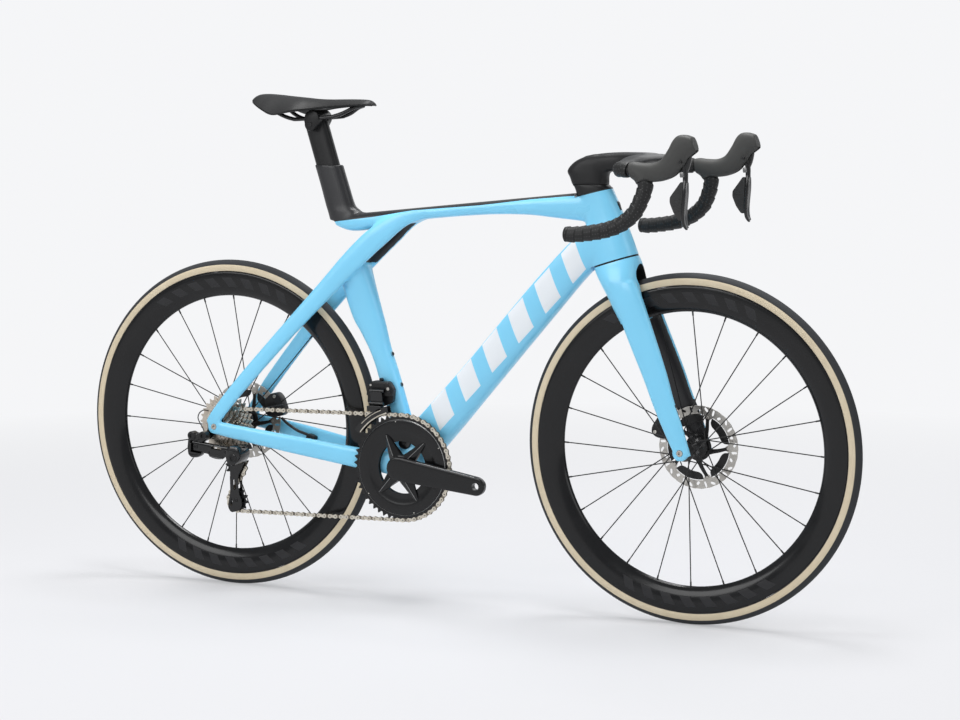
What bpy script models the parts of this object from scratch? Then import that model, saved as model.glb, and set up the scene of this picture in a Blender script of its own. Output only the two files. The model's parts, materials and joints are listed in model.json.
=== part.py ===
# Aero road bike with disc brakes, electronic shifting and deep wheels
# Metres. +X points forward, +Y to the rider's left, +Z up, the ground is Z = 0
import math

import bmesh
import bpy
from mathutils import Matrix, Vector

# Driving dimensions
TYRE_RADIUS = 0.336
TYRE_HALF_WIDTH = 0.0140
TYRE_WALL = 0.0035
RIM_OUTER_RADIUS = 0.3118
RIM_DEPTH = 0.0495
RIM_HALF_WIDTH = 0.0146
WHEEL_STEPS = 36
WHEELBASE = 1.006
CHAINSTAY_LENGTH = 0.418
BB_DROP = 0.064
SEAT_ANGLE = math.radians(72.8)
HEAD_ANGLE = math.radians(73.25)
FORK_RAKE = 0.045
FORK_LENGTH = 0.3835
HEAD_TUBE_LENGTH = 0.138
SEAT_MAST_HEIGHT = 0.5955
SEATPOST_HEIGHT = 0.6900
TOP_TUBE_SEAT_HEIGHT = 0.5205
GAP = 0.0003

# Axles and hub spacing
AXLE_RADIUS = 0.006
FREEHUB_RADIUS = 0.0088
HUB_BORE_RADIUS = (AXLE_RADIUS + GAP) / math.cos(math.pi / 16)
FRONT_INNER_HALF = 0.050
FRONT_LEG_THICKNESS = 0.0135
REAR_INNER_HALF = 0.071
REAR_DROPOUT_THICKNESS = 0.011
SPOKES_PER_SIDE = 12
SPOKE_WIDTH = 0.0024
SPOKE_THICKNESS = 0.0011
ROTOR_RADIUS = 0.080
ROTOR_HALF_THICKNESS = 0.0009
ROTOR_BORE_RADIUS = 0.0173
FRONT_ROTOR_Y = 0.0375
REAR_ROTOR_Y = 0.0515
FRONT_CALIPER_ANGLE = math.radians(152)
REAR_CALIPER_ANGLE = math.radians(25)
PAD_THICKNESS = 0.003
PAD_RUNNING_GAP = 0.0006
CALIPER_BACK = 0.0077

# Drivetrain
CHAIN_PITCH = 0.0127
CHAIN_Y = -0.0470
PLATE_HALF_HEIGHT = 0.0042
PLATE_WAIST = 0.0029
PLATE_INNER_Y = 0.0012
PLATE_OUTER_Y = 0.0024
OUTER_RING_TEETH = 52
INNER_RING_TEETH = 36
INNER_RING_OFFSET = 0.0065
RING_HALF_THICKNESS = 0.0009
COGS = (11, 12, 13, 14, 15, 16, 17, 19, 21, 24, 27, 30)
COG_SPACING = 0.0034
COG_HALF_THICKNESS = 0.0008
CHAIN_COG = 6
PULLEY_TEETH = 11
PULLEY_PIN_RADIUS = 0.0030
TOOTH_ROOT = 0.0040
TOOTH_TIP = 0.0030
CRANK_LENGTH = 0.1725
CRANK_ANGLE = math.radians(-8.2)
SPIDER_ANGLES = [CRANK_ANGLE + math.radians(a) for a in (54, 126, -126, -54)]
CRANK_INNER_Y = 0.0560
CRANK_THICKNESS = 0.0140
SPINDLE_RADIUS = 0.012
PEDAL_HOLE_RADIUS = 0.0072
RING_BORE_RADIUS = 0.0525
BOLT_CIRCLE = 0.0600
SPIDER_REACH = 0.0730
BOLT_RADIUS = 0.0040
DROPOUT_RADIUS = 0.0150
BOSS_RADIUS = 0.0055
BOSS_HEIGHT = 0.0015
BB_SHELL_RADIUS = 0.0300
BB_SHELL_HALF = 0.0428
BB_CUP_RADIUS = 0.0210
BB_FLANGE = 0.0017

# Steering and cockpit
STEERER_RADIUS = 0.0143
UPPER_BEARING_RADIUS = 0.0210
LOWER_BEARING_RADIUS = 0.0255
BEARING_HEIGHT = 0.007
HEADSET_COVER_TOP = 0.0132
STEERER_ABOVE_HEAD = 0.048
STEM_REACH = 0.1045
STEM_RISE = 0.0626
BAR_RADIUS = 0.0113
BAR_HALF_WIDTH = 0.168
WING_HALF_WIDTH = 0.137
BAR_FLARE = 0.018
BAR_REACH = 0.061
BAR_DROP = 0.1355
TAPE_THICKNESS = 0.0032
TAPE_SWELL = 0.0010
LEVER_LENGTH = 0.121
HOOD_UNDERSIDE = 0.0380
LEVER_SLOT_HALF = 0.0048

# Saddle and seatpost
SEATPOST_DEPTH = 0.0485
SEATPOST_WIDTH = 0.0250
SEATPOST_BOLT = SEATPOST_HEIGHT - 0.0135
SEATPOST_CLAMP = SEATPOST_HEIGHT - 0.0010
SEATPOST_INSERTION = 0.060
SADDLE_LENGTH = 0.258
SADDLE_WIDTH = 0.145
SADDLE_HEIGHT = 0.0405
RAIL_RADIUS = 0.0040
RAIL_HALF_SPACING = 0.0222
RAIL_TILT = math.radians(3.5)
CLAMP_RADIUS = 0.0165
CLAMP_EAR_RADIUS = 0.0130
CLAMP_HALF_WIDTH = 0.0290
POST_OFFSET = -0.0030

X = Vector((1, 0, 0))
Y = Vector((0, 1, 0))
Z = Vector((0, 0, 1))

rear_axle = Vector((-WHEELBASE / 2, 0, TYRE_RADIUS))
front_axle = Vector((WHEELBASE / 2, 0, TYRE_RADIUS))
bb = rear_axle + Vector((math.sqrt(CHAINSTAY_LENGTH ** 2 - BB_DROP ** 2), 0, -BB_DROP))
seat_dir = Vector((-math.cos(SEAT_ANGLE), 0, math.sin(SEAT_ANGLE)))
seat_normal = Vector((math.sin(SEAT_ANGLE), 0, math.cos(SEAT_ANGLE)))
steer_dir = Vector((-math.cos(HEAD_ANGLE), 0, math.sin(HEAD_ANGLE)))
steer_normal = Vector((math.sin(HEAD_ANGLE), 0, math.cos(HEAD_ANGLE)))
crown = front_axle - steer_normal * FORK_RAKE + steer_dir * FORK_LENGTH
head_top = crown + steer_dir * HEAD_TUBE_LENGTH
crank_dir = Vector((math.cos(CRANK_ANGLE), 0, math.sin(CRANK_ANGLE)))
rim_inner_radius = RIM_OUTER_RADIUS - RIM_DEPTH

for old in list(bpy.data.objects):
    bpy.data.objects.remove(old, do_unlink=True)
bike = bpy.data.collections.new("aero_road_bike")
cutters = bpy.data.collections.new("cutters")
bpy.context.scene.collection.children.link(bike)
bpy.context.scene.collection.children.link(cutters)


# Shapes

def add_object(name, data):
    """Link new data as an object of the bike."""
    obj = bpy.data.objects.new(name, data)
    bike.objects.link(obj)
    return obj


def baked(obj):
    """Replace an object's data by its evaluated mesh in world space."""
    bpy.context.view_layer.update()
    graph = bpy.context.evaluated_depsgraph_get()
    mesh = bpy.data.meshes.new_from_object(obj.evaluated_get(graph))
    mesh.transform(obj.matrix_world)
    bm = bmesh.new()
    bm.from_mesh(mesh)
    bmesh.ops.remove_doubles(bm, verts=bm.verts, dist=0.000002)
    bmesh.ops.dissolve_degenerate(bm, edges=bm.edges, dist=0.000002)
    loose = [edge for edge in bm.edges if not edge.link_faces]
    bmesh.ops.delete(bm, geom=loose, context="EDGES")
    bmesh.ops.dissolve_limit(bm, angle_limit=0.0008, verts=bm.verts, edges=bm.edges)
    bm.to_mesh(mesh)
    bm.free()
    name = obj.name
    obj.name = name + "_source"
    new = bpy.data.objects.new(name, mesh)
    bike.objects.link(new)
    new.name = name
    bpy.data.objects.remove(obj, do_unlink=True)
    new.name = name
    return new


def loft(name, rings, split=False):
    """Skin a closed solid over rings of equal point counts, in quads or split ones."""
    bm = bmesh.new()
    loops = [[bm.verts.new(p) for p in ring] for ring in rings]
    count = len(loops[0])
    for low, high in zip(loops, loops[1:]):
        for i in range(count):
            j = (i + 1) % count
            if split:
                bm.faces.new((low[i], low[j], high[j]))
                bm.faces.new((low[i], high[j], high[i]))
            else:
                bm.faces.new((low[i], low[j], high[j], high[i]))
    bm.faces.new(loops[0])
    bm.faces.new(loops[-1])
    bmesh.ops.recalc_face_normals(bm, faces=bm.faces)
    mesh = bpy.data.meshes.new(name)
    bm.to_mesh(mesh)
    bm.free()
    return add_object(name, mesh)


def oval(centre, across, side, depth, width, sides, power=2.4, tail=1.0):
    """One super-ellipse ring; tail below 1 cuts the trailing edge flat."""
    ring = []
    for i in range(sides):
        a = 2 * math.pi * (i + 0.5) / sides
        u = math.copysign(abs(math.cos(a)) ** (2 / power), math.cos(a)) * depth / 2
        v = math.copysign(abs(math.sin(a)) ** (2 / power), math.sin(a)) * width / 2
        ring.append(centre + across * max(u, -tail * depth / 2) + side * v)
    return ring


def tube(name, stations, sides=12, power=2.4, tail=1.0, side=Y):
    """Loft super-ellipses along points given as (centre, depth, width)."""
    rings = []
    for i, (centre, depth, width) in enumerate(stations):
        before = stations[max(i - 1, 0)][0]
        after = stations[min(i + 1, len(stations) - 1)][0]
        along = (after - before).normalized()
        lateral = (side - along * side.dot(along)).normalized()
        across = lateral.cross(along)
        rings.append(oval(centre, across, lateral, depth, width, sides, power, tail))
    return loft(name, rings)


def turned(name, profile, centre, axis=Y, steps=24):
    """Turn a closed profile of (radius, height) points with a Screw modifier."""
    mesh = bpy.data.meshes.new(name)
    count = len(profile)
    verts = [(r, 0, h) for r, h in profile]
    edges = [(i, (i + 1) % count) for i in range(count)]
    mesh.from_pydata(verts, edges, [])
    obj = add_object(name, mesh)
    screw = obj.modifiers.new("turn", "SCREW")
    screw.axis = "Z"
    screw.steps = steps
    screw.render_steps = steps
    screw.use_merge_vertices = True
    screw.merge_threshold = 0.00001
    obj.matrix_world = Matrix.Translation(centre) @ Z.rotation_difference(axis).to_matrix().to_4x4()
    return baked(obj)


def rod(name, start, end, radius, steps=16):
    """A plain round bar between two points."""
    bm = bmesh.new()
    bmesh.ops.create_cone(
        bm, cap_ends=True, segments=steps, radius1=radius, radius2=radius,
        depth=(end - start).length,
        matrix=Matrix.Translation((start + end) / 2)
        @ Z.rotation_difference(end - start).to_matrix().to_4x4(),
    )
    mesh = bpy.data.meshes.new(name)
    bm.to_mesh(mesh)
    bm.free()
    return add_object(name, mesh)


def block(name, centre, size, turn=0.0):
    """A box, turned about Y by an angle in radians."""
    bm = bmesh.new()
    bmesh.ops.create_cube(bm, size=1.0)
    mesh = bpy.data.meshes.new(name)
    bm.to_mesh(mesh)
    bm.free()
    mesh.transform(
        Matrix.Translation(centre)
        @ Matrix.Rotation(turn, 4, "Y")
        @ Matrix.Diagonal((*size, 1.0))
    )
    return add_object(name, mesh)


def plate(name, outlines, y_low, y_high, centre):
    """Extrude flat outlines of (x, z) points; inner outlines become holes."""
    curve = bpy.data.curves.new(name, "CURVE")
    curve.dimensions = "2D"
    curve.fill_mode = "BOTH"
    curve.extrude = (y_high - y_low) / 2
    for outline in outlines:
        spline = curve.splines.new("POLY")
        spline.points.add(len(outline) - 1)
        for point, (x, z) in zip(spline.points, outline):
            point.co = (x, z, 0, 1)
        spline.use_cyclic_u = True
    obj = add_object(name, curve)
    middle = Vector((centre[0], (y_low + y_high) / 2, centre[2]))
    obj.matrix_world = Matrix.Translation(middle) @ Matrix.Rotation(math.pi / 2, 4, "X")
    return baked(obj)


def smooth_route(points, step):
    """Read a Catmull-Rom curve through chosen points at an even spacing."""
    ends = [points[0] * 2 - points[1]] + points + [points[-1] * 2 - points[-2]]
    fine = []
    for a, b, c, d in zip(ends, ends[1:], ends[2:], ends[3:]):
        for k in range(20):
            t = k / 20
            fine.append(0.5 * (
                2 * b + (c - a) * t + (2 * a - 5 * b + 4 * c - d) * t * t
                + (3 * b - a - 3 * c + d) * t ** 3
            ))
    fine.append(points[-1])
    total = sum((q - p).length for p, q in zip(fine, fine[1:]))
    count = max(2, round(total / step))
    route = [fine[0]]
    walked = 0.0
    for p, q in zip(fine, fine[1:]):
        walked += (q - p).length
        if walked >= total * len(route) / count - 1e-9 and len(route) <= count:
            route.append(q)
    if (route[-1] - points[-1]).length > 1e-6:
        route[-1] = points[-1]
    return route


def pipe(name, points, radius, resolution=2):
    """A round tube along points, as a curve with a bevel depth and caps."""
    curve = bpy.data.curves.new(name, "CURVE")
    curve.dimensions = "3D"
    curve.bevel_depth = radius if not isinstance(radius, list) else 1.0
    curve.bevel_resolution = resolution
    curve.use_fill_caps = True
    spline = curve.splines.new("POLY")
    spline.points.add(len(points) - 1)
    for i, point in enumerate(points):
        spline.points[i].co = (*point, 1)
        if isinstance(radius, list):
            spline.points[i].radius = radius[i]
    return baked(add_object(name, curve))


def boolean(target, tool, operation):
    modifier = target.modifiers.new(operation.lower(), "BOOLEAN")
    modifier.operation = operation
    modifier.solver = "EXACT"
    modifier.object = tool
    return baked(target)


def united(target, *tools):
    """Join solids into one closed body."""
    for tool in tools:
        target = boolean(target, tool, "UNION")
        bpy.data.objects.remove(tool, do_unlink=True)
    return target


def cut(target, *tools):
    """Take cutters out of a solid and keep them as wire guides."""
    for tool in tools:
        target = boolean(target, tool, "DIFFERENCE")
        if tool.name not in cutters.objects:
            bike.objects.unlink(tool)
            cutters.objects.link(tool)
            tool.hide_render = True
            tool.display_type = "WIRE"
    return target


def snug(radius, sides):
    """Corner radius of a bore of some sides whose flats clear a round shaft."""
    return (radius + GAP) / math.cos(math.pi / sides)


def circle(radius, count, centre=(0.0, 0.0), phase=0.0):
    """Points of a circle as (x, z) pairs."""
    return [
        (
            centre[0] + radius * math.cos(2 * math.pi * i / count + phase),
            centre[1] + radius * math.sin(2 * math.pi * i / count + phase),
        )
        for i in range(count)
    ]


def finish(obj, colour, roughness, metallic=0.0, pivot=None):
    """Give a piece its own material, smooth shading and origin."""
    material = bpy.data.materials.new(obj.name + "_finish")
    material.use_nodes = True
    shader = material.node_tree.nodes["Principled BSDF"]
    shader.inputs["Base Color"].default_value = (*colour, 1.0)
    shader.inputs["Roughness"].default_value = roughness
    shader.inputs["Metallic"].default_value = metallic
    obj.data.materials.clear()
    obj.data.materials.append(material)
    obj.data.shade_smooth()
    obj.data.set_sharp_from_angle(angle=math.radians(35))
    if pivot is not None:
        obj.data.transform(Matrix.Translation(-pivot))
        obj.matrix_world = Matrix.Translation(pivot)
    return obj


SKY_BLUE = (0.22, 0.62, 0.93)
CARBON = (0.020, 0.020, 0.022)
SATIN_BLACK = (0.035, 0.035, 0.037)
RUBBER = (0.045, 0.045, 0.045)
TREAD = (0.050, 0.052, 0.055)
STEEL = (0.62, 0.60, 0.57)
ALLOY = (0.30, 0.30, 0.31)


# Wheels

def make_tyre(name, axle):
    crown_side = TYRE_HALF_WIDTH * 0.80
    bead = RIM_OUTER_RADIUS + GAP + 0.0001
    widest = TYRE_RADIUS - TYRE_HALF_WIDTH * 1.12
    shoulder = TYRE_RADIUS - TYRE_HALF_WIDTH * 0.48
    bead_half = RIM_HALF_WIDTH - 0.0022
    outer = [
        (bead, bead_half), (widest, TYRE_HALF_WIDTH), (shoulder, crown_side),
        (TYRE_RADIUS, 0), (shoulder, -crown_side), (widest, -TYRE_HALF_WIDTH), (bead, -bead_half),
    ]
    inner_half = TYRE_HALF_WIDTH - TYRE_WALL
    inner = [
        (bead, -bead_half + TYRE_WALL), (shoulder - TYRE_WALL, -inner_half * 0.6),
        (shoulder - TYRE_WALL, inner_half * 0.6), (bead, bead_half - TYRE_WALL),
    ]
    return finish(turned(name, outer + inner, axle, Y, WHEEL_STEPS), TREAD, 0.75, 0.0, axle)


def make_rim(name, axle):
    half = [
        (RIM_OUTER_RADIUS, -RIM_HALF_WIDTH + 0.0018),
        (RIM_OUTER_RADIUS - RIM_DEPTH * 0.34, -RIM_HALF_WIDTH),
        (RIM_OUTER_RADIUS - RIM_DEPTH * 0.76, -RIM_HALF_WIDTH * 0.76),
        (rim_inner_radius, -RIM_HALF_WIDTH * 0.20),
    ]
    profile = half + [(r, -h) for r, h in reversed(half)]
    return finish(turned(name, profile, axle, Y, WHEEL_STEPS), CARBON, 0.28, 0.0, axle)


def make_hub(name, axle, outline, flanges):
    """Turned hub shell with tangential spokes fused into both flanges."""
    profile = outline + [(HUB_BORE_RADIUS, outline[-1][1]), (HUB_BORE_RADIUS, outline[0][1])]
    hub = turned(name, profile, axle, Y, 16)
    spoke_mesh = bmesh.new()
    reach = rim_inner_radius * math.cos(math.pi / WHEEL_STEPS) - GAP
    for side, (flange_y, flange_radius) in enumerate(flanges):
        for i in range(SPOKES_PER_SIDE):
            lead = 1 if i % 2 else -1
            step = 2 * math.pi / SPOKES_PER_SIDE
            at_hub = step * (i + side / 2)
            at_rim = at_hub + lead * 2 * step
            low = Vector((math.cos(at_hub), 0, math.sin(at_hub))) * (flange_radius - 0.003)
            high = Vector((math.cos(at_rim), 0, math.sin(at_rim))) * reach
            low.y = flange_y + lead * SPOKE_THICKNESS * 1.05
            high.y = math.copysign(SPOKE_THICKNESS, flange_y)
            along = (high - low).normalized()
            flat = along.cross(Y).normalized() * SPOKE_WIDTH / 2
            edge = flat.cross(along).normalized() * SPOKE_THICKNESS / 2
            corners = []
            for end in (low, high):
                for a, b in ((1, 1), (-1, 1), (-1, -1), (1, -1)):
                    corners.append(spoke_mesh.verts.new(axle + end + flat * a + edge * b))
            for k in range(4):
                j = (k + 1) % 4
                spoke_mesh.faces.new((corners[k], corners[j], corners[4 + j], corners[4 + k]))
            spoke_mesh.faces.new(corners[:4])
            spoke_mesh.faces.new(corners[4:])
    bmesh.ops.recalc_face_normals(spoke_mesh, faces=spoke_mesh.faces)
    mesh = bpy.data.meshes.new(name + "_spokes")
    spoke_mesh.to_mesh(mesh)
    spoke_mesh.free()
    hub = united(hub, add_object(name + "_spokes", mesh))
    return finish(hub, SATIN_BLACK, 0.45, 0.2, axle)


def make_rotor(name, axle, y):
    """Ventilated disc: braking track with slots, open arms and a splined bore."""
    arms = 6
    outer = circle(ROTOR_RADIUS, 32)
    holes = [circle(ROTOR_BORE_RADIUS, 16)]
    for i in range(arms):
        middle = 2 * math.pi * i / arms
        holes.append([
            (r * math.cos(middle + a), r * math.sin(middle + a))
            for r, a in ((0.0290, -0.24), (0.0590, -0.38), (0.0610, 0.0), (0.0590, 0.38), (0.0290, 0.24))
        ])
    for i in range(9):
        middle = 2 * math.pi * (i + 0.5) / 9
        holes.append([
            (r * math.cos(middle + a), r * math.sin(middle + a))
            for r, a in ((0.0675, -0.09), (0.0750, -0.02), (0.0755, 0.09), (0.0680, 0.02))
        ])
    disc = plate(name, [outer] + holes, y - ROTOR_HALF_THICKNESS, y + ROTOR_HALF_THICKNESS, axle)
    return finish(disc, STEEL, 0.35, 0.9, axle)


def make_wheels():
    make_tyre("front_tyre", front_axle)
    make_rim("front_rim", front_axle)
    make_tyre("rear_tyre", rear_axle)
    make_rim("rear_rim", rear_axle)
    spline = ROTOR_BORE_RADIUS - GAP
    end = FRONT_INNER_HALF - GAP
    make_hub(
        "front_hub", front_axle,
        [
            (0.0095, end), (spline, FRONT_ROTOR_Y + 0.004), (spline, FRONT_ROTOR_Y - 0.005),
            (0.0215, 0.0285), (0.0215, 0.0250), (0.0120, 0.0150), (0.0120, -0.0240),
            (0.0190, -0.0335), (0.0190, -0.0365), (0.0100, -end),
        ],
        [(0.0268, 0.0215), (-0.0350, 0.0190)],
    )
    end = REAR_INNER_HALF - GAP
    make_hub(
        "rear_hub", rear_axle,
        [
            (0.0095, end), (spline, REAR_ROTOR_Y + 0.004), (spline, REAR_ROTOR_Y - 0.005),
            (0.0215, 0.0390), (0.0215, 0.0355), (0.0125, 0.0250), (0.0150, -0.0130),
            (0.0240, -0.0180), (0.0240, -0.0215), (FREEHUB_RADIUS, -0.0235), (FREEHUB_RADIUS, -end),
        ],
        [(0.0372, 0.0215), (-0.0202, 0.0240)],
    )
    make_rotor("front_rotor", front_axle, FRONT_ROTOR_Y)
    make_rotor("rear_rotor", rear_axle, REAR_ROTOR_Y)


# Brakes

def make_caliper(name, axle, angle, rotor_y, outboard, scale):
    """Two-piston caliper straddling a rotor, with a pair of sliding pads."""
    radial = Vector((math.cos(angle), 0, math.sin(angle)))
    around = Vector((-math.sin(angle), 0, math.cos(angle)))

    def at(r, t):
        p = radial * (0.061 + (r - 0.061) * scale) + around * t * scale
        return (p.x, p.z)

    outline = [
        at(0.061, -0.021), at(0.090, -0.029), at(0.101, -0.022), at(0.104, 0.012),
        at(0.098, 0.026), at(0.084, 0.029), at(0.061, 0.021),
    ]
    pocket_half = PAD_THICKNESS + PAD_RUNNING_GAP + ROTOR_HALF_THICKNESS + GAP
    body = plate(name, [outline], rotor_y - pocket_half - CALIPER_BACK, rotor_y + outboard, axle)
    pad_half = 0.0095
    pocket_centre = axle + radial * 0.0725 + Y * rotor_y
    pocket = block(
        name + "_pocket", pocket_centre - radial * 0.006,
        (0.030, 2 * pocket_half, 2 * pad_half + 2 * GAP), -angle,
    )
    disc = rod(
        name + "_disc_space", axle + Y * (rotor_y - ROTOR_HALF_THICKNESS - PAD_RUNNING_GAP),
        axle + Y * (rotor_y + ROTOR_HALF_THICKNESS + PAD_RUNNING_GAP), ROTOR_RADIUS + 0.002, 40,
    )
    finish(cut(body, pocket, disc), SATIN_BLACK, 0.4, 0.3)
    for label, sign in (("inner", -1), ("outer", 1)):
        offset = ROTOR_HALF_THICKNESS + PAD_RUNNING_GAP + PAD_THICKNESS / 2
        pad = block(
            name.replace("caliper", label + "_pad"),
            pocket_centre - radial * 0.0015 + Y * sign * offset,
            (0.0150, PAD_THICKNESS, 2 * pad_half), -angle,
        )
        finish(pad, ALLOY, 0.6, 0.4, pocket_centre)


def make_brakes():
    make_caliper("front_caliper", front_axle, FRONT_CALIPER_ANGLE, FRONT_ROTOR_Y, 0.0070, 1.0)
    make_caliper("rear_caliper", rear_axle, REAR_CALIPER_ANGLE, REAR_ROTOR_Y, 0.0100, 0.9)


# Drivetrain

def pitch_radius(teeth):
    return CHAIN_PITCH / (2 * math.sin(math.pi / teeth))


def toothed(teeth, first_gap):
    """Outline of a sprocket whose first tooth gap points along an angle."""
    outline = []
    middle = pitch_radius(teeth)
    for i in range(teeth):
        gap = first_gap + 2 * math.pi * i / teeth
        tooth = gap + math.pi / teeth
        outline.append(((middle - TOOTH_ROOT) * math.cos(gap), (middle - TOOTH_ROOT) * math.sin(gap)))
        outline.append(((middle + TOOTH_TIP) * math.cos(tooth), (middle + TOOTH_TIP) * math.sin(tooth)))
    return outline


guide_axle = rear_axle + Vector((0.031, 0, -0.084))
tension_axle = rear_axle + Vector((0.0345, 0, -0.1530))


def chain_course():
    """Tangent lines and arcs round ring, cog, guide pulley and tension pulley.

    Each wheel has a signed radius: positive where the chain passes over it
    anticlockwise as seen from the drive side's far side, so a tangent joins
    two wheels on the sides that their signs give.
    """
    stops = [
        (bb, pitch_radius(OUTER_RING_TEETH), 1),
        (rear_axle, pitch_radius(COGS[CHAIN_COG]), 1),
        (guide_axle, pitch_radius(PULLEY_TEETH), -1),
        (tension_axle, pitch_radius(PULLEY_TEETH), 1),
    ]
    leave = []
    arrive = []
    count = len(stops)
    for i in range(count):
        (c0, r0, s0), (c1, r1, s1) = stops[i], stops[(i + 1) % count]
        dx, dz = c1.x - c0.x, c1.z - c0.z
        distance = math.hypot(dx, dz)
        lean = math.acos((s0 * r0 - s1 * r1) / distance)
        normal = math.atan2(dz, dx) - lean
        leave.append((c0.x + s0 * r0 * math.cos(normal), c0.z + s0 * r0 * math.sin(normal)))
        arrive.append((c1.x + s1 * r1 * math.cos(normal), c1.z + s1 * r1 * math.sin(normal)))
    pieces = []
    for i, (centre, radius, sign) in enumerate(stops):
        start = arrive[i - 1]
        end = leave[i]
        a0 = math.atan2(start[1] - centre.z, start[0] - centre.x)
        a1 = math.atan2(end[1] - centre.z, end[0] - centre.x)
        turn = (a1 - a0) * sign % (2 * math.pi)
        pieces.append(("arc", centre, radius, a0, turn * sign))
        after = arrive[i]
        pieces.append(("line", end, after))
    return pieces


def course_length(piece):
    if piece[0] == "arc":
        return piece[2] * abs(piece[4])
    return math.dist(piece[1], piece[2])


def course_point(pieces, s):
    """Position and unit direction at a distance along the chain's course."""
    for piece in pieces:
        length = course_length(piece)
        if s <= length:
            break
        s -= length
    if piece[0] == "arc":
        centre, radius, a0, turn = piece[1:]
        a = a0 + turn * s / length
        sign = math.copysign(1, turn)
        return (
            (centre.x + radius * math.cos(a), centre.z + radius * math.sin(a)),
            (-sign * math.sin(a), sign * math.cos(a)),
        )
    (x0, z0), (x1, z1) = piece[1:]
    t = s / length
    return (x0 + (x1 - x0) * t, z0 + (z1 - z0) * t), ((x1 - x0) / length, (z1 - z0) / length)


def make_chain():
    """Lobed links as a closed band, split in two side bands round the wheels."""
    pieces = chain_course()
    total = sum(course_length(p) for p in pieces)
    links = 2 * round(total / CHAIN_PITCH / 2)
    step = total / links / 2
    count = 2 * links
    levels = (-PLATE_OUTER_Y, -PLATE_INNER_Y, PLATE_INNER_Y, PLATE_OUTER_Y)
    wheels = [(piece[1], piece[2]) for piece in pieces if piece[0] == "arc"]
    pins = [course_point(pieces, i * step)[0] for i in range(count)]
    beside = [
        any(math.dist(pin, (c.x, c.z)) < r + TOOTH_TIP + PLATE_HALF_HEIGHT + GAP for c, r in wheels)
        for pin in pins
    ]
    split = [beside[i] or beside[(i + 1) % count] for i in range(count)]
    bm = bmesh.new()
    columns = []
    for i in range(count):
        (x, z), (dx, dz) = course_point(pieces, i * step)
        half = PLATE_WAIST if i % 2 else PLATE_HALF_HEIGHT
        used = (0, 1, 2, 3) if split[i] or split[i - 1] else (0, 3)
        columns.append([
            {k: bm.verts.new((x - dz * half * sign, CHAIN_Y + levels[k], z + dx * half * sign)) for k in used}
            for sign in (1, -1)
        ])
    for i in range(count):
        here, after = columns[i], columns[(i + 1) % count]
        for a, b in ((0, 1), (2, 3)) if split[i] else ((0, 3),):
            for side in (0, 1):
                near, far = here[side], after[side]
                inner = [k for k in (1, 2) if a < k < b]
                far_edge = [far[k] for k in inner if k in far]
                near_edge = [near[k] for k in reversed(inner) if k in near]
                bm.faces.new([near[a], far[a], *far_edge, far[b], near[b], *near_edge])
        for level in (0, 1, 2, 3) if split[i] else (0, 3):
            bm.faces.new((here[0][level], after[0][level], after[1][level], here[1][level]))
        if split[i] != split[i - 1]:
            bm.faces.new((here[0][1], here[0][2], here[1][2], here[1][1]))
    bmesh.ops.recalc_face_normals(bm, faces=bm.faces)
    mesh = bpy.data.meshes.new("chain")
    bm.to_mesh(mesh)
    bm.free()
    finish(add_object("chain", mesh), STEEL, 0.3, 0.9)
    print("chain links", links, "pitch", round(2 * step * 1000, 3), "mm")


def gap_angle(index):
    """Angle of the chain's first pin on a wheel, from that wheel's centre."""
    pieces = chain_course()
    total = sum(course_length(p) for p in pieces)
    pitch = total / (2 * round(total / CHAIN_PITCH / 2))
    start = sum(course_length(p) for p in pieces[:2 * index])
    first = math.ceil(start / pitch - 1e-9) * pitch - start
    _, _, radius, a0, turn = pieces[2 * index]
    return a0 + math.copysign(first / radius, turn)


def make_cassette():
    """Twelve toothed cogs on a freehub body, smallest outboard."""
    smallest_y = CHAIN_Y - CHAIN_COG * COG_SPACING
    largest_y = smallest_y + (len(COGS) - 1) * COG_SPACING
    bore = snug(FREEHUB_RADIUS, 12)
    core = 0.0180
    body = rod(
        "cassette", rear_axle + Y * (smallest_y - 0.0020), rear_axle + Y * (largest_y + 0.0035), core, 12,
    )
    for i, teeth in enumerate(COGS):
        y = smallest_y + i * COG_SPACING
        phase = gap_angle(1) if i == CHAIN_COG else 0.1 * i
        cog = plate(
            "cog", [toothed(teeth, phase)], y - COG_HALF_THICKNESS, y + COG_HALF_THICKNESS, rear_axle,
        )
        body = united(body, cog)
    body = cut(body, rod("freehub_bore", rear_axle - Y * 0.09, rear_axle, bore, 12))
    finish(body, STEEL, 0.35, 0.9, rear_axle)


def ring_bolts(radius):
    """Outlines of the four chainring bolts."""
    outlines = []
    for a in SPIDER_ANGLES:
        centre = (BOLT_CIRCLE * math.cos(a), BOLT_CIRCLE * math.sin(a))
        outlines.append(circle(radius, 6, centre))
    return outlines


def make_rings():
    """Outer ring with a raised dish and the smaller ring inboard of it."""
    y = CHAIN_Y
    bore = circle(RING_BORE_RADIUS, 20)
    outer = plate(
        "outer_chainring", [toothed(OUTER_RING_TEETH, gap_angle(0)), bore, *ring_bolts(snug(BOLT_RADIUS, 6))],
        y - RING_HALF_THICKNESS, y + RING_HALF_THICKNESS, bb,
    )
    dish = turned(
        "dish",
        [(0.0965, y), (0.0935, y - 0.0026), (0.0760, y - 0.0026), (0.0760, y)],
        bb, Y, 24,
    )
    finish(united(outer, dish), CARBON, 0.35, 0.3, bb)
    y = CHAIN_Y + INNER_RING_OFFSET
    inner = plate(
        "inner_chainring", [toothed(INNER_RING_TEETH, 0.0), bore, *ring_bolts(snug(BOLT_RADIUS, 6))],
        y - RING_HALF_THICKNESS, y + RING_HALF_THICKNESS, bb,
    )
    finish(inner, SATIN_BLACK, 0.4, 0.5, bb)


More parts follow.
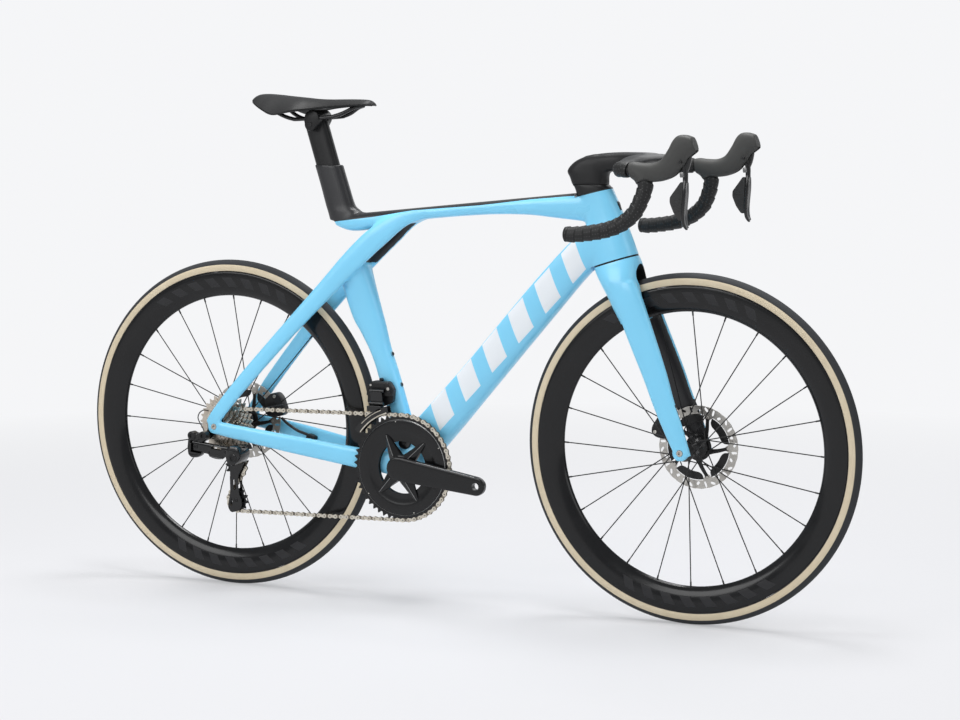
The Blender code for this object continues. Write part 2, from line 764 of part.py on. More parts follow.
def capsule(big, small, length, direction, count=9):
    """Outline of two circles joined by their outer tangents."""
    lean = math.acos((big - small) / length)
    base = math.atan2(direction.z, direction.x)
    end = (length * math.cos(base), length * math.sin(base))
    points = []
    for i in range(count):
        a = base - lean + 2 * lean * i / (count - 1)
        points.append((end[0] + small * math.cos(a), end[1] + small * math.sin(a)))
    for i in range(count):
        a = base + lean + 2 * (math.pi - lean) * i / (count - 1)
        points.append((big * math.cos(a), big * math.sin(a)))
    return points


def make_cranks():
    pedal = (CRANK_LENGTH * crank_dir.x, CRANK_LENGTH * crank_dir.z)
    outline = capsule(0.0240, 0.0155, CRANK_LENGTH, crank_dir, 7)
    outer_y = -CRANK_INNER_Y - CRANK_THICKNESS
    right = plate("right_crank", [outline, circle(PEDAL_HOLE_RADIUS, 10, pedal)], outer_y, -CRANK_INNER_Y, bb)
    ring_face = CHAIN_Y - RING_HALF_THICKNESS - GAP
    boss = rod("spider_boss", bb + Y * (ring_face - 0.0004), bb + Y * (-CRANK_INNER_Y - 0.0035), 0.0270, 14)
    right = united(right, boss)
    for a in SPIDER_ANGLES:
        out = Vector((math.cos(a), 0, math.sin(a)))
        along = Vector((-math.sin(a), 0, math.cos(a)))
        rings = []
        for r, half, shoulder, ridge in (
            (0.010, 0.0160, -0.0570, -0.0640), (0.036, 0.0130, -0.0550, -0.0605),
            (SPIDER_REACH, 0.0040, -0.0503, -0.0515),
        ):
            foot = bb + out * r
            rings.append([
                foot + along * half + Y * ring_face, foot + along * half + Y * shoulder, foot + Y * ridge,
                foot - along * half + Y * shoulder, foot - along * half + Y * ring_face,
            ])
        arm = loft("spider_arm", rings)
        bolt_end = CHAIN_Y + INNER_RING_OFFSET + RING_HALF_THICKNESS + 0.0008
        centre = bb + out * BOLT_CIRCLE
        bolt = rod("bolt", centre + Y * (ring_face - 0.001), centre + Y * bolt_end, BOLT_RADIUS, 6)
        right = united(right, arm, bolt)
    spindle_end = bb + Y * (CRANK_INNER_Y + 0.009)
    spindle = rod("spindle", bb + Y * (ring_face - 0.002), spindle_end, SPINDLE_RADIUS, 14)
    right = united(right, spindle)
    finish(right, SATIN_BLACK, 0.25, 0.2, bb)
    opposite = -crank_dir
    outline = capsule(0.0210, 0.0155, CRANK_LENGTH, opposite, 7)
    pedal_hole = circle(PEDAL_HOLE_RADIUS, 10, (-pedal[0], -pedal[1]))
    spindle_hole = circle(snug(SPINDLE_RADIUS, 14), 14)
    left = plate(
        "left_crank", [outline, pedal_hole, spindle_hole], CRANK_INNER_Y, CRANK_INNER_Y + CRANK_THICKNESS, bb,
    )
    finish(left, SATIN_BLACK, 0.25, 0.2, bb)
    for label, sign in (("right", -1), ("left", 1)):
        inner = 0.0320
        outer = BB_SHELL_HALF + GAP + BB_FLANGE
        profile = [
            (BB_CUP_RADIUS + 0.0015, outer), (BB_CUP_RADIUS + 0.0015, BB_SHELL_HALF + GAP),
            (BB_CUP_RADIUS, BB_SHELL_HALF + GAP), (BB_CUP_RADIUS, inner),
            (snug(SPINDLE_RADIUS, 14), inner), (snug(SPINDLE_RADIUS, 14), outer),
        ]
        cup = turned("bb_cup_" + label, profile, bb, Y * sign, 14)
        finish(cup, SATIN_BLACK, 0.4, 0.4)


# Rear mech

LINK_PIVOT = rear_axle + Vector((-0.0430, -0.0865, -0.0410))
KNUCKLE_PIVOT = rear_axle + Vector((0.0560, -0.0865, -0.0520))
CAGE_PIVOT = rear_axle + Vector((0.047, 0, -0.0660))
MECH_BOLT = Vector((-0.0165, 0, -0.0190))
HANGER_THICKNESS = 0.0040
MECH_THICKNESS = 0.0200
LINK_HALF_HEIGHT = 0.0115
LINK_HALF_WIDTH = 0.0050
LINK_SWING = 0.0052
CAGE_GAP = 0.0072
CAGE_PLATE = 0.0015


def hanger_outline(margin=0.0):
    """Hanger round the axle, reaching back and down to the mech bolt."""
    return capsule(0.0125 + margin, 0.0085 + margin, MECH_BOLT.length, MECH_BOLT)


def make_rear_mech():
    """Hanger, mech body, swinging link and knuckle."""
    bore = snug(AXLE_RADIUS, 10)
    hanger = plate(
        "mech_hanger", [hanger_outline(), circle(bore, 10)],
        -REAR_INNER_HALF - HANGER_THICKNESS, -REAR_INNER_HALF, rear_axle,
    )
    finish(hanger, SATIN_BLACK, 0.4, 0.5)
    inner_face = -REAR_INNER_HALF - HANGER_THICKNESS - GAP
    outline = [
        (-0.0545, -0.0230), (-0.0510, -0.0150), (-0.0430, -0.0125), (-0.0310, -0.0145), (-0.0205, -0.0105),
        (-0.0125, -0.0125), (-0.0080, -0.0200), (-0.0120, -0.0275), (-0.0220, -0.0320), (-0.0240, -0.0570),
        (-0.0330, -0.0640), (-0.0480, -0.0650), (-0.0555, -0.0580), (-0.0565, -0.0420),
    ]
    body = plate("rear_mech_body", [outline], inner_face - MECH_THICKNESS, inner_face, rear_axle)
    link_dir = (KNUCKLE_PIVOT - LINK_PIVOT).normalized()
    slope = math.atan2(-link_dir.z, link_dir.x)
    room = 2 * (LINK_HALF_HEIGHT + GAP)
    shallow = block(
        "rear_mech_slot", LINK_PIVOT + link_dir * 0.0125 - Y * 0.0100,
        (0.038, 2 * (LINK_HALF_WIDTH + 0.0135), room), slope,
    )
    deep = block("rear_mech_slot_end", LINK_PIVOT + link_dir * 0.0290, (0.038, 0.060, room), slope)
    finish(cut(body, shallow, deep), CARBON, 0.25, 0.2)
    stations = [
        (LINK_PIVOT.lerp(KNUCKLE_PIVOT, t), height * LINK_HALF_HEIGHT, 2 * width * LINK_HALF_WIDTH)
        for t, height, width in (
            (-0.058, 1.5, 0.6), (0.0, 2.0, 1.0), (0.35, 1.9, 0.9),
            (0.70, 2.0, 0.9), (1.0, 2.0, 1.0), (1.070, 1.5, 0.6),
        )
    ]
    finish(tube("rear_mech_link", stations, 8, 5.0), CARBON, 0.25, 0.2, LINK_PIVOT)
    inboard = CHAIN_Y - CAGE_GAP - CAGE_PLATE - GAP
    outline = [
        (0.0370, -0.0420), (0.0440, -0.0350), (0.0600, -0.0350), (0.0700, -0.0430), (0.0720, -0.0570),
        (0.0640, -0.0690), (0.0520, -0.0765), (0.0400, -0.0725), (0.0360, -0.0620),
    ]
    outboard = KNUCKLE_PIVOT.y - LINK_HALF_WIDTH - LINK_SWING - 0.0030
    knuckle = plate("rear_mech_knuckle", [outline], outboard, inboard, rear_axle)
    reach = block(
        "knuckle_slot", KNUCKLE_PIVOT - link_dir * 0.0150,
        (0.0480, 2 * (LINK_HALF_WIDTH + LINK_SWING), room), slope,
    )
    finish(cut(knuckle, reach), CARBON, 0.3, 0.2, KNUCKLE_PIVOT)
    make_mech_cage()


def make_mech_cage():
    """Two cage plates joined by the pulley axles, which carry the pulleys."""
    origin = Vector((0, 0, 0))
    g = (guide_axle.x, guide_axle.z)
    t = (tension_axle.x, tension_axle.z)
    p = (CAGE_PIVOT.x, CAGE_PIVOT.z)
    outline = [
        (p[0] - 0.010, p[1] + 0.010), (p[0] + 0.008, p[1] + 0.009), (p[0] + 0.011, p[1] - 0.004),
        (g[0] + 0.014, g[1] - 0.020), (t[0] + 0.010, t[1] + 0.026), (t[0] + 0.022, t[1] + 0.006),
        (t[0] + 0.021, t[1] - 0.017), (t[0] - 0.009, t[1] - 0.026), (t[0] - 0.019, t[1] - 0.013),
        (t[0] - 0.012, t[1] + 0.020), (g[0] - 0.012, g[1] - 0.016), (g[0] - 0.010, g[1] + 0.008),
    ]
    outer_y = CHAIN_Y - CAGE_GAP
    inner_y = CHAIN_Y + CAGE_GAP
    cage = plate("rear_mech_cage", [outline], outer_y - CAGE_PLATE, outer_y, origin)
    narrow = outline[2:]
    back = plate("cage_back", [narrow], inner_y, inner_y + CAGE_PLATE, origin)
    pins = [
        rod("cage_pin", a + Y * (outer_y - 0.0005), a + Y * (inner_y + 0.0005), PULLEY_PIN_RADIUS, 10)
        for a in (guide_axle, tension_axle)
    ]
    finish(united(cage, back, *pins), CARBON, 0.25, 0.3, Vector((CAGE_PIVOT.x, CHAIN_Y, CAGE_PIVOT.z)))
    for label, axle, index in (("guide", guide_axle, 2), ("tension", tension_axle, 3)):
        outlines = [toothed(PULLEY_TEETH, gap_angle(index)), circle(snug(PULLEY_PIN_RADIUS, 10), 10)]
        pulley = plate(
            label + "_pulley", outlines, CHAIN_Y - COG_HALF_THICKNESS, CHAIN_Y + COG_HALF_THICKNESS, axle,
        )
        finish(pulley, SATIN_BLACK, 0.5, 0.0, axle + Y * CHAIN_Y)


# Front mech

FRONT_LINK_LENGTH = 0.025
FRONT_MECH_THROW = 0.0070
FRONT_MECH_PIVOT = bb + Vector((-0.058, -0.0420, 0.1500))


def make_front_mech():
    """Motor body on the seat tube, a swinging link and the chain cage."""
    outline = [
        (-0.086, 0.124), (-0.084, 0.158), (-0.071, 0.169), (-0.036, 0.168),
        (-0.026, 0.152), (-0.029, 0.128), (-0.048, 0.118), (-0.074, 0.118),
    ]
    body = plate("front_mech_body", [outline], -0.0375, -0.0190, bb)
    recess = block("link_recess", bb + Vector((-0.056, -0.0400, 0.115)), (0.080, 0.020, 0.050))
    finish(cut(body, recess), CARBON, 0.3, 0.2)
    lean = math.asin(FRONT_MECH_THROW / 2 / FRONT_LINK_LENGTH)
    low = FRONT_MECH_PIVOT + Vector((0, -math.sin(lean), -math.cos(lean))) * FRONT_LINK_LENGTH
    axis_half = X * 0.016
    link = rod("front_mech_link", FRONT_MECH_PIVOT - axis_half, FRONT_MECH_PIVOT + axis_half, 0.0040, 10)
    middle = FRONT_MECH_PIVOT.lerp(low, 0.5)
    web = block("front_mech_web", middle, (0.026, 0.0045, FRONT_LINK_LENGTH - 0.004))
    lower = rod("front_mech_lower", low - axis_half, low + axis_half, 0.0040, 10)
    finish(united(link, web, lower), SATIN_BLACK, 0.35, 0.3, FRONT_MECH_PIVOT)
    inner_r = pitch_radius(OUTER_RING_TEETH) + TOOTH_TIP + 0.0024

    def sector(r0, r1, a0, a1, count=7):
        step = (a1 - a0) / (count - 1)
        low_edge = [(r0 * math.cos(a0 + i * step), r0 * math.sin(a0 + i * step)) for i in range(count)]
        high_edge = [(r1 * math.cos(a0 + i * step), r1 * math.sin(a0 + i * step)) for i in range(count)]
        return low_edge + high_edge[::-1]

    start = math.radians(104)
    stop = math.radians(145)
    outer_y = CHAIN_Y - 0.0062
    inner_y = CHAIN_Y + 0.0062
    wall = sector(inner_r, inner_r + 0.0150, start, stop)
    cage = plate("front_mech_cage", [wall], outer_y - 0.0012, outer_y, bb)
    inner = plate("front_cage_inner", [wall], inner_y, inner_y + 0.0012, bb)
    tail = plate(
        "front_cage_tail", [sector(inner_r + 0.002, inner_r + 0.0140, stop - 0.05, stop - 0.015, 3)],
        outer_y - 0.0006, inner_y + 0.0006, bb,
    )
    bridge_z = low.z - 0.0045 - bb.z
    x = low.x - bb.x
    outline = [
        (x - 0.017, bridge_z - 0.0125), (x + 0.014, bridge_z - 0.0110),
        (x + 0.014, bridge_z), (x - 0.017, bridge_z),
    ]
    bridge = plate("front_cage_bridge", [outline], outer_y - 0.0012, inner_y + 0.0012, bb)
    finish(united(cage, inner, tail, bridge), SATIN_BLACK, 0.35, 0.3, low)


# Frame

def along_top_tube(t, drop=0.0):
    """Point on the top tube's upper line, from head at 0 to seat at 1."""
    front = head_top + Vector((0.008, 0, 0.0014))
    back = bb + seat_dir * TOP_TUBE_SEAT_HEIGHT - seat_dir * 0.001
    return front.lerp(back, t) - Z * drop


def mirrored(stations):
    return [(Vector((c.x, -c.y, c.z)), d, w) for c, d, w in stations]


def seat_point(height, ahead=0.0):
    """Point on the seat axis at a height above the bottom bracket."""
    return bb + seat_dir * (height / math.sin(SEAT_ANGLE)) + X * ahead


def level_tube(name, stations, sides=12, power=2.5):
    """Loft horizontal ovals given as (centre, length, width)."""
    return loft(name, [oval(c, X, Y, d, w, sides, power) for c, d, w in stations])


def down_line():
    """Start, unit direction and upper normal of the down tube's line."""
    start = bb + Z * 0.028
    end = crown + steer_dir * 0.0590
    along = (end - start).normalized()
    return start, end, Vector((-along.z, 0, along.x))


def make_frame():
    head = loft("frame", [
        oval(
            crown + steer_dir * s + steer_normal * ahead, steer_normal, Y, depth, width, 14, 2.4,
        )
        for s, ahead, depth, width in (
            (0.0, 0.0030, 0.0980, 0.0600), (0.040, 0.0010, 0.0880, 0.0560),
            (0.090, -0.0010, 0.0740, 0.0500), (HEAD_TUBE_LENGTH, -0.0030, 0.0640, 0.0480),
        )
    ])
    top = tube("top_tube", [
        (along_top_tube(t, depth / 2), depth, width)
        for t, depth, width in (
            (0.02, 0.060, 0.042), (0.16, 0.045, 0.040), (0.28, 0.033, 0.038), (0.45, 0.0255, 0.040),
            (0.70, 0.0245, 0.044), (0.86, 0.033, 0.046), (0.955, 0.034, 0.044), (1.02, 0.020, 0.032),
        )
    ], 10, 3.0)
    start, end, normal = down_line()
    down = tube("down_tube", [
        (start.lerp(end, t) + normal * bow, depth, width)
        for t, bow, depth, width in (
            (0.0, 0.002, 0.098, 0.060), (0.18, 0.002, 0.0925, 0.058), (0.36, 0.0045, 0.0880, 0.054),
            (0.69, 0.0105, 0.0870, 0.052), (0.86, 0.0085, 0.0900, 0.052), (1.0, 0.0, 0.0980, 0.050),
        )
    ], 12, 2.6, 0.62, Y)
    seat = tube("seat_tube", [
        (bb + seat_dir * s + seat_normal * ahead, depth, width)
        for s, ahead, depth, width in (
            (0.010, 0.000, 0.056, 0.050), (0.080, 0.0020, 0.044, 0.036), (0.183, 0.0026, 0.0420, 0.033),
            (0.235, 0.0006, 0.0420, 0.033), (0.286, -0.0031, 0.0550, 0.034), (0.320, -0.0072, 0.0640, 0.036),
            (0.370, -0.0080, 0.0660, 0.044), (0.412, -0.0080, 0.0660, 0.062),
        )
    ], 10, 2.6)
    mast = level_tube("seat_mast", [
        (seat_point(TOP_TUBE_SEAT_HEIGHT - 0.0355, 0.008), 0.0780, 0.0380),
        (seat_point(TOP_TUBE_SEAT_HEIGHT - 0.0165, 0.005), 0.0720, 0.0360),
        (seat_point(TOP_TUBE_SEAT_HEIGHT - 0.0045, 0.000), 0.0630, 0.0335),
        (seat_point(SEAT_MAST_HEIGHT, -0.001), 0.0600, 0.0330),
    ])
    shell = rod("bb_shell", bb - Y * BB_SHELL_HALF, bb + Y * BB_SHELL_HALF, BB_SHELL_RADIUS, 18)
    frame = united(head, down, top, mast, seat, shell)
    drop_y = REAR_INNER_HALF + REAR_DROPOUT_THICKNESS / 2
    chainstay = [
        (bb + Vector((-0.012, 0.0235, 0.000)), 0.046, 0.020),
        (bb + Vector((-0.056, 0.0275, 0.006)), 0.0435, 0.0185),
        (bb + Vector((-0.103, 0.0330, 0.0119)), 0.0415, 0.0185),
        (bb + Vector((-0.176, 0.0440, 0.0230)), 0.0385, 0.0160),
        (bb + Vector((-0.270, 0.0625, 0.0390)), 0.0345, 0.0150),
        (bb + Vector((-0.350, 0.0735, 0.0520)), 0.0300, 0.0125),
        (rear_axle + Vector((-0.004, drop_y, -0.001)), 0.0270, REAR_DROPOUT_THICKNESS),
    ]
    seatstay = [
        (rear_axle + Vector((-0.009, drop_y, 0.003)), 0.0270, REAR_DROPOUT_THICKNESS),
        (rear_axle + Vector((0.0060, drop_y - 0.0005, 0.0250)), 0.0280, 0.0115),
        (rear_axle + Vector((0.0530, 0.0665, 0.0840)), 0.0300, 0.0130),
        (rear_axle + Vector((0.1480, 0.0500, 0.1900)), 0.0320, 0.0140),
        (rear_axle + Vector((0.2330, 0.0380, 0.2790)), 0.0370, 0.0150),
        (rear_axle + Vector((0.3020, 0.0320, 0.3490)), 0.0440, 0.0150),
        (rear_axle + Vector((0.3560, 0.0270, 0.3960)), 0.0440, 0.0155),
        (rear_axle + Vector((0.4080, 0.0200, 0.4290)), 0.0300, 0.0165),
        (rear_axle + Vector((0.4680, 0.0120, 0.4430)), 0.0180, 0.0160),
    ]
    for stations, label in ((chainstay, "chainstay"), (seatstay, "seatstay")):
        for side_stations in (stations, mirrored(stations)):
            frame = united(frame, tube(label, side_stations, 8, 2.8))
    for sign in (-1, 1):
        low = rear_axle + Y * sign * REAR_INNER_HALF
        high = rear_axle + Y * sign * (REAR_INNER_HALF + REAR_DROPOUT_THICKNESS)
        frame = united(frame, rod("dropout", low, high, DROPOUT_RADIUS, 14))
    for foot, outward in bottle_bosses():
        boss = rod("boss", foot - outward * 0.006, foot + outward * BOSS_HEIGHT, BOSS_RADIUS, 8)
        frame = united(frame, boss)
    frame = cut(frame, *frame_cutters())
    finish(frame, SKY_BLUE, 0.25)


def bottle_bosses():
    """Feet and outward directions of the two pairs of bottle bosses."""
    start, end, normal = down_line()
    along = (end - start).normalized()
    feet = []
    for s, lift in ((0.200, 0.0310), (0.264, 0.0322)):
        feet.append((start + along * s + normal * lift, normal))
    for s, lift in ((0.160, 0.0232), (0.224, 0.0222)):
        feet.append((bb + seat_dir * s + seat_normal * lift, seat_normal))
    return feet


def frame_cutters():
    """Bores for bearings, spindle, axle and post, and room for the fork crown."""
    up = steer_dir
    steerer = rod("steerer_bore", crown - up * 0.01, head_top + up * 0.01, STEERER_RADIUS + 0.003, 12)
    depth = up * (BEARING_HEIGHT + 2 * GAP)
    lower = rod("lower_bearing_seat", crown - up * 0.01, crown + depth, snug(LOWER_BEARING_RADIUS, 18), 18)
    wide = snug(UPPER_BEARING_RADIUS, 18)
    upper = rod("upper_bearing_seat", head_top - depth, head_top + up * 0.01, wide, 18)
    crown_room = turned(
        "crown_room", [(0.0, 0.0), (0.0580, 0.0), (0.0700, -0.060), (0.0, -0.060)], crown, up, 20,
    )
    head_face = rod("head_face", head_top, head_top + up * 0.030, 0.060, 14)
    spindle = rod("bb_bore", bb - Y * 0.06, bb + Y * 0.06, snug(BB_CUP_RADIUS, 14), 14)
    axle = rod("axle_bore", rear_axle - Y * 0.10, rear_axle + Y * 0.10, snug(AXLE_RADIUS, 10), 10)
    slope = 1 / math.sin(SEAT_ANGLE)
    length = (SEATPOST_DEPTH + 2 * GAP) * slope
    pocket = level_tube("post_pocket", [
        (seat_point(height, POST_OFFSET), length, SEATPOST_WIDTH + 2 * GAP)
        for height in (SEAT_MAST_HEIGHT - SEATPOST_INSERTION - 0.038, SEAT_MAST_HEIGHT + 0.01)
    ], 10)
    tyre_room = rod("tyre_room", rear_axle - Y * 0.0195, rear_axle + Y * 0.0195, TYRE_RADIUS + 0.0060, 28)
    hub_rooms = [
        rod("hub_room", rear_axle + Y * sign * 0.055, rear_axle + Y * sign * REAR_INNER_HALF, 0.0300, 14)
        for sign in (-1, 1)
    ]
    low = -REAR_INNER_HALF - HANGER_THICKNESS - GAP
    hanger_room = plate("hanger_room", [hanger_outline(GAP)], low, low + 0.020, rear_axle)
    return [
        steerer, lower, upper, crown_room, head_face, spindle, axle, pocket, tyre_room, *hub_rooms, hanger_room,
    ]


# Fork

def make_fork():
    top = loft("fork", [
        oval(crown + steer_dir * s + steer_normal * ahead, steer_normal, Y, depth, width, 14, 2.4)
        for s, ahead, depth, width in (
            (-GAP, 0.0030, 0.0980, 0.0600), (-0.016, 0.0040, 0.0930, 0.0720), (-0.036, 0.005, 0.0780, 0.0800),
        )
    ])
    leg = [
        (origin + Vector((x, y, z)), depth, width)
        for origin, x, y, z, depth, width in (
            (crown, 0.01261, 0.0300, -0.00426, 0.0740, 0.0230), (crown, 0.02261, 0.0320, -0.03426, 0.0620, 0.0230),
            (crown, 0.03761, 0.0345, -0.07026, 0.0550, 0.0220), (crown, 0.06011, 0.0380, -0.12626, 0.0545, 0.0200),
            (front_axle, -0.0574, 0.0455, 0.1440, 0.0480, 0.0165), (front_axle, -0.0380, 0.0505, 0.0940, 0.0430, 0.0150),
            (front_axle, -0.0155, 0.0550, 0.0430, 0.0380, 0.0138),
            (front_axle, 0.0080, 0.0568, -0.0130, 0.0310, FRONT_LEG_THICKNESS),
        )
    ]
    fork = united(top, tube("leg", leg, 10, 2.6), tube("leg", mirrored(leg), 10, 2.6))
    for sign in (-1, 1):
        low = front_axle + Y * sign * FRONT_INNER_HALF
        high = front_axle + Y * sign * (FRONT_INNER_HALF + FRONT_LEG_THICKNESS)
        fork = united(fork, rod("fork_end", low, high, 0.0150, 14))
    steerer = rod(
        "steerer", crown - steer_dir * 0.025, head_top + steer_dir * STEERER_ABOVE_HEAD, STEERER_RADIUS, 12,
    )
    fork = united(fork, steerer)
    beside = Y * 0.0205
    tyre_room = rod("fork_tyre_room", front_axle - beside, front_axle + beside, TYRE_RADIUS + 0.0065, 32)
    bore = rod("fork_axle_bore", front_axle - Y * 0.08, front_axle + Y * 0.08, snug(AXLE_RADIUS, 10), 10)
    hub_room = rod(
        "front_hub_room", front_axle - Y * FRONT_INNER_HALF, front_axle + Y * FRONT_INNER_HALF, 0.0300, 14,
    )
    disc = front_axle + Y * FRONT_ROTOR_Y
    disc_room = rod("front_disc_room", disc - Y * 0.003, disc + Y * 0.0045, ROTOR_RADIUS + 0.004, 24)
    fork = cut(fork, tyre_room, bore, hub_room, disc_room)
    finish(fork, SKY_BLUE, 0.25, 0.0, crown)
    for name, low, radius in (
        ("lower_headset_bearing", crown + steer_dir * GAP, LOWER_BEARING_RADIUS),
        ("upper_headset_bearing", head_top - steer_dir * (BEARING_HEIGHT + GAP), UPPER_BEARING_RADIUS),
    ):
        profile = [
            (radius, BEARING_HEIGHT), (radius, 0.0),
            (snug(STEERER_RADIUS, 12), 0.0), (snug(STEERER_RADIUS, 12), BEARING_HEIGHT),
        ]
        finish(turned(name, profile, low, steer_dir, 12), STEEL, 0.3, 0.9)


def make_axles():
    """Thru axles with a hexagon socket in the head on the drive side."""
    for name, axle, inner, wall in (
        ("front_thru_axle", front_axle, FRONT_INNER_HALF, FRONT_LEG_THICKNESS),
        ("rear_thru_axle", rear_axle, REAR_INNER_HALF, REAR_DROPOUT_THICKNESS),
    ):
        reach = inner + wall
        profile = [
            (0.0, reach), (AXLE_RADIUS, reach), (AXLE_RADIUS, -reach - 0.0005),
            (0.0035, -reach - 0.0005), (0.0035, -reach + 0.004), (0.0, -reach + 0.004),
        ]
        finish(turned(name, profile, axle, Y, 10), SATIN_BLACK, 0.35, 0.6)


# Cockpit

def make_cockpit():
    """Integrated bar and stem, headset cover, hoods, levers and tape."""
    base = head_top + steer_dir * GAP
    cover = level_tube("headset_cover", [
        (head_top + Vector((x, 0, z)), length, width)
        for x, z, length, width in (
            (0.0040, -0.0274, 0.0668, 0.0476), (-0.0050, 0.0066, 0.0675, 0.0474),
            (-0.0111, HEADSET_COVER_TOP, 0.0785, 0.0455),
        )
    ], 14)
    below = rod("cover_floor", base - steer_dir * 0.060, base, 0.080, 14)
    room = rod(
        "steerer_room", base - steer_dir * 0.010, base + steer_dir * (STEERER_ABOVE_HEAD + 0.002),
        snug(STEERER_RADIUS, 12), 12,
    )
    finish(cut(cover, below, room), SATIN_BLACK, 0.4)
    clamp = level_tube("bar_and_stem", [
        (head_top + Vector((x, 0, z)), length, width)
        for x, z, length, width in (
            (-0.0111, HEADSET_COVER_TOP + GAP, 0.0785, 0.0450), (-0.0166, 0.0396, 0.0880, 0.0460),
            (-0.0086, 0.0561, 0.0740, 0.0440), (0.0024, 0.0671, 0.0480, 0.0360),
            (0.0104, 0.0711, 0.0300, 0.0240),
        )
    ], 14)
    stem = tube("stem", [
        (head_top + Vector((x, 0, z)), depth, width)
        for x, z, depth, width in (
            (-0.0176, 0.0456, 0.046, 0.042), (0.0154, 0.0541, 0.038, 0.044), (0.0504, 0.0581, 0.034, 0.048),
            (0.0824, 0.0616, 0.027, 0.070), (STEM_REACH + 0.004, STEM_RISE + 0.001, 0.021, 0.100),
        )
    ], 12, 2.6)
    wing = loft("wing", [
        oval(bar_middle() + Vector((0, share * WING_HALF_WIDTH, -drop)), X, Z, chord, thickness, 10, 2.3)
        for share, drop, chord, thickness in (
            (-1.0, 0.0150, 0.0270, 0.0250), (-0.80, 0.0095, 0.0420, 0.0200), (-0.40, 0.0015, 0.0460, 0.0200),
            (0.40, 0.0015, 0.0460, 0.0200), (0.80, 0.0095, 0.0420, 0.0200), (1.0, 0.0150, 0.0270, 0.0250),
        )
    ])
    bar = united(clamp, stem, wing)
    for sign in (-1, 1):
        bar = united(bar, pipe("hook", hook_line(sign), BAR_RADIUS, 2))
    finish(cut(bar, room), CARBON, 0.35, 0.0, crown)
    for label, sign in (("left", 1), ("right", -1)):
        make_tape(label, sign)
        make_hood(label, sign)


def bar_middle():
    """Centre of the bar tops, measured from the top of the head tube."""
    return head_top + Vector((STEM_REACH, 0, STEM_RISE))


def bar_hook(sign):
    """Route of one hook, from inside the wing to the end of the drop."""
    shape = (
        (0.00, -0.034, 0.00, 0.108), (0.03, -0.018, 0.00, 0.112), (0.36, -0.004, 0.00, 0.120),
        (0.76, 0.0, 0.05, 0.152), (0.97, 0.0, 0.15, 0.262), (1.00, 0.0, 0.22, 0.360),
        (0.90, 0.0, 0.42, 0.517), (0.69, 0.0, 0.58, 0.701), (0.26, 0.0, 0.70, 0.856),
        (-0.31, 0.0, 0.82, 0.945), (-1.08, 0.0, 0.94, 0.996), (-1.46, 0.0, 1.00, 1.000),
    )
    return [
        bar_middle() + Vector((
            BAR_REACH * forward, sign * (BAR_HALF_WIDTH + aside + BAR_FLARE * flare), -BAR_DROP * down,
        ))
        for forward, aside, flare, down in shape
    ]


def hook_line(sign):
    """The straight pieces that the bar's hook, its tape and its hood all follow."""
    return smooth_route(bar_hook(sign), 0.024)


def distance_to(line, passed):
    """Distance along a line at which a test on its points first holds."""
    walked = 0.0
    for a, b in zip(line, line[1:]):
        for k in range(20):
            if passed(a.lerp(b, k / 20)):
                return walked + (b - a).length * k / 20
        walked += (b - a).length
    return walked


def portion(line, start, stop):
    """Points of a line between two distances, run on straight past its ends."""
    walked = 0.0
    points = []
    for i, (a, b) in enumerate(zip(line, line[1:])):
        length = (b - a).length
        low = start if i == 0 else max(start, walked)
        high = stop if i == len(line) - 2 else min(stop, walked + length)
        if high - low > 0.0005:
            if not points:
                points.append(a.lerp(b, (low - walked) / length))
            points.append(a.lerp(b, (high - walked) / length))
        walked += length
    return points


def make_tape(label, sign):
    """Tape wound round the drop and round the bar behind the hood."""
    line = hook_line(sign)
    middle = bar_middle()
    under_hood = distance_to(line, lambda p: p.z < middle.z - 0.0300)
    behind_hood = distance_to(line, lambda p: p.x > middle.x + 0.0240)
    from_wing = distance_to(line, lambda p: abs(p.y) > WING_HALF_WIDTH + 0.0125)
    whole = distance_to(line, lambda p: False)
    roof = block(
        "tape_roof_" + label,
        middle + Vector((BAR_REACH, sign * BAR_HALF_WIDTH, 0.030 - HOOD_UNDERSIDE - GAP)), (0.080, 0.080, 0.060),
    )
    wind("bar_tape_" + label, line, under_hood, whole, roof)
    wind("top_tape_" + label, line, from_wing, behind_hood)
    end = line[-1]
    along = (line[-1] - line[-2]).normalized()
    radius = BAR_RADIUS + TAPE_THICKNESS
    plug = rod("bar_plug_" + label, end + along * GAP, end + along * 0.0045, radius, 10)
    finish(plug, SATIN_BLACK, 0.4, 0.0, crown)


def bar_bore(name, line):
    """Cutter with the bar's own eight sides and a gap outside them."""
    whole = distance_to(line, lambda p: False)
    return pipe(name, portion(line, 0.0, whole + 0.012), BAR_RADIUS + GAP / math.cos(math.pi / 8), 2)


def wind(name, line, start, stop, *trims):
    """Sleeve along a line, swelling a little at the middle of each piece."""
    course = portion(line, start, stop)
    low = BAR_RADIUS + TAPE_THICKNESS - TAPE_SWELL / 2
    points = []
    radii = []
    for a, b in zip(course, course[1:]):
        points.append(a)
        radii.append(low)
        if (b - a).length > 0.015:
            points.append((a + b) / 2)
            radii.append(low + TAPE_SWELL)
    outer = pipe(name, points + [course[-1]], radii + [low], 2)
    finish(cut(outer, bar_bore(name + "_bore", line), *trims), RUBBER, 0.8, 0.0, crown)


def lever_pivot(sign):
    """Lever pin inside the front of the hood."""
    return bar_middle() + Vector((BAR_REACH + 0.0725, sign * BAR_HALF_WIDTH, -0.0010))


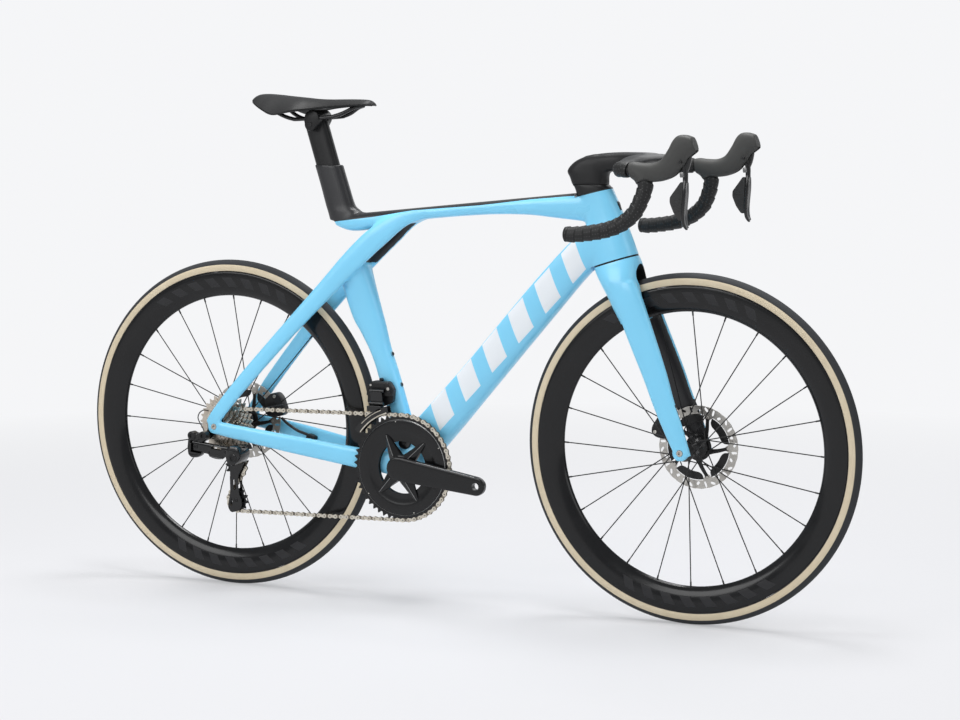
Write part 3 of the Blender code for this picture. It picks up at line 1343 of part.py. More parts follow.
def make_hood(label, sign):
    """Rubber hood over the bracket, the hinged lever and its shift paddle."""
    middle = bar_middle() + Y * sign * BAR_HALF_WIDTH
    pivot = lever_pivot(sign)
    rings = []
    for top_x, top_z, low_x, low_z, width in (
        (0.030, -0.0010, 0.035, -0.0335, 0.0300), (0.054, -0.0035, 0.054, -0.0370, 0.0330),
        (0.076, -0.0030, 0.076, -HOOD_UNDERSIDE, 0.0340), (0.093, 0.0040, 0.098, -0.0350, 0.0340),
        (0.106, 0.0220, 0.119, -0.0260, 0.0330), (0.118, 0.0380, 0.135, -0.0090, 0.0310),
        (0.134, 0.0460, 0.148, 0.0080, 0.0280), (0.149, 0.0430, 0.158, 0.0200, 0.0220),
    ):
        top = middle + Vector((top_x, 0, top_z))
        low = middle + Vector((low_x, 0, low_z))
        rings.append(oval((top + low) / 2, (top - low).normalized(), Y, (top - low).length, width, 10, 2.6))
    hood = loft("brake_hood_" + label, rings)
    bore = bar_bore("hood_bore_" + label, hook_line(sign))
    slot = block(
        "lever_slot_" + label, pivot + Vector((0.0035, 0, -0.0180)), (0.054, 2 * LEVER_SLOT_HALF, 0.052),
    )
    finish(cut(hood, bore, slot), RUBBER, 0.7, 0.0, crown)
    ear_half = LEVER_SLOT_HALF - GAP
    ear = rod("brake_lever_" + label, pivot - Y * ear_half, pivot + Y * ear_half, 0.0060, 10)
    neck = 2 * ear_half - 0.0004
    blade = tube("blade", [
        (pivot + Vector((x, 0, -LEVER_LENGTH * share)), depth, width)
        for x, share, depth, width in (
            (0.0005, 0.015, 0.008, neck), (0.0040, 0.15, 0.0095, neck), (0.0045, 0.28, 0.0090, neck),
            (0.0045, 0.36, 0.0085, 0.0130), (0.0040, 0.50, 0.0085, 0.0150), (0.0015, 0.78, 0.0080, 0.0150),
            (0.0030, 0.92, 0.0075, 0.0140), (0.0075, 1.0, 0.0050, 0.0110),
        )
    ], 8, 3.0)
    finish(united(ear, blade), CARBON, 0.3, 0.2, pivot)
    paddle = tube("shift_paddle_" + label, [
        (pivot + Vector((x, -sign * 0.0020, -LEVER_LENGTH * share)), depth, width)
        for x, share, depth, width in (
            (-0.0043, 0.30, 0.0090, 0.0040), (-0.0090, 0.43, 0.0170, 0.0045), (-0.0120, 0.57, 0.0215, 0.0045),
            (-0.0097, 0.74, 0.0150, 0.0045), (-0.0050, 0.88, 0.0070, 0.0040),
        )
    ], 8, 3.0)
    finish(paddle, CARBON, 0.35, 0.0, pivot + Vector((-0.0060, -sign * 0.0020, -LEVER_LENGTH * 0.30)))


# Saddle and post

def rail_point(along, aside=0.0, rise=0.0):
    """Point by the saddle rails, along their tilt from the clamp's centre."""
    tilted = Vector((math.cos(RAIL_TILT), 0, math.sin(RAIL_TILT)))
    return seat_point(SEATPOST_CLAMP, 0.0040) + tilted * along + Y * aside + Z * rise


def make_seatpost():
    """Aero post in horizontal sections with a cross bolt that holds the clamp."""
    slope = 1 / math.sin(SEAT_ANGLE)
    post = level_tube("seatpost", [
        (seat_point(height, POST_OFFSET), SEATPOST_DEPTH * slope * share, SEATPOST_WIDTH)
        for height, share in (
            (SEAT_MAST_HEIGHT - SEATPOST_INSERTION, 1.0), (SEATPOST_HEIGHT - 0.012, 1.0),
            (SEATPOST_HEIGHT, 0.95),
        )
    ], 10)
    bolt = seat_point(SEATPOST_BOLT, POST_OFFSET)
    bolt_bore = rod("post_bolt_bore", bolt - Y * 0.03, bolt + Y * 0.03, snug(RAIL_RADIUS, 8), 8)
    finish(cut(post, bolt_bore), CARBON, 0.4, 0.0, seat_point(SEAT_MAST_HEIGHT))
    centre = rail_point(0)
    down = bolt - centre
    outline = capsule(CLAMP_RADIUS, CLAMP_EAR_RADIUS, down.length, down)
    clamp = plate("saddle_clamp", [outline], -CLAMP_HALF_WIDTH, CLAMP_HALF_WIDTH, centre)
    inner = SEATPOST_WIDTH / 2 + GAP
    post_top = seat_point(SEATPOST_HEIGHT).z + GAP
    post_room = block(
        "clamp_post_room", Vector((centre.x, 0, post_top - 0.030)), (0.080, 2 * inner, 0.060),
    )
    grooves = [
        rod("rail_groove", rail_point(-0.03, side), rail_point(0.03, side), snug(RAIL_RADIUS, 10), 10)
        for side in (-RAIL_HALF_SPACING, RAIL_HALF_SPACING)
    ]
    clamp = cut(clamp, post_room, *grooves)
    reach = Y * (CLAMP_HALF_WIDTH - 0.002)
    bolt_bar = rod("bolt_bar", bolt - reach, bolt + reach, RAIL_RADIUS, 8)
    finish(united(clamp, bolt_bar), SATIN_BLACK, 0.3, 0.5, centre)
    make_saddle()


def make_saddle():
    """Crowned cover over a shell, on a pair of rails bent from one bar at the nose."""
    tail = rail_point(0).x - 0.1313
    top = rail_point(0).z + SADDLE_HEIGHT
    stations = (
        (0.000, 0.0060, 0.44, 0.0080, 0.0050), (0.050, 0.0095, 0.78, 0.0170, 0.0070),
        (0.150, 0.0085, 0.95, 0.0290, 0.0085), (0.260, 0.0060, 1.00, 0.0370, 0.0085),
        (0.400, 0.0025, 0.86, 0.0265, 0.0085), (0.500, 0.0000, 0.64, 0.0210, 0.0080),
        (0.620, -0.0012, 0.46, 0.0160, 0.0070), (0.800, -0.0015, 0.35, 0.0125, 0.0058),
        (0.950, -0.0030, 0.26, 0.0100, 0.0050), (1.000, -0.0090, 0.14, 0.0060, 0.0030),
    )

    def arch(station, across, depth):
        t, rise, share, fall, thickness = station
        drop = fall * abs(across) ** 2.6 + 0.0015 * (1 - across * across) + thickness * depth
        return Vector((tail + SADDLE_LENGTH * t, SADDLE_WIDTH / 2 * share * across, top + rise - drop))

    upper = [-1 + k / 4 for k in range(9)]
    under = [0.84 - k * 0.28 for k in range(7)]
    cover = loft("saddle_cover", [
        [arch(st, u, 0.0) for u in upper] + [arch(st, u, 1.0) for u in under] for st in stations
    ], True)
    finish(cover, SATIN_BLACK, 0.6)
    shell = loft("saddle_shell", [
        [arch(st, u, 1.0) - Z * GAP for u in under]
        + [arch(st, u * 0.9, 1.0) - Z * 0.0028 for u in reversed(under)]
        for st in stations[1:-1]
    ], True)
    finish(shell, CARBON, 0.4)
    half = (
        (-0.096, 0.0330, 0.0334), (-0.087, 0.0322, 0.0245), (-0.075, 0.0300, 0.0145), (-0.059, 0.0262, 0.0060),
        (-0.046, 0.0235, 0.0015), (-0.034, RAIL_HALF_SPACING, 0.0), (0.036, RAIL_HALF_SPACING, 0.0),
        (0.050, 0.0210, 0.0015), (0.066, 0.0175, 0.0060), (0.086, 0.0105, 0.0150), (0.100, 0.0050, 0.0178),
    )
    route = [rail_point(along, aside, rise) for along, aside, rise in half]
    route += [rail_point(along, -aside, rise) for along, aside, rise in reversed(half)]
    finish(pipe("saddle_rails", route, RAIL_RADIUS, 1), CARBON, 0.3)


# Hoses and wires

def make_lines():
    """Brake hose from the rear caliper to the stay, and the rear mech's wire."""
    hose = [
        rear_axle + Vector((x, y, z))
        for x, y, z in (
            (0.0850, 0.0470, 0.0080), (0.0970, 0.0490, -0.0030), (0.1190, 0.0500, -0.0160),
            (0.1460, 0.0500, -0.0250), (0.1620, 0.0480, -0.0330),
        )
    ]
    finish(pipe("rear_brake_hose", smooth_route(hose, 0.012), 0.0025, 2), SATIN_BLACK, 0.5)
    wire = [
        rear_axle + Vector((x, y, z))
        for x, y, z in (
            (-0.0150, -0.0765, 0.0310), (-0.0250, -0.0780, 0.0325), (-0.0350, -0.0780, 0.0270),
            (-0.0395, -0.0780, 0.0165), (-0.0350, -0.0785, 0.0060), (-0.0285, -0.0795, -0.0025),
            (-0.0235, -0.0810, -0.0107),
        )
    ]
    finish(pipe("shift_wire", smooth_route(wire, 0.009), 0.0011, 1), SATIN_BLACK, 0.5)


make_wheels()
make_brakes()
make_cassette()
make_rings()
make_cranks()
make_chain()
make_rear_mech()
make_front_mech()
make_frame()
make_fork()
make_axles()
make_cockpit()
make_seatpost()
make_lines()
print("nodes", len(bike.objects), "triangles", sum(
    sum(len(p.vertices) - 2 for p in o.data.polygons) for o in bike.objects
))
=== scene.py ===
import json
import math

import bpy
import numpy as np
from mathutils import Matrix


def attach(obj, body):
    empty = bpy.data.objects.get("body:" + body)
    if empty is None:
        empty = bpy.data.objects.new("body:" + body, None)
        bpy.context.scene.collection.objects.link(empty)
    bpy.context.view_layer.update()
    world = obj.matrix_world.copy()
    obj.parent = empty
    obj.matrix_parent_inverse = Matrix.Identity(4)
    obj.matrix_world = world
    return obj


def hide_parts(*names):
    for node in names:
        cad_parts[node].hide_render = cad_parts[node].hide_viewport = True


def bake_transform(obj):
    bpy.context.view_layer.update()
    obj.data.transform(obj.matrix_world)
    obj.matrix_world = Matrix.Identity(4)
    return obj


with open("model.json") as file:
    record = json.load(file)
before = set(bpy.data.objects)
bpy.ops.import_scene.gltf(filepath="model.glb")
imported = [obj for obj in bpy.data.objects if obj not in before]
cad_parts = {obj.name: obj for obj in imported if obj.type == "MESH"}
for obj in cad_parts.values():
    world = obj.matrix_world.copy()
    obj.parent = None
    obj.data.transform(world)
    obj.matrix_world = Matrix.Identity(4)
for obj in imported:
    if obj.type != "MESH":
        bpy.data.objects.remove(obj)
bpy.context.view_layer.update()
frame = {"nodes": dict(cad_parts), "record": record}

bike = {
    "tyreRadius": 0.336, "wheelbase": 1.006, "chainstayLength": 0.418, "bracketDrop": 0.064,
    "seatAngle": 72.8, "headAngle": 73.25, "forkRake": 0.045, "forkLength": 0.3835, "headTube": 0.138,
}


# Places that every piece is measured from

def along(degrees):  # unit vector in the side view at an angle above +X
    return np.array([math.cos(math.radians(degrees)), 0.0, math.sin(math.radians(degrees))])


clearance = 0.0003  # between pieces that meet
sideways = np.array([0.0, 1.0, 0.0])
upward = np.array([0.0, 0.0, 1.0])
forward = np.array([1.0, 0.0, 0.0])
rearAxle = np.array([-bike["wheelbase"] / 2, 0.0, bike["tyreRadius"]])
frontAxle = np.array([bike["wheelbase"] / 2, 0.0, bike["tyreRadius"]])
bracket = rearAxle + [math.sqrt(bike["chainstayLength"] ** 2 - bike["bracketDrop"] ** 2), 0, -bike["bracketDrop"]]
seatDir = along(180 - bike["seatAngle"])
seatNormal = along(90 - bike["seatAngle"])
steerDir = along(180 - bike["headAngle"])
steerNormal = along(90 - bike["headAngle"])
crown = frontAxle - steerNormal * bike["forkRake"] + steerDir * bike["forkLength"]
headTop = crown + steerDir * bike["headTube"]


# Arithmetic on arrays of points

def unit(v):  # each vector over its own length
    return v / np.maximum(np.linalg.norm(v, axis=-1, keepdims=True), 1e-12)


def flow(rows, count, closed=False):
    # Catmull-Rom: half of 2b + (c - a)t + (2a - 5b + 4c - d)t^2 + (3b - a - 3c + d)t^3 between rows b and c
    rows = np.asarray(rows, float)
    last = len(rows) if closed else len(rows) - 1
    t = np.linspace(0, last, count, endpoint=not closed)
    i = np.minimum(t.astype(int), last - 1)
    t = (t - i)[:, None]
    spots = [(i + k) % len(rows) if closed else np.clip(i + k, 0, len(rows) - 1) for k in (-1, 0, 1, 2)]
    a, b, c, d = (rows[s] for s in spots)
    return 0.5 * (2 * b + (c - a) * t + (2 * a - 5 * b + 4 * c - d) * t ** 2 + (3 * b - a - 3 * c + d) * t ** 3)


def evenly(points, count):  # the same line read at equal distances along it
    points = np.asarray(points, float)
    walked = np.concatenate([[0], np.cumsum(np.linalg.norm(np.diff(points, axis=0), axis=1))])
    marks = np.linspace(0, walked[-1], count)
    return np.stack([np.interp(marks, walked, points[:, k]) for k in range(points.shape[1])], 1)


def polar(radius, angle):  # pairs of radius times the cosine and the sine of an angle
    return np.stack([radius * np.cos(angle), radius * np.sin(angle)], -1)


def squared(angle, power):  # cosine and sine with their sizes raised to 2/power, signs kept
    return (np.sign(k) * np.abs(k) ** (2 / power) for k in (np.cos(angle), np.sin(angle)))


def ovals(centres, across, aside, depth, width, power=2.4, sides=36, tail=1.0):
    # super-ellipses: across |cos|^(2/p) depth/2 and aside |sin|^(2/p) width/2, the tail end held back
    u, v = squared(2 * np.pi * (np.arange(sides) + 0.5) / sides, power)
    depth, width, tail = (np.broadcast_to(np.asarray(k, float), len(centres))[:, None] for k in (depth, width, tail))
    reach = np.maximum(u * depth / 2, -tail * depth / 2)
    return (
        np.asarray(centres)[:, None, :] + np.asarray(across).reshape(-1, 1, 3) * reach[..., None]
        + np.asarray(aside).reshape(-1, 1, 3) * (v * width / 2)[..., None]
    )


def frames(path):  # unit tangent, the sideways direction made square to it, and their cross product
    path = np.asarray(path, float)
    tangent = unit(np.gradient(path, axis=0))
    lateral = unit(sideways - tangent * (tangent @ sideways)[:, None])
    return tangent, lateral, np.cross(lateral, tangent)


# Shells: points, faces in groups of one width, and a pair of surface coordinates for every corner

def gridShell(rings, closed=False):
    # point (i, j) is ring i, place j; each four neighbours make one face, and flat caps close the ends of an open run
    rings = np.asarray(rings, float)
    n, m = rings.shape[:2]
    i, j = np.meshgrid(np.arange(n if closed else n - 1), np.arange(m), indexing="ij")
    i, j = i.ravel(), j.ravel()
    k, l = (i + 1) % n, (j + 1) % m
    faces = [np.stack([i * m + j, i * m + l, k * m + l, k * m + j], 1)]
    marks = [np.stack(
        [np.stack([x * (1 / m), y * (1 / n)], 1) for x, y in ((j, i), (j + 1, i), (j + 1, i + 1), (j, i + 1))], 1,
    )]
    if not closed:
        faces += [np.arange(m)[None, ::-1], (n - 1) * m + np.arange(m)[None, :]]
        marks += [np.zeros((1, m, 2)), np.zeros((1, m, 2))]
    return rings.reshape(-1, 3), faces, marks


def outward(shell):  # faces turned over where the signed volume comes out negative
    points, faces, marks = shell
    volume = 0.0
    for group in faces:
        a = points[group[:, 0]]
        for k in range(1, group.shape[1] - 1):
            volume += np.einsum("ij,ij->i", a, np.cross(points[group[:, k]], points[group[:, k + 1]])).sum()
    if volume < 0:
        faces = [group[:, ::-1] for group in faces]
        marks = [mark[:, ::-1] for mark in marks]
    return points, faces, marks


def together(shells):  # one shell out of several, each facing out by itself
    points, faces, marks, start = [], [], [], 0
    for shell in shells:
        p, f, m = outward(shell)
        points.append(p)
        faces += [group + start for group in f]
        marks += m
        start += len(p)
    return np.concatenate(points), faces, marks


def turnedShell(profile, centre, axis=sideways, steps=64, closed=False, wave=None):
    # profile of (radius, height) carried round an axis; wave(angle, radius, height) may change each radius
    profile = np.asarray(profile, float)
    first = unit(np.cross(axis, forward if abs(axis[0]) < 0.9 else upward))
    second = np.cross(axis, first)
    a = 2 * np.pi * np.arange(steps) / steps
    radius = np.broadcast_to(profile[:, 0][:, None], (len(profile), steps))
    if wave is not None:
        radius = wave(a[None, :], profile[:, 0][:, None], profile[:, 1][:, None]) * np.ones_like(radius)
    spokes = np.cos(a)[:, None] * first + np.sin(a)[:, None] * second
    rings = centre + radius[..., None] * spokes + (profile[:, 1][:, None] * axis)[:, None, :]
    return gridShell(rings, closed)


def sweptShell(path, radius, sides=12):  # a round section carried along a path
    path = np.asarray(path, float)
    _, lateral, across = frames(path)
    return gridShell(ovals(path, across, lateral, 2 * radius, 2 * radius, 2.0, sides))


def rodShell(start, end, radius, sides=20, chamfer=0.15):  # a bar with broken edges between two points
    start, end = np.asarray(start, float), np.asarray(end, float)
    length = np.linalg.norm(end - start)
    c = min(chamfer * radius, length / 4)
    profile = [(radius - c, 0), (radius, c), (radius, length - c), (radius - c, length)]
    return turnedShell(profile, start, (end - start) / length, sides)


def crossRod(centre, low, high, radius, sides=20, chamfer=0.15):  # a bar along Y between two offsets from a centre
    return rodShell(centre + sideways * low, centre + sideways * high, radius, sides, chamfer)


def blockShell(centre, size, turn=0.0, soft=0.2, axis="Y", power=6.0):
    # a cushion-edged box: super-ellipse sections that draw in at both ends, turned about an axis
    share = np.array([-1, -0.98, -0.9, -0.6, 0, 0.6, 0.9, 0.98, 1.0])
    draw = 1 - soft * np.array([1, 0.55, 0.12, 0, 0, 0, 0.12, 0.55, 1.0])
    local = ovals(share[:, None] * sideways * size[1] / 2, forward, upward, size[0] * draw, size[2] * draw, power, 32)
    spin = np.array(Matrix.Rotation(turn, 3, axis))
    return gridShell(local @ spin.T + np.asarray(centre))


def meshShell(mesh):  # points and faces read back from a Blender mesh, grouped by corner count
    points = np.zeros(len(mesh.vertices) * 3)
    mesh.vertices.foreach_get("co", points)
    corners = np.zeros(len(mesh.loops), int)
    mesh.loops.foreach_get("vertex_index", corners)
    starts, totals = np.zeros(len(mesh.polygons), int), np.zeros(len(mesh.polygons), int)
    mesh.polygons.foreach_get("loop_start", starts)
    mesh.polygons.foreach_get("loop_total", totals)
    faces = [corners[starts[totals == k][:, None] + np.arange(k)] for k in np.unique(totals)]
    return points.reshape(-1, 3), faces, [np.zeros((*group.shape, 2)) for group in faces]


def plateShell(outlines, low, high, centre, bevel=0.0004):
    # flat outlines of (x, z) pairs, the later ones holes, extruded along Y with a rounded edge
    curve = bpy.data.curves.new("outline", "CURVE")
    curve.dimensions = "2D"
    curve.fill_mode = "BOTH"
    curve.extrude = (high - low) / 2 - bevel
    curve.bevel_depth = bevel
    curve.bevel_resolution = 1
    curve.offset = -bevel
    for outline in outlines:
        spline = curve.splines.new("POLY")
        spline.points.add(len(outline) - 1)
        flat = np.concatenate(
            [np.asarray(outline, float), np.zeros((len(outline), 1)), np.ones((len(outline), 1))], 1,
        )
        spline.points.foreach_set("co", flat.ravel())
        spline.use_cyclic_u = True
    obj = bpy.data.objects.new("outline", curve)
    bpy.context.scene.collection.objects.link(obj)
    bpy.context.view_layer.update()
    mesh = bpy.data.meshes.new_from_object(obj.evaluated_get(bpy.context.evaluated_depsgraph_get()))
    points, faces, marks = meshShell(mesh)
    bpy.data.objects.remove(obj)
    bpy.data.curves.remove(curve)
    bpy.data.meshes.remove(mesh)
    points = np.stack([points[:, 0], -points[:, 2], points[:, 1]], 1)
    return points + np.asarray(centre) + sideways * (low + high) / 2, faces, marks


def ringPoints(radius, count, centre=(0.0, 0.0)):  # a circle as (x, z) pairs
    return centre + polar(radius, 2 * np.pi * np.arange(count) / count)


def rounded(corners, radius, steps=5):
    # each corner of an outline replaced by a quadratic curve that starts a radius before it
    corners = np.asarray(corners, float)
    before, after = np.roll(corners, 1, 0), np.roll(corners, -1, 0)
    cut = np.minimum(radius, 0.45 * np.minimum(
        np.linalg.norm(before - corners, axis=1), np.linalg.norm(after - corners, axis=1),
    ))[:, None]
    a = corners + unit(before - corners) * cut
    b = corners + unit(after - corners) * cut
    t = np.linspace(0, 1, steps)[None, :, None]
    return ((1 - t) ** 2 * a[:, None] + 2 * t * (1 - t) * corners[:, None] + t ** 2 * b[:, None]).reshape(-1, 2)


def meshOf(name, shell, surfaceMap=True):  # arrays straight into a mesh
    points, faces, marks = shell
    totals = np.concatenate([np.full(len(group), group.shape[1]) for group in faces])
    corners = np.concatenate([group.ravel() for group in faces])
    mesh = bpy.data.meshes.new(name)
    mesh.vertices.add(len(points))
    mesh.vertices.foreach_set("co", np.ascontiguousarray(points, np.float32).ravel())
    mesh.loops.add(len(corners))
    mesh.loops.foreach_set("vertex_index", corners.astype(np.int32))
    mesh.polygons.add(len(totals))
    mesh.polygons.foreach_set("loop_start", np.concatenate([[0], np.cumsum(totals)[:-1]]).astype(np.int32))
    mesh.update(calc_edges=True)
    if surfaceMap:
        layer = mesh.uv_layers.new(name="surface")
        layer.data.foreach_set(
            "uv", np.concatenate([mark.reshape(-1, 2) for mark in marks]).astype(np.float32).ravel(),
        )
    return mesh


carriers = {node: body for body, nodes in frame["record"]["behaviour"]["bodies"].items() for node in nodes}


def addPiece(name, shells, finish, node, stands=True, sharp=40, values=None, bends=None):
    # one finished piece on the body and slot of a solid, which it replaces where it stands for it
    # values(shell) gives numbers per point, and bends is (bodies, ends) of a piece that two bodies share
    shell = together(shells if isinstance(shells, list) else [shells])
    mesh = meshOf(name, shell)
    for key, numbers in (values(shell) if values else {}).items():
        mesh.attributes.new(key, "FLOAT", "POINT").data.foreach_set("value", np.asarray(numbers, np.float32))
    obj = bpy.data.objects.new(name, mesh)
    bpy.context.scene.collection.objects.link(obj)
    mesh.materials.append(finish)
    mesh.shade_smooth()
    mesh.set_sharp_from_angle(angle=math.radians(sharp))
    if bends and len(bends[0]) == 2:
        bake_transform(obj)
    else:
        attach(obj, bends[0][0] if bends else carriers[node])
    if stands:
        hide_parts(node)
    return obj


def keepSolid(node, finish):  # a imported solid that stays, with a finish of its own
    obj = frame["nodes"][node]
    obj.data.materials.clear()
    obj.data.materials.append(finish)


def manyShells(rings):  # the same rings at many places, each set a closed shell
    count, n, m = rings.shape[:3]
    _, faces, marks = gridShell(rings[0])
    start = (np.arange(count) * n * m)[:, None, None]
    faces = [(group[None] + start).reshape(-1, group.shape[1]) for group in faces]
    return rings.reshape(-1, 3), faces, [np.tile(mark, (count, 1, 1)) for mark in marks]


def barShells(starts, ends, flat, sizes, sides=8, power=2.0):
    # straight bars between pairs of points; sizes rows are share along, width along flat, thickness across it
    starts, ends, flat = (np.asarray(v, float) for v in (starts, ends, flat))
    tangent = unit(ends - starts)
    wide = unit(flat - tangent * np.sum(tangent * flat, 1, keepdims=True))
    thin = np.cross(tangent, wide)
    share, width, depth = np.asarray(sizes, float).T
    u, v = squared(2 * np.pi * (np.arange(sides) + 0.5) / sides, power)
    centre = starts[:, None, :] + (ends - starts)[:, None, :] * share[None, :, None]
    return manyShells(
        centre[:, :, None, :] + wide[:, None, None, :] * (u[None, :] * width[:, None] / 2)[None, :, :, None]
        + thin[:, None, None, :] * (v[None, :] * depth[:, None] / 2)[None, :, :, None],
    )


def cutShell(shell, cutters):  # the shell less the closed cutters, by an exact Boolean
    objects = []
    for name, part in (("body", outward(shell)), ("cutter", together(cutters))):
        objects.append(bpy.data.objects.new(name, meshOf(name, part, False)))
        bpy.context.scene.collection.objects.link(objects[-1])
    body, cutter = objects
    modifier = body.modifiers.new("cut", "BOOLEAN")
    modifier.operation = "DIFFERENCE"
    modifier.solver = "EXACT"
    modifier.use_self = True
    modifier.object = cutter
    bpy.context.view_layer.update()
    mesh = bpy.data.meshes.new_from_object(body.evaluated_get(bpy.context.evaluated_depsgraph_get()))
    result = meshShell(mesh)
    for obj in objects:
        old = obj.data
        bpy.data.objects.remove(obj)
        bpy.data.meshes.remove(old)
    bpy.data.meshes.remove(mesh)
    return result


def tubeShell(rows, count=40, power=2.6, sides=40, tail=1.0, across=None):
    # rows of (place, depth, width) flowed smooth and skinned with ovals square to the path or to fixed directions
    rows = flow([[*place, depth, width] for place, depth, width in rows], count)
    centres = rows[:, :3]
    if across is None:
        _, lateral, side = frames(centres)
    else:
        lateral, side = sideways, across
    return gridShell(ovals(centres, side, lateral, rows[:, 3], rows[:, 4], power, sides, tail))


def mirrored(rows):  # the same stations on the other side
    return [(np.array([place[0], -place[1], place[2]]), depth, width) for place, depth, width in rows]


# Soft unions: closed shells melted into one skin on a voxel grid

def neighbourMean(points, edges):  # mean of the points that share an edge with each point
    a, b = edges[:, 0], edges[:, 1]
    count = np.bincount(a, minlength=len(points)) + np.bincount(b, minlength=len(points))
    total = np.stack([
        np.bincount(a, points[b, k], len(points)) + np.bincount(b, points[a, k], len(points)) for k in range(3)
    ], 1)
    return total / np.maximum(count, 1)[:, None]


def pointNormals(points, faces):  # faces' area vectors summed at their corners
    total = np.zeros_like(points)
    for group in faces:
        a, b = points[group[:, 2]] - points[group[:, 0]], points[group[:, -1]] - points[group[:, 1]]
        area = np.cross(a, b)
        for k in range(group.shape[1]):
            total += np.stack([np.bincount(group[:, k], area[:, axis], len(points)) for axis in range(3)], 1)
    return unit(total)


def meltedShell(shells, voxel, fillet, calm=8):
    # voxel union, then low-pass steps of +0.5 and -0.53 of the way to the neighbours' mean, and hollows filled
    # by moving points out along their normal wherever that mean lies outside them
    mesh = meshOf("union", together(shells), False)
    obj = bpy.data.objects.new("union", mesh)
    bpy.context.scene.collection.objects.link(obj)
    modifier = obj.modifiers.new("union", "REMESH")
    modifier.mode = "VOXEL"
    modifier.voxel_size = voxel
    modifier.adaptivity = 0.0
    bpy.context.view_layer.update()
    skin = bpy.data.meshes.new_from_object(obj.evaluated_get(bpy.context.evaluated_depsgraph_get()))
    points, faces, marks = meshShell(skin)
    edges = np.zeros(len(skin.edges) * 2, int)
    skin.edges.foreach_get("vertices", edges)
    edges = edges.reshape(-1, 2)
    bpy.data.objects.remove(obj)
    bpy.data.meshes.remove(skin)

    def settle(points, turns):
        for _ in range(turns):
            points = points + 0.5 * (neighbourMean(points, edges) - points)
            points = points - 0.53 * (neighbourMean(points, edges) - points)
        return points

    points = settle(points, calm)
    for turn in range(fillet):
        if turn % 4 == 0:
            normal = pointNormals(points, faces)
        pull = neighbourMean(points, edges) - points
        outwardPull = np.maximum(np.einsum("ij,ij->i", pull, normal), 0)[:, None]
        points = points + 0.8 * outwardPull * normal
    return settle(points, calm), faces, marks


print("helpers ready")


# Finishes: Principled surfaces whose colour, roughness and relief come from patterns on Object coordinates

def wired(material, kind, inputs=None, **settings):  # one shader node with its inputs linked or set
    node = material.node_tree.nodes.new("ShaderNode" + kind)
    for key, value in settings.items():
        setattr(node, key, value)
    for key, value in (inputs or {}).items():
        if isinstance(value, bpy.types.NodeSocket):
            material.node_tree.links.new(value, node.inputs[key])
        else:
            node.inputs[key].default_value = value
    return node


def noise(material, scale, detail=2.0, place=None):  # a noise pattern's factor, on the object's own coordinates
    place = place or wired(material, "TexCoord").outputs["Object"]
    return wired(material, "TexNoise", {"Vector": place, "Scale": scale, "Detail": detail}).outputs[0]


def spread(material, value, low, high, start=0.3, stop=0.7):  # a value's range carried over to another range
    return wired(material, "MapRange", {1: start, 2: stop, 3: low, 4: high, 0: value}).outputs[0]


def mixed(material, factor, first, second):  # two colours by a factor
    colours = [(*c, 1.0) if isinstance(c, tuple) else c for c in (first, second)]
    return wired(material, "Mix", {0: factor, 6: colours[0], 7: colours[1]}, data_type="RGBA").outputs[2]


def sums(material, operation, *values):  # a math node's result
    return wired(material, "Math", dict(enumerate(values)), operation=operation).outputs[0]


def product(material, first, *others):  # values multiplied one after the other
    for other in others:
        first = sums(material, "MULTIPLY", first, other)
    return first


def finishOf(
    name, colour, second, rough=(0.3, 0.4), metal=0.0, grain=1500.0, patch=14.0, relief=0.15, depth=0.0001,
    coat=0.0, coatRough=0.04, specular=0.5,
):
    # fine noise mixes two near colours and lifts the surface, and a broad one varies the roughness
    material = bpy.data.materials.new(name)
    material.use_nodes = True
    shader = material.node_tree.nodes["Principled BSDF"]
    constants = {"Metallic": metal, "Coat Weight": coat, "Coat Roughness": coatRough, "Specular IOR Level": specular}
    for key, value in constants.items():
        shader.inputs[key].default_value = value
    fine = noise(material, grain, 3.0)
    broad = noise(material, patch, 3.0)
    tone = mixed(material, spread(material, sums(material, "ADD", fine, broad), 0, 1, 0.7, 1.3), colour, second)
    material.node_tree.links.new(tone, shader.inputs["Base Color"])
    material.node_tree.links.new(spread(material, broad, *rough), shader.inputs["Roughness"])
    bump = wired(material, "Bump", {"Strength": relief, "Distance": depth, "Height": fine})
    material.node_tree.links.new(bump.outputs[0], shader.inputs["Normal"])
    return material


def overlay(material, mask, colour, rough, coat=None):  # a second colour, roughness and coat laid where a mask is 1
    shader = material.node_tree.nodes["Principled BSDF"]
    for key, value in (("Base Color", colour), ("Roughness", rough), ("Coat Weight", coat)):
        if value is None:
            continue
        socket = shader.inputs[key]
        under = socket.links[0].from_socket if socket.links else socket.default_value
        if key == "Base Color":
            under = mixed(material, mask, under, value)
        else:
            under = wired(material, "Mix", {0: mask, 2: under, 3: value}, data_type="FLOAT").outputs[0]
        material.node_tree.links.new(under, socket)


def attribute(material, name):  # a number that the mesh holds for each point
    return wired(material, "Attribute", attribute_name=name).outputs["Fac"]


def within(material, value, low, high, soft=0.0002):  # 1 between two limits, with soft edges
    above = spread(material, value, 0, 1, low - soft, low + soft)
    below = spread(material, value, 1, 0, high - soft, high + soft)
    return product(material, above, below)


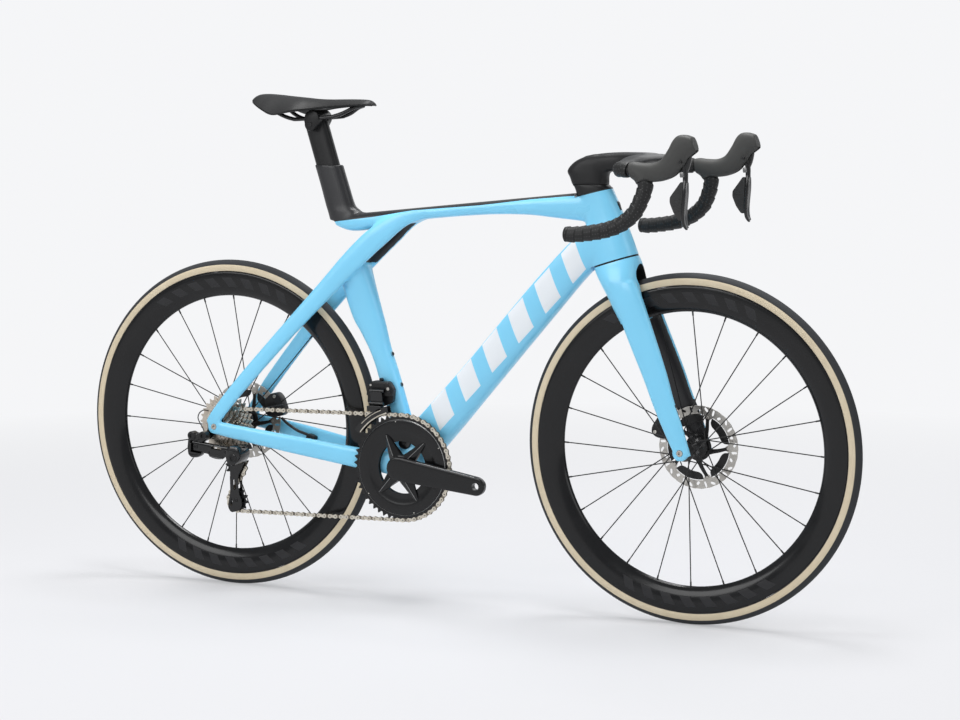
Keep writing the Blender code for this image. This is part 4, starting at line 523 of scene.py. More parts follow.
colours = {
    "skyBlue": (0.238, 0.69, 0.96), "blueShade": (0.218, 0.66, 0.94), "paintBlack": (0.014, 0.014, 0.016),
    "carbon": (0.006, 0.006, 0.0065), "carbonShade": (0.011, 0.011, 0.012), "satin": (0.008, 0.008, 0.0085),
    "satinShade": (0.014, 0.014, 0.0145), "tread": (0.03, 0.032, 0.035), "treadShade": (0.04, 0.042, 0.045),
    "tan": (0.7, 0.6, 0.43), "tanShade": (0.64, 0.54, 0.38), "tanLight": (0.76, 0.67, 0.5),
    "steel": (0.62, 0.6, 0.56), "steelShade": (0.48, 0.46, 0.42), "bronze": (0.56, 0.5, 0.41),
    "white": (0.86, 0.9, 0.93),
}
satin = finishOf(
    "satinBlack", colours["satin"], colours["satinShade"], (0.32, 0.44), grain=2200, relief=0.25, specular=0.28,
)
gloss = finishOf(
    "glossBlack", colours["carbon"], colours["carbonShade"], (0.14, 0.24), coat=0.2, relief=0.05, specular=0.3,
)
alloy = finishOf("silverAlloy", colours["steel"], colours["steelShade"], (0.25, 0.38), 1.0, 2600, relief=0.2)
steel = finishOf("chainSteel", colours["steel"], colours["bronze"], (0.24, 0.36), 1.0, 1800, 60, 0.15)
print("finishes ready")


# Frame

frameForm = {
    "voxel": 0.0027, "fillet": 56, "topTubeSeat": 0.5205, "mastHeight": 0.5955, "postInsertion": 0.06,
    "rearInnerHalf": 0.071, "dropoutThickness": 0.011, "shellRadius": 0.03, "shellHalf": 0.0428,
    "tyreRoomHalf": 0.0195,
    "paintLine": [
        (-0.33, 0.7465), (-0.2622, 0.7541), (-0.1626, 0.7664), (-0.078, 0.7805), (0.0683, 0.7926),
        (0.1751, 0.8056), (0.2902, 0.8157), (0.3394, 0.8279), (0.3476, 0.8204), (0.38, 0.8),
    ],
    "barPeriod": 0.082, "barShare": 0.56, "barSlant": 0.46, "barStart": 0.085, "barStop": 0.545, "barLow": -0.021,
    "barHigh": 0.0345,
}
slope = 1 / math.sin(math.radians(bike["seatAngle"]))


def seatPoint(height, ahead=0.0):  # on the seat axis at a height above the bottom bracket
    return bracket + seatDir * height * slope + forward * ahead


tubeStart = bracket + upward * 0.028
tubeEnd = crown + steerDir * 0.059
tubeDir = unit(tubeEnd - tubeStart)
tubeNormal = np.array([-tubeDir[2], 0.0, tubeDir[0]])


def frameParts():
    # every tube a flowed run of super-ellipses between stations of (place, depth, width)
    front = headTop + np.array([0.008, 0, 0.0014])
    back = bracket + seatDir * (frameForm["topTubeSeat"] - 0.001)
    head = [
        (crown + steerDir * s + steerNormal * ahead, depth, width)
        for s, ahead, depth, width in (
            (-0.04, -0.001, 0.09, 0.06), (-0.01, -0.001, 0.09, 0.06), (0.0, -0.001, 0.09, 0.06),
            (0.04, -0.001, 0.084, 0.056), (0.09, -0.001, 0.074, 0.05), (0.138, -0.003, 0.064, 0.048),
            (0.146, -0.0032, 0.063, 0.0478),
        )
    ]
    top = [
        (front + (back - front) * t - upward * depth / 2, depth, width)
        for t, depth, width in (
            (0.02, 0.06, 0.042), (0.16, 0.045, 0.04), (0.28, 0.033, 0.038), (0.45, 0.0255, 0.04),
            (0.7, 0.0245, 0.044), (0.86, 0.033, 0.046), (0.955, 0.034, 0.044), (1.02, 0.02, 0.032),
        )
    ]
    down = [
        (tubeStart + (tubeEnd - tubeStart) * t + tubeNormal * bow, depth, width)
        for t, bow, depth, width in (
            (0.0, 0.002, 0.098, 0.06), (0.18, 0.002, 0.0925, 0.058), (0.36, 0.0045, 0.088, 0.054),
            (0.69, 0.0115, 0.086, 0.052), (0.86, 0.0125, 0.082, 0.052), (1.0, 0.006, 0.086, 0.05),
        )
    ]
    seat = [
        (bracket + seatDir * s + seatNormal * ahead, depth, width)
        for s, ahead, depth, width in (
            (0.01, 0.0, 0.056, 0.05), (0.08, 0.002, 0.044, 0.036), (0.183, 0.0026, 0.042, 0.033),
            (0.235, 0.0006, 0.042, 0.033), (0.286, -0.0031, 0.055, 0.034), (0.32, -0.0072, 0.064, 0.036),
            (0.37, -0.008, 0.066, 0.044), (0.412, -0.008, 0.066, 0.062),
        )
    ]
    mast = [
        (seatPoint(height, ahead), depth, width)
        for height, ahead, depth, width in (
            (0.485, 0.008, 0.078, 0.038), (0.504, 0.005, 0.072, 0.036), (0.516, 0.0, 0.063, 0.0335),
            (0.555, -0.0005, 0.0605, 0.0331), (frameForm["mastHeight"], -0.001, 0.06, 0.033),
        )
    ]
    dropY = frameForm["rearInnerHalf"] + frameForm["dropoutThickness"] / 2
    chainstay = [
        (bracket + place, depth, width)
        for place, depth, width in (
            ((-0.012, 0.0235, 0.0), 0.046, 0.02), ((-0.056, 0.0275, 0.006), 0.0435, 0.0185),
            ((-0.103, 0.033, 0.0119), 0.0415, 0.0185), ((-0.176, 0.044, 0.023), 0.0385, 0.016),
            ((-0.27, 0.0625, 0.039), 0.0345, 0.015), ((-0.35, 0.0735, 0.052), 0.03, 0.0125),
        )
    ] + [(rearAxle + (-0.004, dropY, -0.001), 0.027, frameForm["dropoutThickness"])]
    seatstay = [
        (rearAxle + place, depth, width)
        for place, depth, width in (
            ((-0.009, dropY, 0.003), 0.027, 0.011), ((0.006, dropY - 0.0005, 0.025), 0.028, 0.0115),
            ((0.053, 0.0665, 0.084), 0.03, 0.013), ((0.148, 0.05, 0.19), 0.032, 0.014),
            ((0.233, 0.038, 0.279), 0.037, 0.015), ((0.302, 0.032, 0.349), 0.044, 0.015),
            ((0.356, 0.027, 0.396), 0.044, 0.0155), ((0.408, 0.02, 0.429), 0.03, 0.0165),
            ((0.468, 0.012, 0.443), 0.018, 0.016),
        )
    ]
    shells = [
        tubeShell(head, 40, 2.4, 48, 1.0, steerNormal), tubeShell(top, 60, 3.0, 40),
        tubeShell(down, 60, 2.6, 48, 0.62), tubeShell(seat, 50, 2.6, 40), tubeShell(mast, 40, 2.5, 48, 1.0, forward),
        crossRod(bracket, -frameForm["shellHalf"], frameForm["shellHalf"], frameForm["shellRadius"], 64, 0.05),
    ]
    for rows in (chainstay, seatstay):
        shells += [tubeShell(rows, 70, 2.8, 32), tubeShell(mirrored(rows), 70, 2.8, 32)]
    for side in (-1, 1):
        low = rearAxle + sideways * side * frameForm["rearInnerHalf"]
        shells.append(rodShell(low, low + sideways * side * frameForm["dropoutThickness"], 0.015, 48, 0.1))
    return shells


def frameCuts():
    # the bores and flats of the frame: headset, bracket, axle, post, and room for tyre, hub, crown and hanger
    inner, reach, tyreRoom = frameForm["rearInnerHalf"], 2 * clearance, frameForm["tyreRoomHalf"]
    post = [
        (seatPoint(height, -0.003), (0.0485 + reach) * slope, 0.025 + reach)
        for height in (frameForm["mastHeight"] - frameForm["postInsertion"] - 0.03, frameForm["mastHeight"] + 0.02)
    ]
    lean = math.atan2(-0.019, -0.0165)  # the hanger's room: two arcs, round the axle and round the mech's bolt
    out = np.array([math.cos(lean), math.sin(lean)]) * 0.02516
    facing = np.cos(np.linspace(0, 2 * np.pi, 48, endpoint=False) - lean)
    hanger = np.concatenate([ringPoints(0.0131, 48)[facing < 0.15], ringPoints(0.0091, 48, out)[facing > 0.15]])
    middle = out / 2
    hanger = hanger[np.argsort(np.arctan2(hanger[:, 1] - middle[1], hanger[:, 0] - middle[0]))]
    return [
        rodShell(crown - steerDir * 0.01, headTop + steerDir * 0.01, 0.0173, 48, 0),
        rodShell(crown - steerDir * 0.01, crown + steerDir * 0.0076, 0.0262, 64, 0),
        rodShell(headTop - steerDir * 0.0076, headTop + steerDir * 0.01, 0.0216, 64, 0),
        turnedShell(
            [(0.0001, 0), (0.052, 0), (0.066, -0.07), (0.0001, -0.07)], crown + steerDir * 0.0019, steerDir, 96,
        ),
        rodShell(headTop - steerNormal * 0.004, headTop - steerNormal * 0.004 + steerDir * 0.04, 0.0425, 72, 0),
        crossRod(bracket, -0.06, 0.06, 0.0216, 64, 0),
        crossRod(rearAxle, -0.1, 0.1, 0.0065, 32, 0),
        tubeShell(post, 4, 2.5, 48, 1.0, forward),
        crossRod(rearAxle, -tyreRoom, tyreRoom, bike["tyreRadius"] + 0.006, 160, 0),
        crossRod(rearAxle, -inner, -0.055, 0.03, 48, 0),
        crossRod(rearAxle, 0.055, inner, 0.03, 48, 0),
        plateShell([hanger], -inner - 0.0043, -inner + 0.016, rearAxle, 0.00001),
    ]


def framePaint(shell):
    # per point: height over the paint line, place along and across the down tube, and how far it faces inward
    points, faces, _ = shell
    normal = pointNormals(points, faces)
    line = np.array(frameForm["paintLine"])
    off = points - tubeStart
    arm = (points[:, 0] > -0.205) & (points[:, 0] < -0.075) & (points[:, 2] > 0.672) & (points[:, 2] < 0.76)
    return {
        "overLine": points[:, 2] - np.interp(points[:, 0], line[:, 0], line[:, 1]),
        "alongTube": off @ tubeDir, "acrossTube": off @ tubeNormal,
        "inward": np.where(arm & (np.abs(points[:, 1]) < 0.03), -np.sign(points[:, 1]) * normal[:, 1], -1.0),
        "flank": np.abs(normal[:, 1]),
    }


def skyPaint(name):  # sky-blue lacquer with a fine fleck
    looks = {"grain": 5200, "patch": 6, "relief": 0.02, "coat": 0.3, "coatRough": 0.16}
    return finishOf(name, colours["skyBlue"], colours["blueShade"], (0.26, 0.33), **looks)


def paintFinish():
    # sky blue, black above the paint line and white slanted bars on the down tube
    material = skyPaint("framePaint")
    place, across = attribute(material, "alongTube"), attribute(material, "acrossTube")
    slanted = sums(material, "SUBTRACT", place, product(material, across, frameForm["barSlant"]))
    share = sums(material, "FRACT", sums(material, "DIVIDE", slanted, frameForm["barPeriod"]))
    bars = within(material, share, 0.16, 0.16 + frameForm["barShare"], 0.003)
    limits = product(
        material, within(material, slanted, frameForm["barStart"], frameForm["barStop"]),
        within(material, across, frameForm["barLow"], frameForm["barHigh"]),
    )
    flank = spread(material, attribute(material, "flank"), 0, 1, 0.7, 0.74)
    bars = product(material, product(material, bars, limits), flank)
    overlay(material, bars, colours["white"], 0.3)
    black = spread(material, attribute(material, "overLine"), 0, 1, -0.0003, 0.0003)
    inside = spread(material, attribute(material, "inward"), 0, 1, 0.4, 0.46)
    overlay(material, sums(material, "MAXIMUM", black, inside), colours["paintBlack"], 0.4, 0.04)
    return material


frameSkin = meltedShell(frameParts(), frameForm["voxel"], frameForm["fillet"])
print("frame melted", len(frameSkin[0]), "points")
frameSkin = cutShell(frameSkin, frameCuts())
framePaintFinish = paintFinish()
addPiece("frame_shell", frameSkin, framePaintFinish, "frame", sharp=42, values=framePaint)
print("frame ready")


# Fork

forkForm = {
    "voxel": 0.002, "fillet": 40, "innerHalf": 0.05, "legThickness": 0.0135, "steererRadius": 0.0143,
    "archRadius": 0.024,
}
archEnds = crown - steerDir * 0.042 + steerNormal * 0.012, crown - steerDir * 0.042 + steerNormal * 0.09


def forkParts():
    # crown ovals along the steering axis and two legs of flowed ovals down to round ends
    top = [
        (crown + steerDir * s + steerNormal * ahead, depth, width)
        for s, ahead, depth, width in (
            (0.04, -0.001, 0.09, 0.06), (0.01, -0.001, 0.09, 0.06), (-0.0003, -0.001, 0.09, 0.0605),
            (-0.016, 0.0005, 0.089, 0.073), (-0.036, 0.0025, 0.083, 0.085), (-0.06, 0.0045, 0.074, 0.089),
            (-0.09, 0.006, 0.064, 0.09), (-0.12, 0.007, 0.05, 0.089),
        )
    ]
    leg = [
        (frontAxle + place, depth, width)
        for place, depth, width in (
            ((-0.1275, 0.033, 0.312), 0.044, 0.02), ((-0.1225, 0.0337, 0.3), 0.052, 0.0215),
            ((-0.116, 0.0345, 0.284), 0.055, 0.022), ((-0.0935, 0.038, 0.228), 0.0545, 0.02),
            ((-0.0574, 0.0455, 0.144), 0.048, 0.0165), ((-0.038, 0.0505, 0.094), 0.043, 0.015),
            ((-0.0155, 0.055, 0.043), 0.038, 0.0138), ((0.0065, 0.0568, -0.0095), 0.029, 0.0135),
        )
    ]
    shells = [
        tubeShell(top, 60, 2.5, 56, 1.0, steerNormal), tubeShell(leg, 70, 2.6, 40),
        tubeShell(mirrored(leg), 70, 2.6, 40),
    ]
    for side in (-1, 1):
        low = frontAxle + sideways * side * forkForm["innerHalf"]
        shells.append(rodShell(low, low + sideways * side * forkForm["legThickness"], 0.015, 48, 0.1))
    return shells


def forkCuts():
    # room for tyre, axle, hub and rotor, the cut under the head tube, and the arch between the legs
    disc = frontAxle + sideways * 0.0375
    inner = forkForm["innerHalf"]
    return [
        crossRod(frontAxle, -0.0205, 0.0205, bike["tyreRadius"] + 0.0065, 160, 0),
        crossRod(frontAxle, -0.08, 0.08, 0.0065, 32, 0),
        crossRod(frontAxle, -inner, inner, 0.03, 64, 0),
        crossRod(disc, -0.003, 0.0045, 0.084, 96, 0),
        rodShell(crown - steerDir * 0.0016, crown + steerDir * 0.06, 0.1, 48, 0),
        rodShell(*archEnds, forkForm["archRadius"], 64, 0),
    ]


def forkPaint(shell):
    # per point: how far it faces inward below the crown, and 1 beside the hub and in the arch, where the black is
    # painted shade in the opening
    points, faces, _ = shell
    normal = pointNormals(points, faces)
    below = points[:, 2] < crown[2] - 0.03
    inward = np.where(below, -np.sign(points[:, 1]) * normal[:, 1] - 0.35 * np.maximum(normal[:, 0], 0), -1.0)
    fromHub = np.hypot(points[:, 0] - frontAxle[0], points[:, 2] - frontAxle[2])
    hub = (fromHub < 0.092) & (np.abs(points[:, 1]) < 0.0545)
    # the arch's inner face, made black as painted shade under the crown
    off = points - archEnds[0]
    fromArch = np.hypot(off @ steerDir, points[:, 1])
    archShade = (fromArch < forkForm["archRadius"] + 0.0004) & (off @ steerNormal > -0.0004)
    return {"inward": np.where(hub | archShade, 1.0, inward)}


def forkFinish():  # sky blue with black inner faces, and black in the arch as painted shade
    material = skyPaint("forkPaint")
    inside = spread(material, attribute(material, "inward"), 0, 1, 0.36, 0.44)
    overlay(material, inside, colours["paintBlack"], 0.4, 0.04)
    return material


forkSkin = cutShell(meltedShell(forkParts(), forkForm["voxel"], forkForm["fillet"]), forkCuts())
forkPaintFinish = forkFinish()
steererShell = rodShell(crown - steerDir * 0.02, headTop + steerDir * 0.048, forkForm["steererRadius"], 40, 0.1)
addPiece("fork_shell", [forkSkin, steererShell], forkPaintFinish, "fork", sharp=42, values=forkPaint)
seal = [(crown + steerDir * s - steerNormal * 0.001, 0.0882, 0.0586) for s in (-0.0018, 0.0006, 0.0014, 0.0018)]
addPiece("crown_seal", tubeShell(seal, 4, 2.5, 72, 1.0, steerNormal), satin, "fork", stands=False)
print("fork ready")


# Wheels

wheelForm = {
    "steps": 180, "tyreHalf": 0.014, "rimOuter": 0.3118, "rimDepth": 0.0495, "rimHalf": 0.0146,
    "spokesPerSide": 12, "spokeWidth": 0.0023, "spokeThickness": 0.001,
}


def tyreShell(axle):
    # closed profile of (radius, height) flowed round the tread and both walls, turned about the axle
    r, half = bike["tyreRadius"], wheelForm["tyreHalf"]
    bead = wheelForm["rimOuter"] + 0.0004
    outer = flow([
        (bead, 0.0122), (bead + 0.003, 0.0137), (r - half * 1.12, half), (r - half * 0.8, half * 0.95),
        (r - half * 0.46, half * 0.8), (r - half * 0.14, half * 0.46), (r, 0), (r - half * 0.14, -half * 0.46),
        (r - half * 0.46, -half * 0.8), (r - half * 0.8, -half * 0.95), (r - half * 1.12, -half),
        (bead + 0.003, -0.0137), (bead, -0.0122),
    ], 49)
    inner = flow([(bead, -0.009), (r - 0.011, -0.0065), (r - 0.0085, 0), (r - 0.011, 0.0065), (bead, 0.009)], 9)
    return turnedShell(np.concatenate([outer, inner]), axle, sideways, wheelForm["steps"], True)


def tyreFinish():
    # black tread over tan walls, by each point's radius
    looks = {"grain": 2600, "relief": 0.5, "depth": 0.0002, "specular": 0.25}
    material = finishOf("tyreRubber", colours["tread"], colours["treadShade"], (0.62, 0.78), **looks)
    radius = attribute(material, "radius")
    wall = within(material, radius, 0.3135, 0.3262, 0.0003)
    place = wired(material, "UVMap").outputs[0]
    pattern = {"Vector": place, "Scale": 320.0, "Distortion": 0.6, "Detail": 1.0}
    threads = wired(material, "TexWave", pattern, bands_direction="DIAGONAL").outputs["Fac"]
    tone = mixed(material, spread(material, threads, 0, 1, 0.2, 0.8), colours["tan"], colours["tanShade"])
    tone = mixed(
        material, spread(material, noise(material, 45.0, 4.0), 0, 0.5, 0.35, 0.75), tone, colours["tanLight"],
    )
    overlay(material, wall, tone, 0.55)
    return material


def wheelRadius(axle):  # per point: its distance from the axle's line
    return lambda shell: {"radius": np.hypot(shell[0][:, 0] - axle[0], shell[0][:, 2] - axle[2])}


def rimShell(axle):
    # deep rounded V of (radius, height), a small hook lip at the bead, turned about the axle
    outer, depth, half = wheelForm["rimOuter"], wheelForm["rimDepth"], wheelForm["rimHalf"]
    side = flow([
        (outer, half - 0.0021), (outer - 0.0006, half - 0.0008), (outer - 0.0035, half - 0.0002),
        (outer - depth * 0.2, half),
        (outer - depth * 0.4, half * 0.985), (outer - depth * 0.62, half * 0.88), (outer - depth * 0.8, half * 0.68),
        (outer - depth * 0.93, half * 0.4), (outer - depth * 0.985, half * 0.18), (outer - depth, 0.0002),
    ], 30)
    profile = np.concatenate([side, side[::-1] * [1, -1]])
    return turnedShell(profile, axle, sideways, wheelForm["steps"], True)


def rimFinish():
    # gloss black with a faint long weave and two dim groups of generic slanted bars
    material = finishOf(
        "rimCarbon", (0.0035, 0.0035, 0.004), (0.0065, 0.0065, 0.007), (0.16, 0.24), grain=900, patch=20,
        relief=0.03, coat=0.12,
        coatRough=0.05, specular=0.3,
    )
    split = wired(material, "SeparateXYZ", {"Vector": wired(material, "UVMap").outputs[0]})
    turn, radius = split.outputs[0], attribute(material, "radius")
    slanted = sums(material, "ADD", turn, product(material, radius, 0.42))
    bars = within(material, sums(material, "FRACT", product(material, slanted, 44.0)), 0.14, 0.66, 0.01)
    group = sums(material, "FRACT", product(material, sums(material, "ADD", turn, 0.13), 2.0))
    bars = product(material, bars, within(material, group, 0.06, 0.42, 0.001))
    bars = product(material, bars, within(material, radius, 0.281, 0.3, 0.0002))
    overlay(material, bars, (0.016, 0.016, 0.0175), 0.42)
    return material


def spokeShells(axle, flanges):
    # bladed spokes from each flange to the rim, crossing by two steps, each with a nipple at its end
    count = wheelForm["spokesPerSide"]
    step = 2 * np.pi / count
    spokes, ends = [], []
    for side, (height, radius) in enumerate(flanges):
        i = np.arange(count)
        lead = np.where(i % 2, 1, -1)
        start, stop = step * (i + side / 2), step * (i + side / 2) + lead * 2 * step
        rim = wheelForm["rimOuter"] - wheelForm["rimDepth"]
        low = np.stack(
            [np.cos(start) * (radius - 0.002), height + lead * 0.00115, np.sin(start) * (radius - 0.002)], 1,
        )
        high = np.stack([
            np.cos(stop) * (rim + 0.003), np.full(count, math.copysign(0.0011, height)), np.sin(stop) * (rim + 0.003),
        ], 1)
        tangent = unit(high - low)
        flat = np.cross(tangent, sideways)
        w, t = wheelForm["spokeWidth"], wheelForm["spokeThickness"]
        sizes = [
            (0, 0.0022, 0.0022), (0.05, 0.0021, 0.002), (0.08, w, t), (0.95, w, t), (0.97, 0.0019, 0.0019),
            (1, 0.0019, 0.0019),
        ]
        spokes.append(barShells(axle + low, axle + high, flat, sizes, 8, 2.4))
        ends.append(barShells(
            axle + high - tangent * 0.011, axle + high, flat,
            [(0, 0.0026, 0.0026), (0.06, 0.0033, 0.0033), (1, 0.0035, 0.0035)], 8,
        ))
    return spokes, ends


def makeWheel(end, axle, hubProfile, flanges, capProfile):
    # tyre, rim, hub with its spokes, nipples and end caps; flanges are (height, radius)
    addPiece(end + "_tyre_shell", tyreShell(axle), tyreRubber, end + "_tyre", sharp=50, values=wheelRadius(axle))
    addPiece(end + "_rim_shell", rimShell(axle), rimCarbon, end + "_rim", sharp=50, values=wheelRadius(axle))
    spokes, nipples = spokeShells(axle, flanges)
    hub = turnedShell(hubProfile, axle, sideways, 64, True)
    addPiece(end + "_hub_shell", [hub] + spokes, hubBlack, end + "_hub", sharp=35)
    addPiece(end + "_nipples", nipples, alloyBlack, end + "_hub", stands=False)
    caps = turnedShell(capProfile, axle, sideways, 48, True)
    addPiece(end + "_hub_caps", caps, alloyBlack, end + "_hub", stands=False, sharp=30)


tyreRubber = tyreFinish()
rimCarbon = rimFinish()
hubBlack = finishOf(
    "hubBlack", (0.009, 0.009, 0.0095), (0.016, 0.016, 0.0165), (0.26, 0.36), 0.1, 2400, relief=0.15, specular=0.35,
)
alloyBlack = finishOf(
    "blackAlloy", (0.014, 0.014, 0.0145), (0.024, 0.024, 0.0245), (0.28, 0.38), 0.3, 2400, relief=0.15,
    specular=0.35,
)
makeWheel(
    "front", frontAxle, [
        (0.009, 0.0497), (0.0096, 0.049), (0.017, 0.0415), (0.017, 0.0325), (0.02, 0.03), (0.0215, 0.029),
        (0.0215, 0.0245), (0.019, 0.023), (0.014, 0.018), (0.012, 0.014), (0.0118, 0.0), (0.012, -0.023),
        (0.0145, -0.029), (0.0188, -0.0335), (0.0192, -0.0345), (0.019, -0.0368), (0.011, -0.048), (0.0098, -0.0497),
        (0.0064, -0.0497), (0.0064, 0.0497),
    ], [(0.0268, 0.0215), (-0.035, 0.019)],
    [(0.0112, -0.04), (0.0128, -0.041), (0.0128, -0.0455), (0.0116, -0.047), (0.0066, -0.0494), (0.0066, -0.04)],
)
makeWheel(
    "rear", rearAxle, [
        (0.009, 0.0707), (0.0096, 0.07), (0.017, 0.0556), (0.017, 0.0465), (0.02, 0.0405), (0.0215, 0.0395),
        (0.0215, 0.035), (0.019, 0.0335), (0.0145, 0.028), (0.0125, 0.024), (0.0128, 0.0), (0.015, -0.012),
        (0.0232, -0.0176), (0.024, -0.0184), (0.024, -0.0213), (0.022, -0.0222), (0.0088, -0.0228), (0.0088, -0.07),
        (0.008, -0.0707), (0.0064, -0.0707), (0.0064, 0.0707),
    ], [(0.0372, 0.0215), (-0.0202, 0.024)],
    [(0.01, 0.06), (0.0118, 0.061), (0.0118, 0.066), (0.0104, 0.069), (0.0066, 0.0705), (0.0066, 0.06)],
)
print("wheels ready")


def capsuleOutline(start, end, first, second, steps=14):
    # two circles joined by their outer tangents
    start, end = np.asarray(start, float), np.asarray(end, float)
    gap = end - start
    lean = math.acos((first - second) / np.linalg.norm(gap))
    turn = math.atan2(gap[1], gap[0])
    a = np.linspace(turn + lean, turn - lean + 2 * math.pi, steps * 2)
    b = np.linspace(turn - lean, turn + lean, steps)
    return np.concatenate([start + polar(first, a), end + polar(second, b)])


def softPlate(corners, radius, low, high, centre, bevel):  # a plate with rounded corners
    return plateShell([rounded(corners, radius)], low, high, centre, bevel)


def buttonShell(foot, axis, radius, height, socket=0.45):
    # a screw head: chamfered disc with a sunk socket
    return turnedShell([
        (0.0001, height * 0.35), (radius * socket, height * 0.35), (radius * (socket + 0.06), height),
        (radius * 0.86, height), (radius, height * 0.72), (radius, -0.0015), (0.0001, -0.0015),
    ], foot, axis, 32)


# Brakes

brakeForm = {
    "discRadius": 0.08, "trackInner": 0.064, "arms": 5, "halfThickness": 0.0009, "rivetRadius": 0.06,
    "padThickness": 0.003, "padGap": 0.0006,
    "frontAngle": math.radians(152), "rearAngle": math.radians(25), "frontHeight": 0.0375, "rearHeight": 0.0515,
    "slotPower": 2 / 0.7, "slotRadius": 0.072,
    "slots": ((0.005, 0.0024, 0.9, 0.0022), (0.0038, 0.0026, -0.7, -0.0025), (0.0058, 0.0022, 0.15, 0.0006)),
}


def discShells(axle, height):
    # a slotted track with ears at the rivets, and a black carrier of curved arms with cooling fins between them
    arms, half = brakeForm["arms"], brakeForm["halfThickness"]
    a = 2 * np.pi * np.arange(240) / 240
    near = (a * arms / (2 * np.pi)) % 1
    near = np.minimum(near, 1 - near) * 2 * np.pi / arms
    inner = brakeForm["trackInner"] - 0.0095 * np.exp(-(near / 0.115) ** 4)
    track = [ringPoints(brakeForm["discRadius"], 240) * (1 + 0.004 * np.cos(30 * a))[:, None], polar(inner, a)]
    for i in range(30):
        length, width, tilt, shift = brakeForm["slots"][i % 3]
        turn = 2 * np.pi * (i + 0.5) / 30
        u, v = squared(2 * np.pi * np.arange(14) / 14, brakeForm["slotPower"])
        spin = turn + tilt
        slot = np.stack([u * length, v * width], 1)
        slot = slot @ np.array([[math.cos(spin), math.sin(spin)], [-math.sin(spin), math.cos(spin)]])
        middle = brakeForm["slotRadius"] + shift
        track.append(slot + [middle * math.cos(turn), middle * math.sin(turn)])
    silver = [plateShell(track, height - half, height + half, axle, 0.0002)]
    black, rivets = [], []
    for i in range(arms):
        mid = 2 * np.pi * i / arms
        t = np.linspace(0, 1, 16)[:, None]
        bend = mid - 0.34 * (1 - t) ** 1.4
        r = 0.019 + (0.0605 - 0.019) * t
        path = np.concatenate([r * np.cos(bend), np.zeros_like(t), r * np.sin(bend)], 1) + axle + sideways * height
        depth = np.interp(t[:, 0], [0, 0.3, 0.8, 1], [0.016, 0.0085, 0.0065, 0.008])
        black.append(gridShell(ovals(path, frames(path)[2], sideways, depth, 0.003, 5.0, 20)))
        share = np.linspace(-1, 1, 33)
        fin = mid + np.pi / arms + share * 0.5
        low = 0.0612 - 0.014 * np.maximum(1 - np.abs(share) ** 5, 0) ** 0.5
        outline = np.concatenate([polar(0.0624, fin), polar(low, fin)[::-1][1:-1]])
        black.append(plateShell([outline], height - 0.0013, height + 0.0013, axle, 0.0005))
        foot = axle + brakeForm["rivetRadius"] * np.array([math.cos(mid), 0, math.sin(mid)])
        rivets.append(crossRod(foot, height - 0.0019, height + 0.0019, 0.003, 20, 0.2))
    ringRows, lockRows = (
        [(radius, height + out) for radius, out in rows] for rows in (
            ((0.025, -0.0016), (0.0262, -0.0008), (0.0262, 0.0008), (0.025, 0.0016), (0.0172, 0.0016), (0.0172, -0.0016)),
            ((0.0165, 0.0016), (0.0205, 0.0016), (0.0212, 0.0022), (0.0212, 0.0038), (0.02, 0.0046), (0.0165, 0.0046)),
        )
    )
    ring = turnedShell(ringRows, axle, sideways, 72, True)
    lock = turnedShell(
        lockRows, axle, sideways, 80, True,
        lambda a, r, h: np.where(r > 0.0195, r - 0.0006 * (np.cos(16 * a) > 0.2), r),
    )
    return silver + rivets, black + [ring, lock]


def trackFinish():
    # brushed steel: a second tone in rings, as noise read along the radius alone
    material = finishOf("trackSteel", (0.6, 0.58, 0.54), (0.46, 0.44, 0.41), (0.26, 0.36), 1.0, 1600, 40, 0.12)
    place = wired(material, "CombineXYZ", {0: product(material, attribute(material, "radius"), 2600.0)}).outputs[0]
    rings = noise(material, 1.0, 3.0, place)
    overlay(material, spread(material, rings, 0.0, 0.6, 0.4, 0.62), (0.4, 0.385, 0.36), 0.4)
    return material


def caliperShells(axle, angle, height, outboard, scale):
    # a two-piston body in the same outline as its solid, with bridge, piston caps and bolts
    radial, around = along(math.degrees(angle)), along(math.degrees(angle) + 90)

    def at(r, t):
        p = radial * (0.061 + (r - 0.061) * scale) + around * t * scale
        return (p[0], p[2])

    outline = rounded([
        at(0.061, -0.021), at(0.09, -0.029), at(0.101, -0.022), at(0.104, 0.012), at(0.098, 0.026), at(0.084, 0.029),
        at(0.061, 0.021),
    ], 0.007)
    pocket = brakeForm["padThickness"] + brakeForm["padGap"] + brakeForm["halfThickness"] + clearance
    low, high = height - pocket - 0.0077, height + outboard
    body = plateShell([outline], low, high, axle, 0.0016)
    centre = axle + radial * 0.0725 + sideways * height
    body = cutShell(body, [
        blockShell(centre - radial * 0.006, (0.03, 2 * pocket, 0.0196), -angle, 0.0),
        crossRod(axle, height - 0.0022, height + 0.0022, 0.0825, 120, 0),
    ])
    black = [body]
    cap = axle + radial * 0.08
    for side in (low - 0.0004, high + 0.0004):
        profile = [(0.0001, 0), (0.0072, 0), (0.008, -0.0006), (0.008, -0.004), (0.0001, -0.004)]
        out = sideways * (1 if side > height else -1)
        black.append(turnedShell(profile, cap + sideways * (side - cap[1]), out, 40))
    bolts = []
    for t in (-0.017, 0.019):
        foot = axle + radial * (0.061 + 0.03 * scale) + around * t * scale
        profile = [
            (0.0001, 0), (0.0018, 0.0), (0.0018, 0.0012), (0.0032, 0.0012), (0.0036, 0.0006), (0.0036, -0.003),
            (0.0001, -0.003),
        ]
        bolts.append(turnedShell(profile, foot + sideways * (low - 0.0002), -sideways, 28))
    return black, bolts


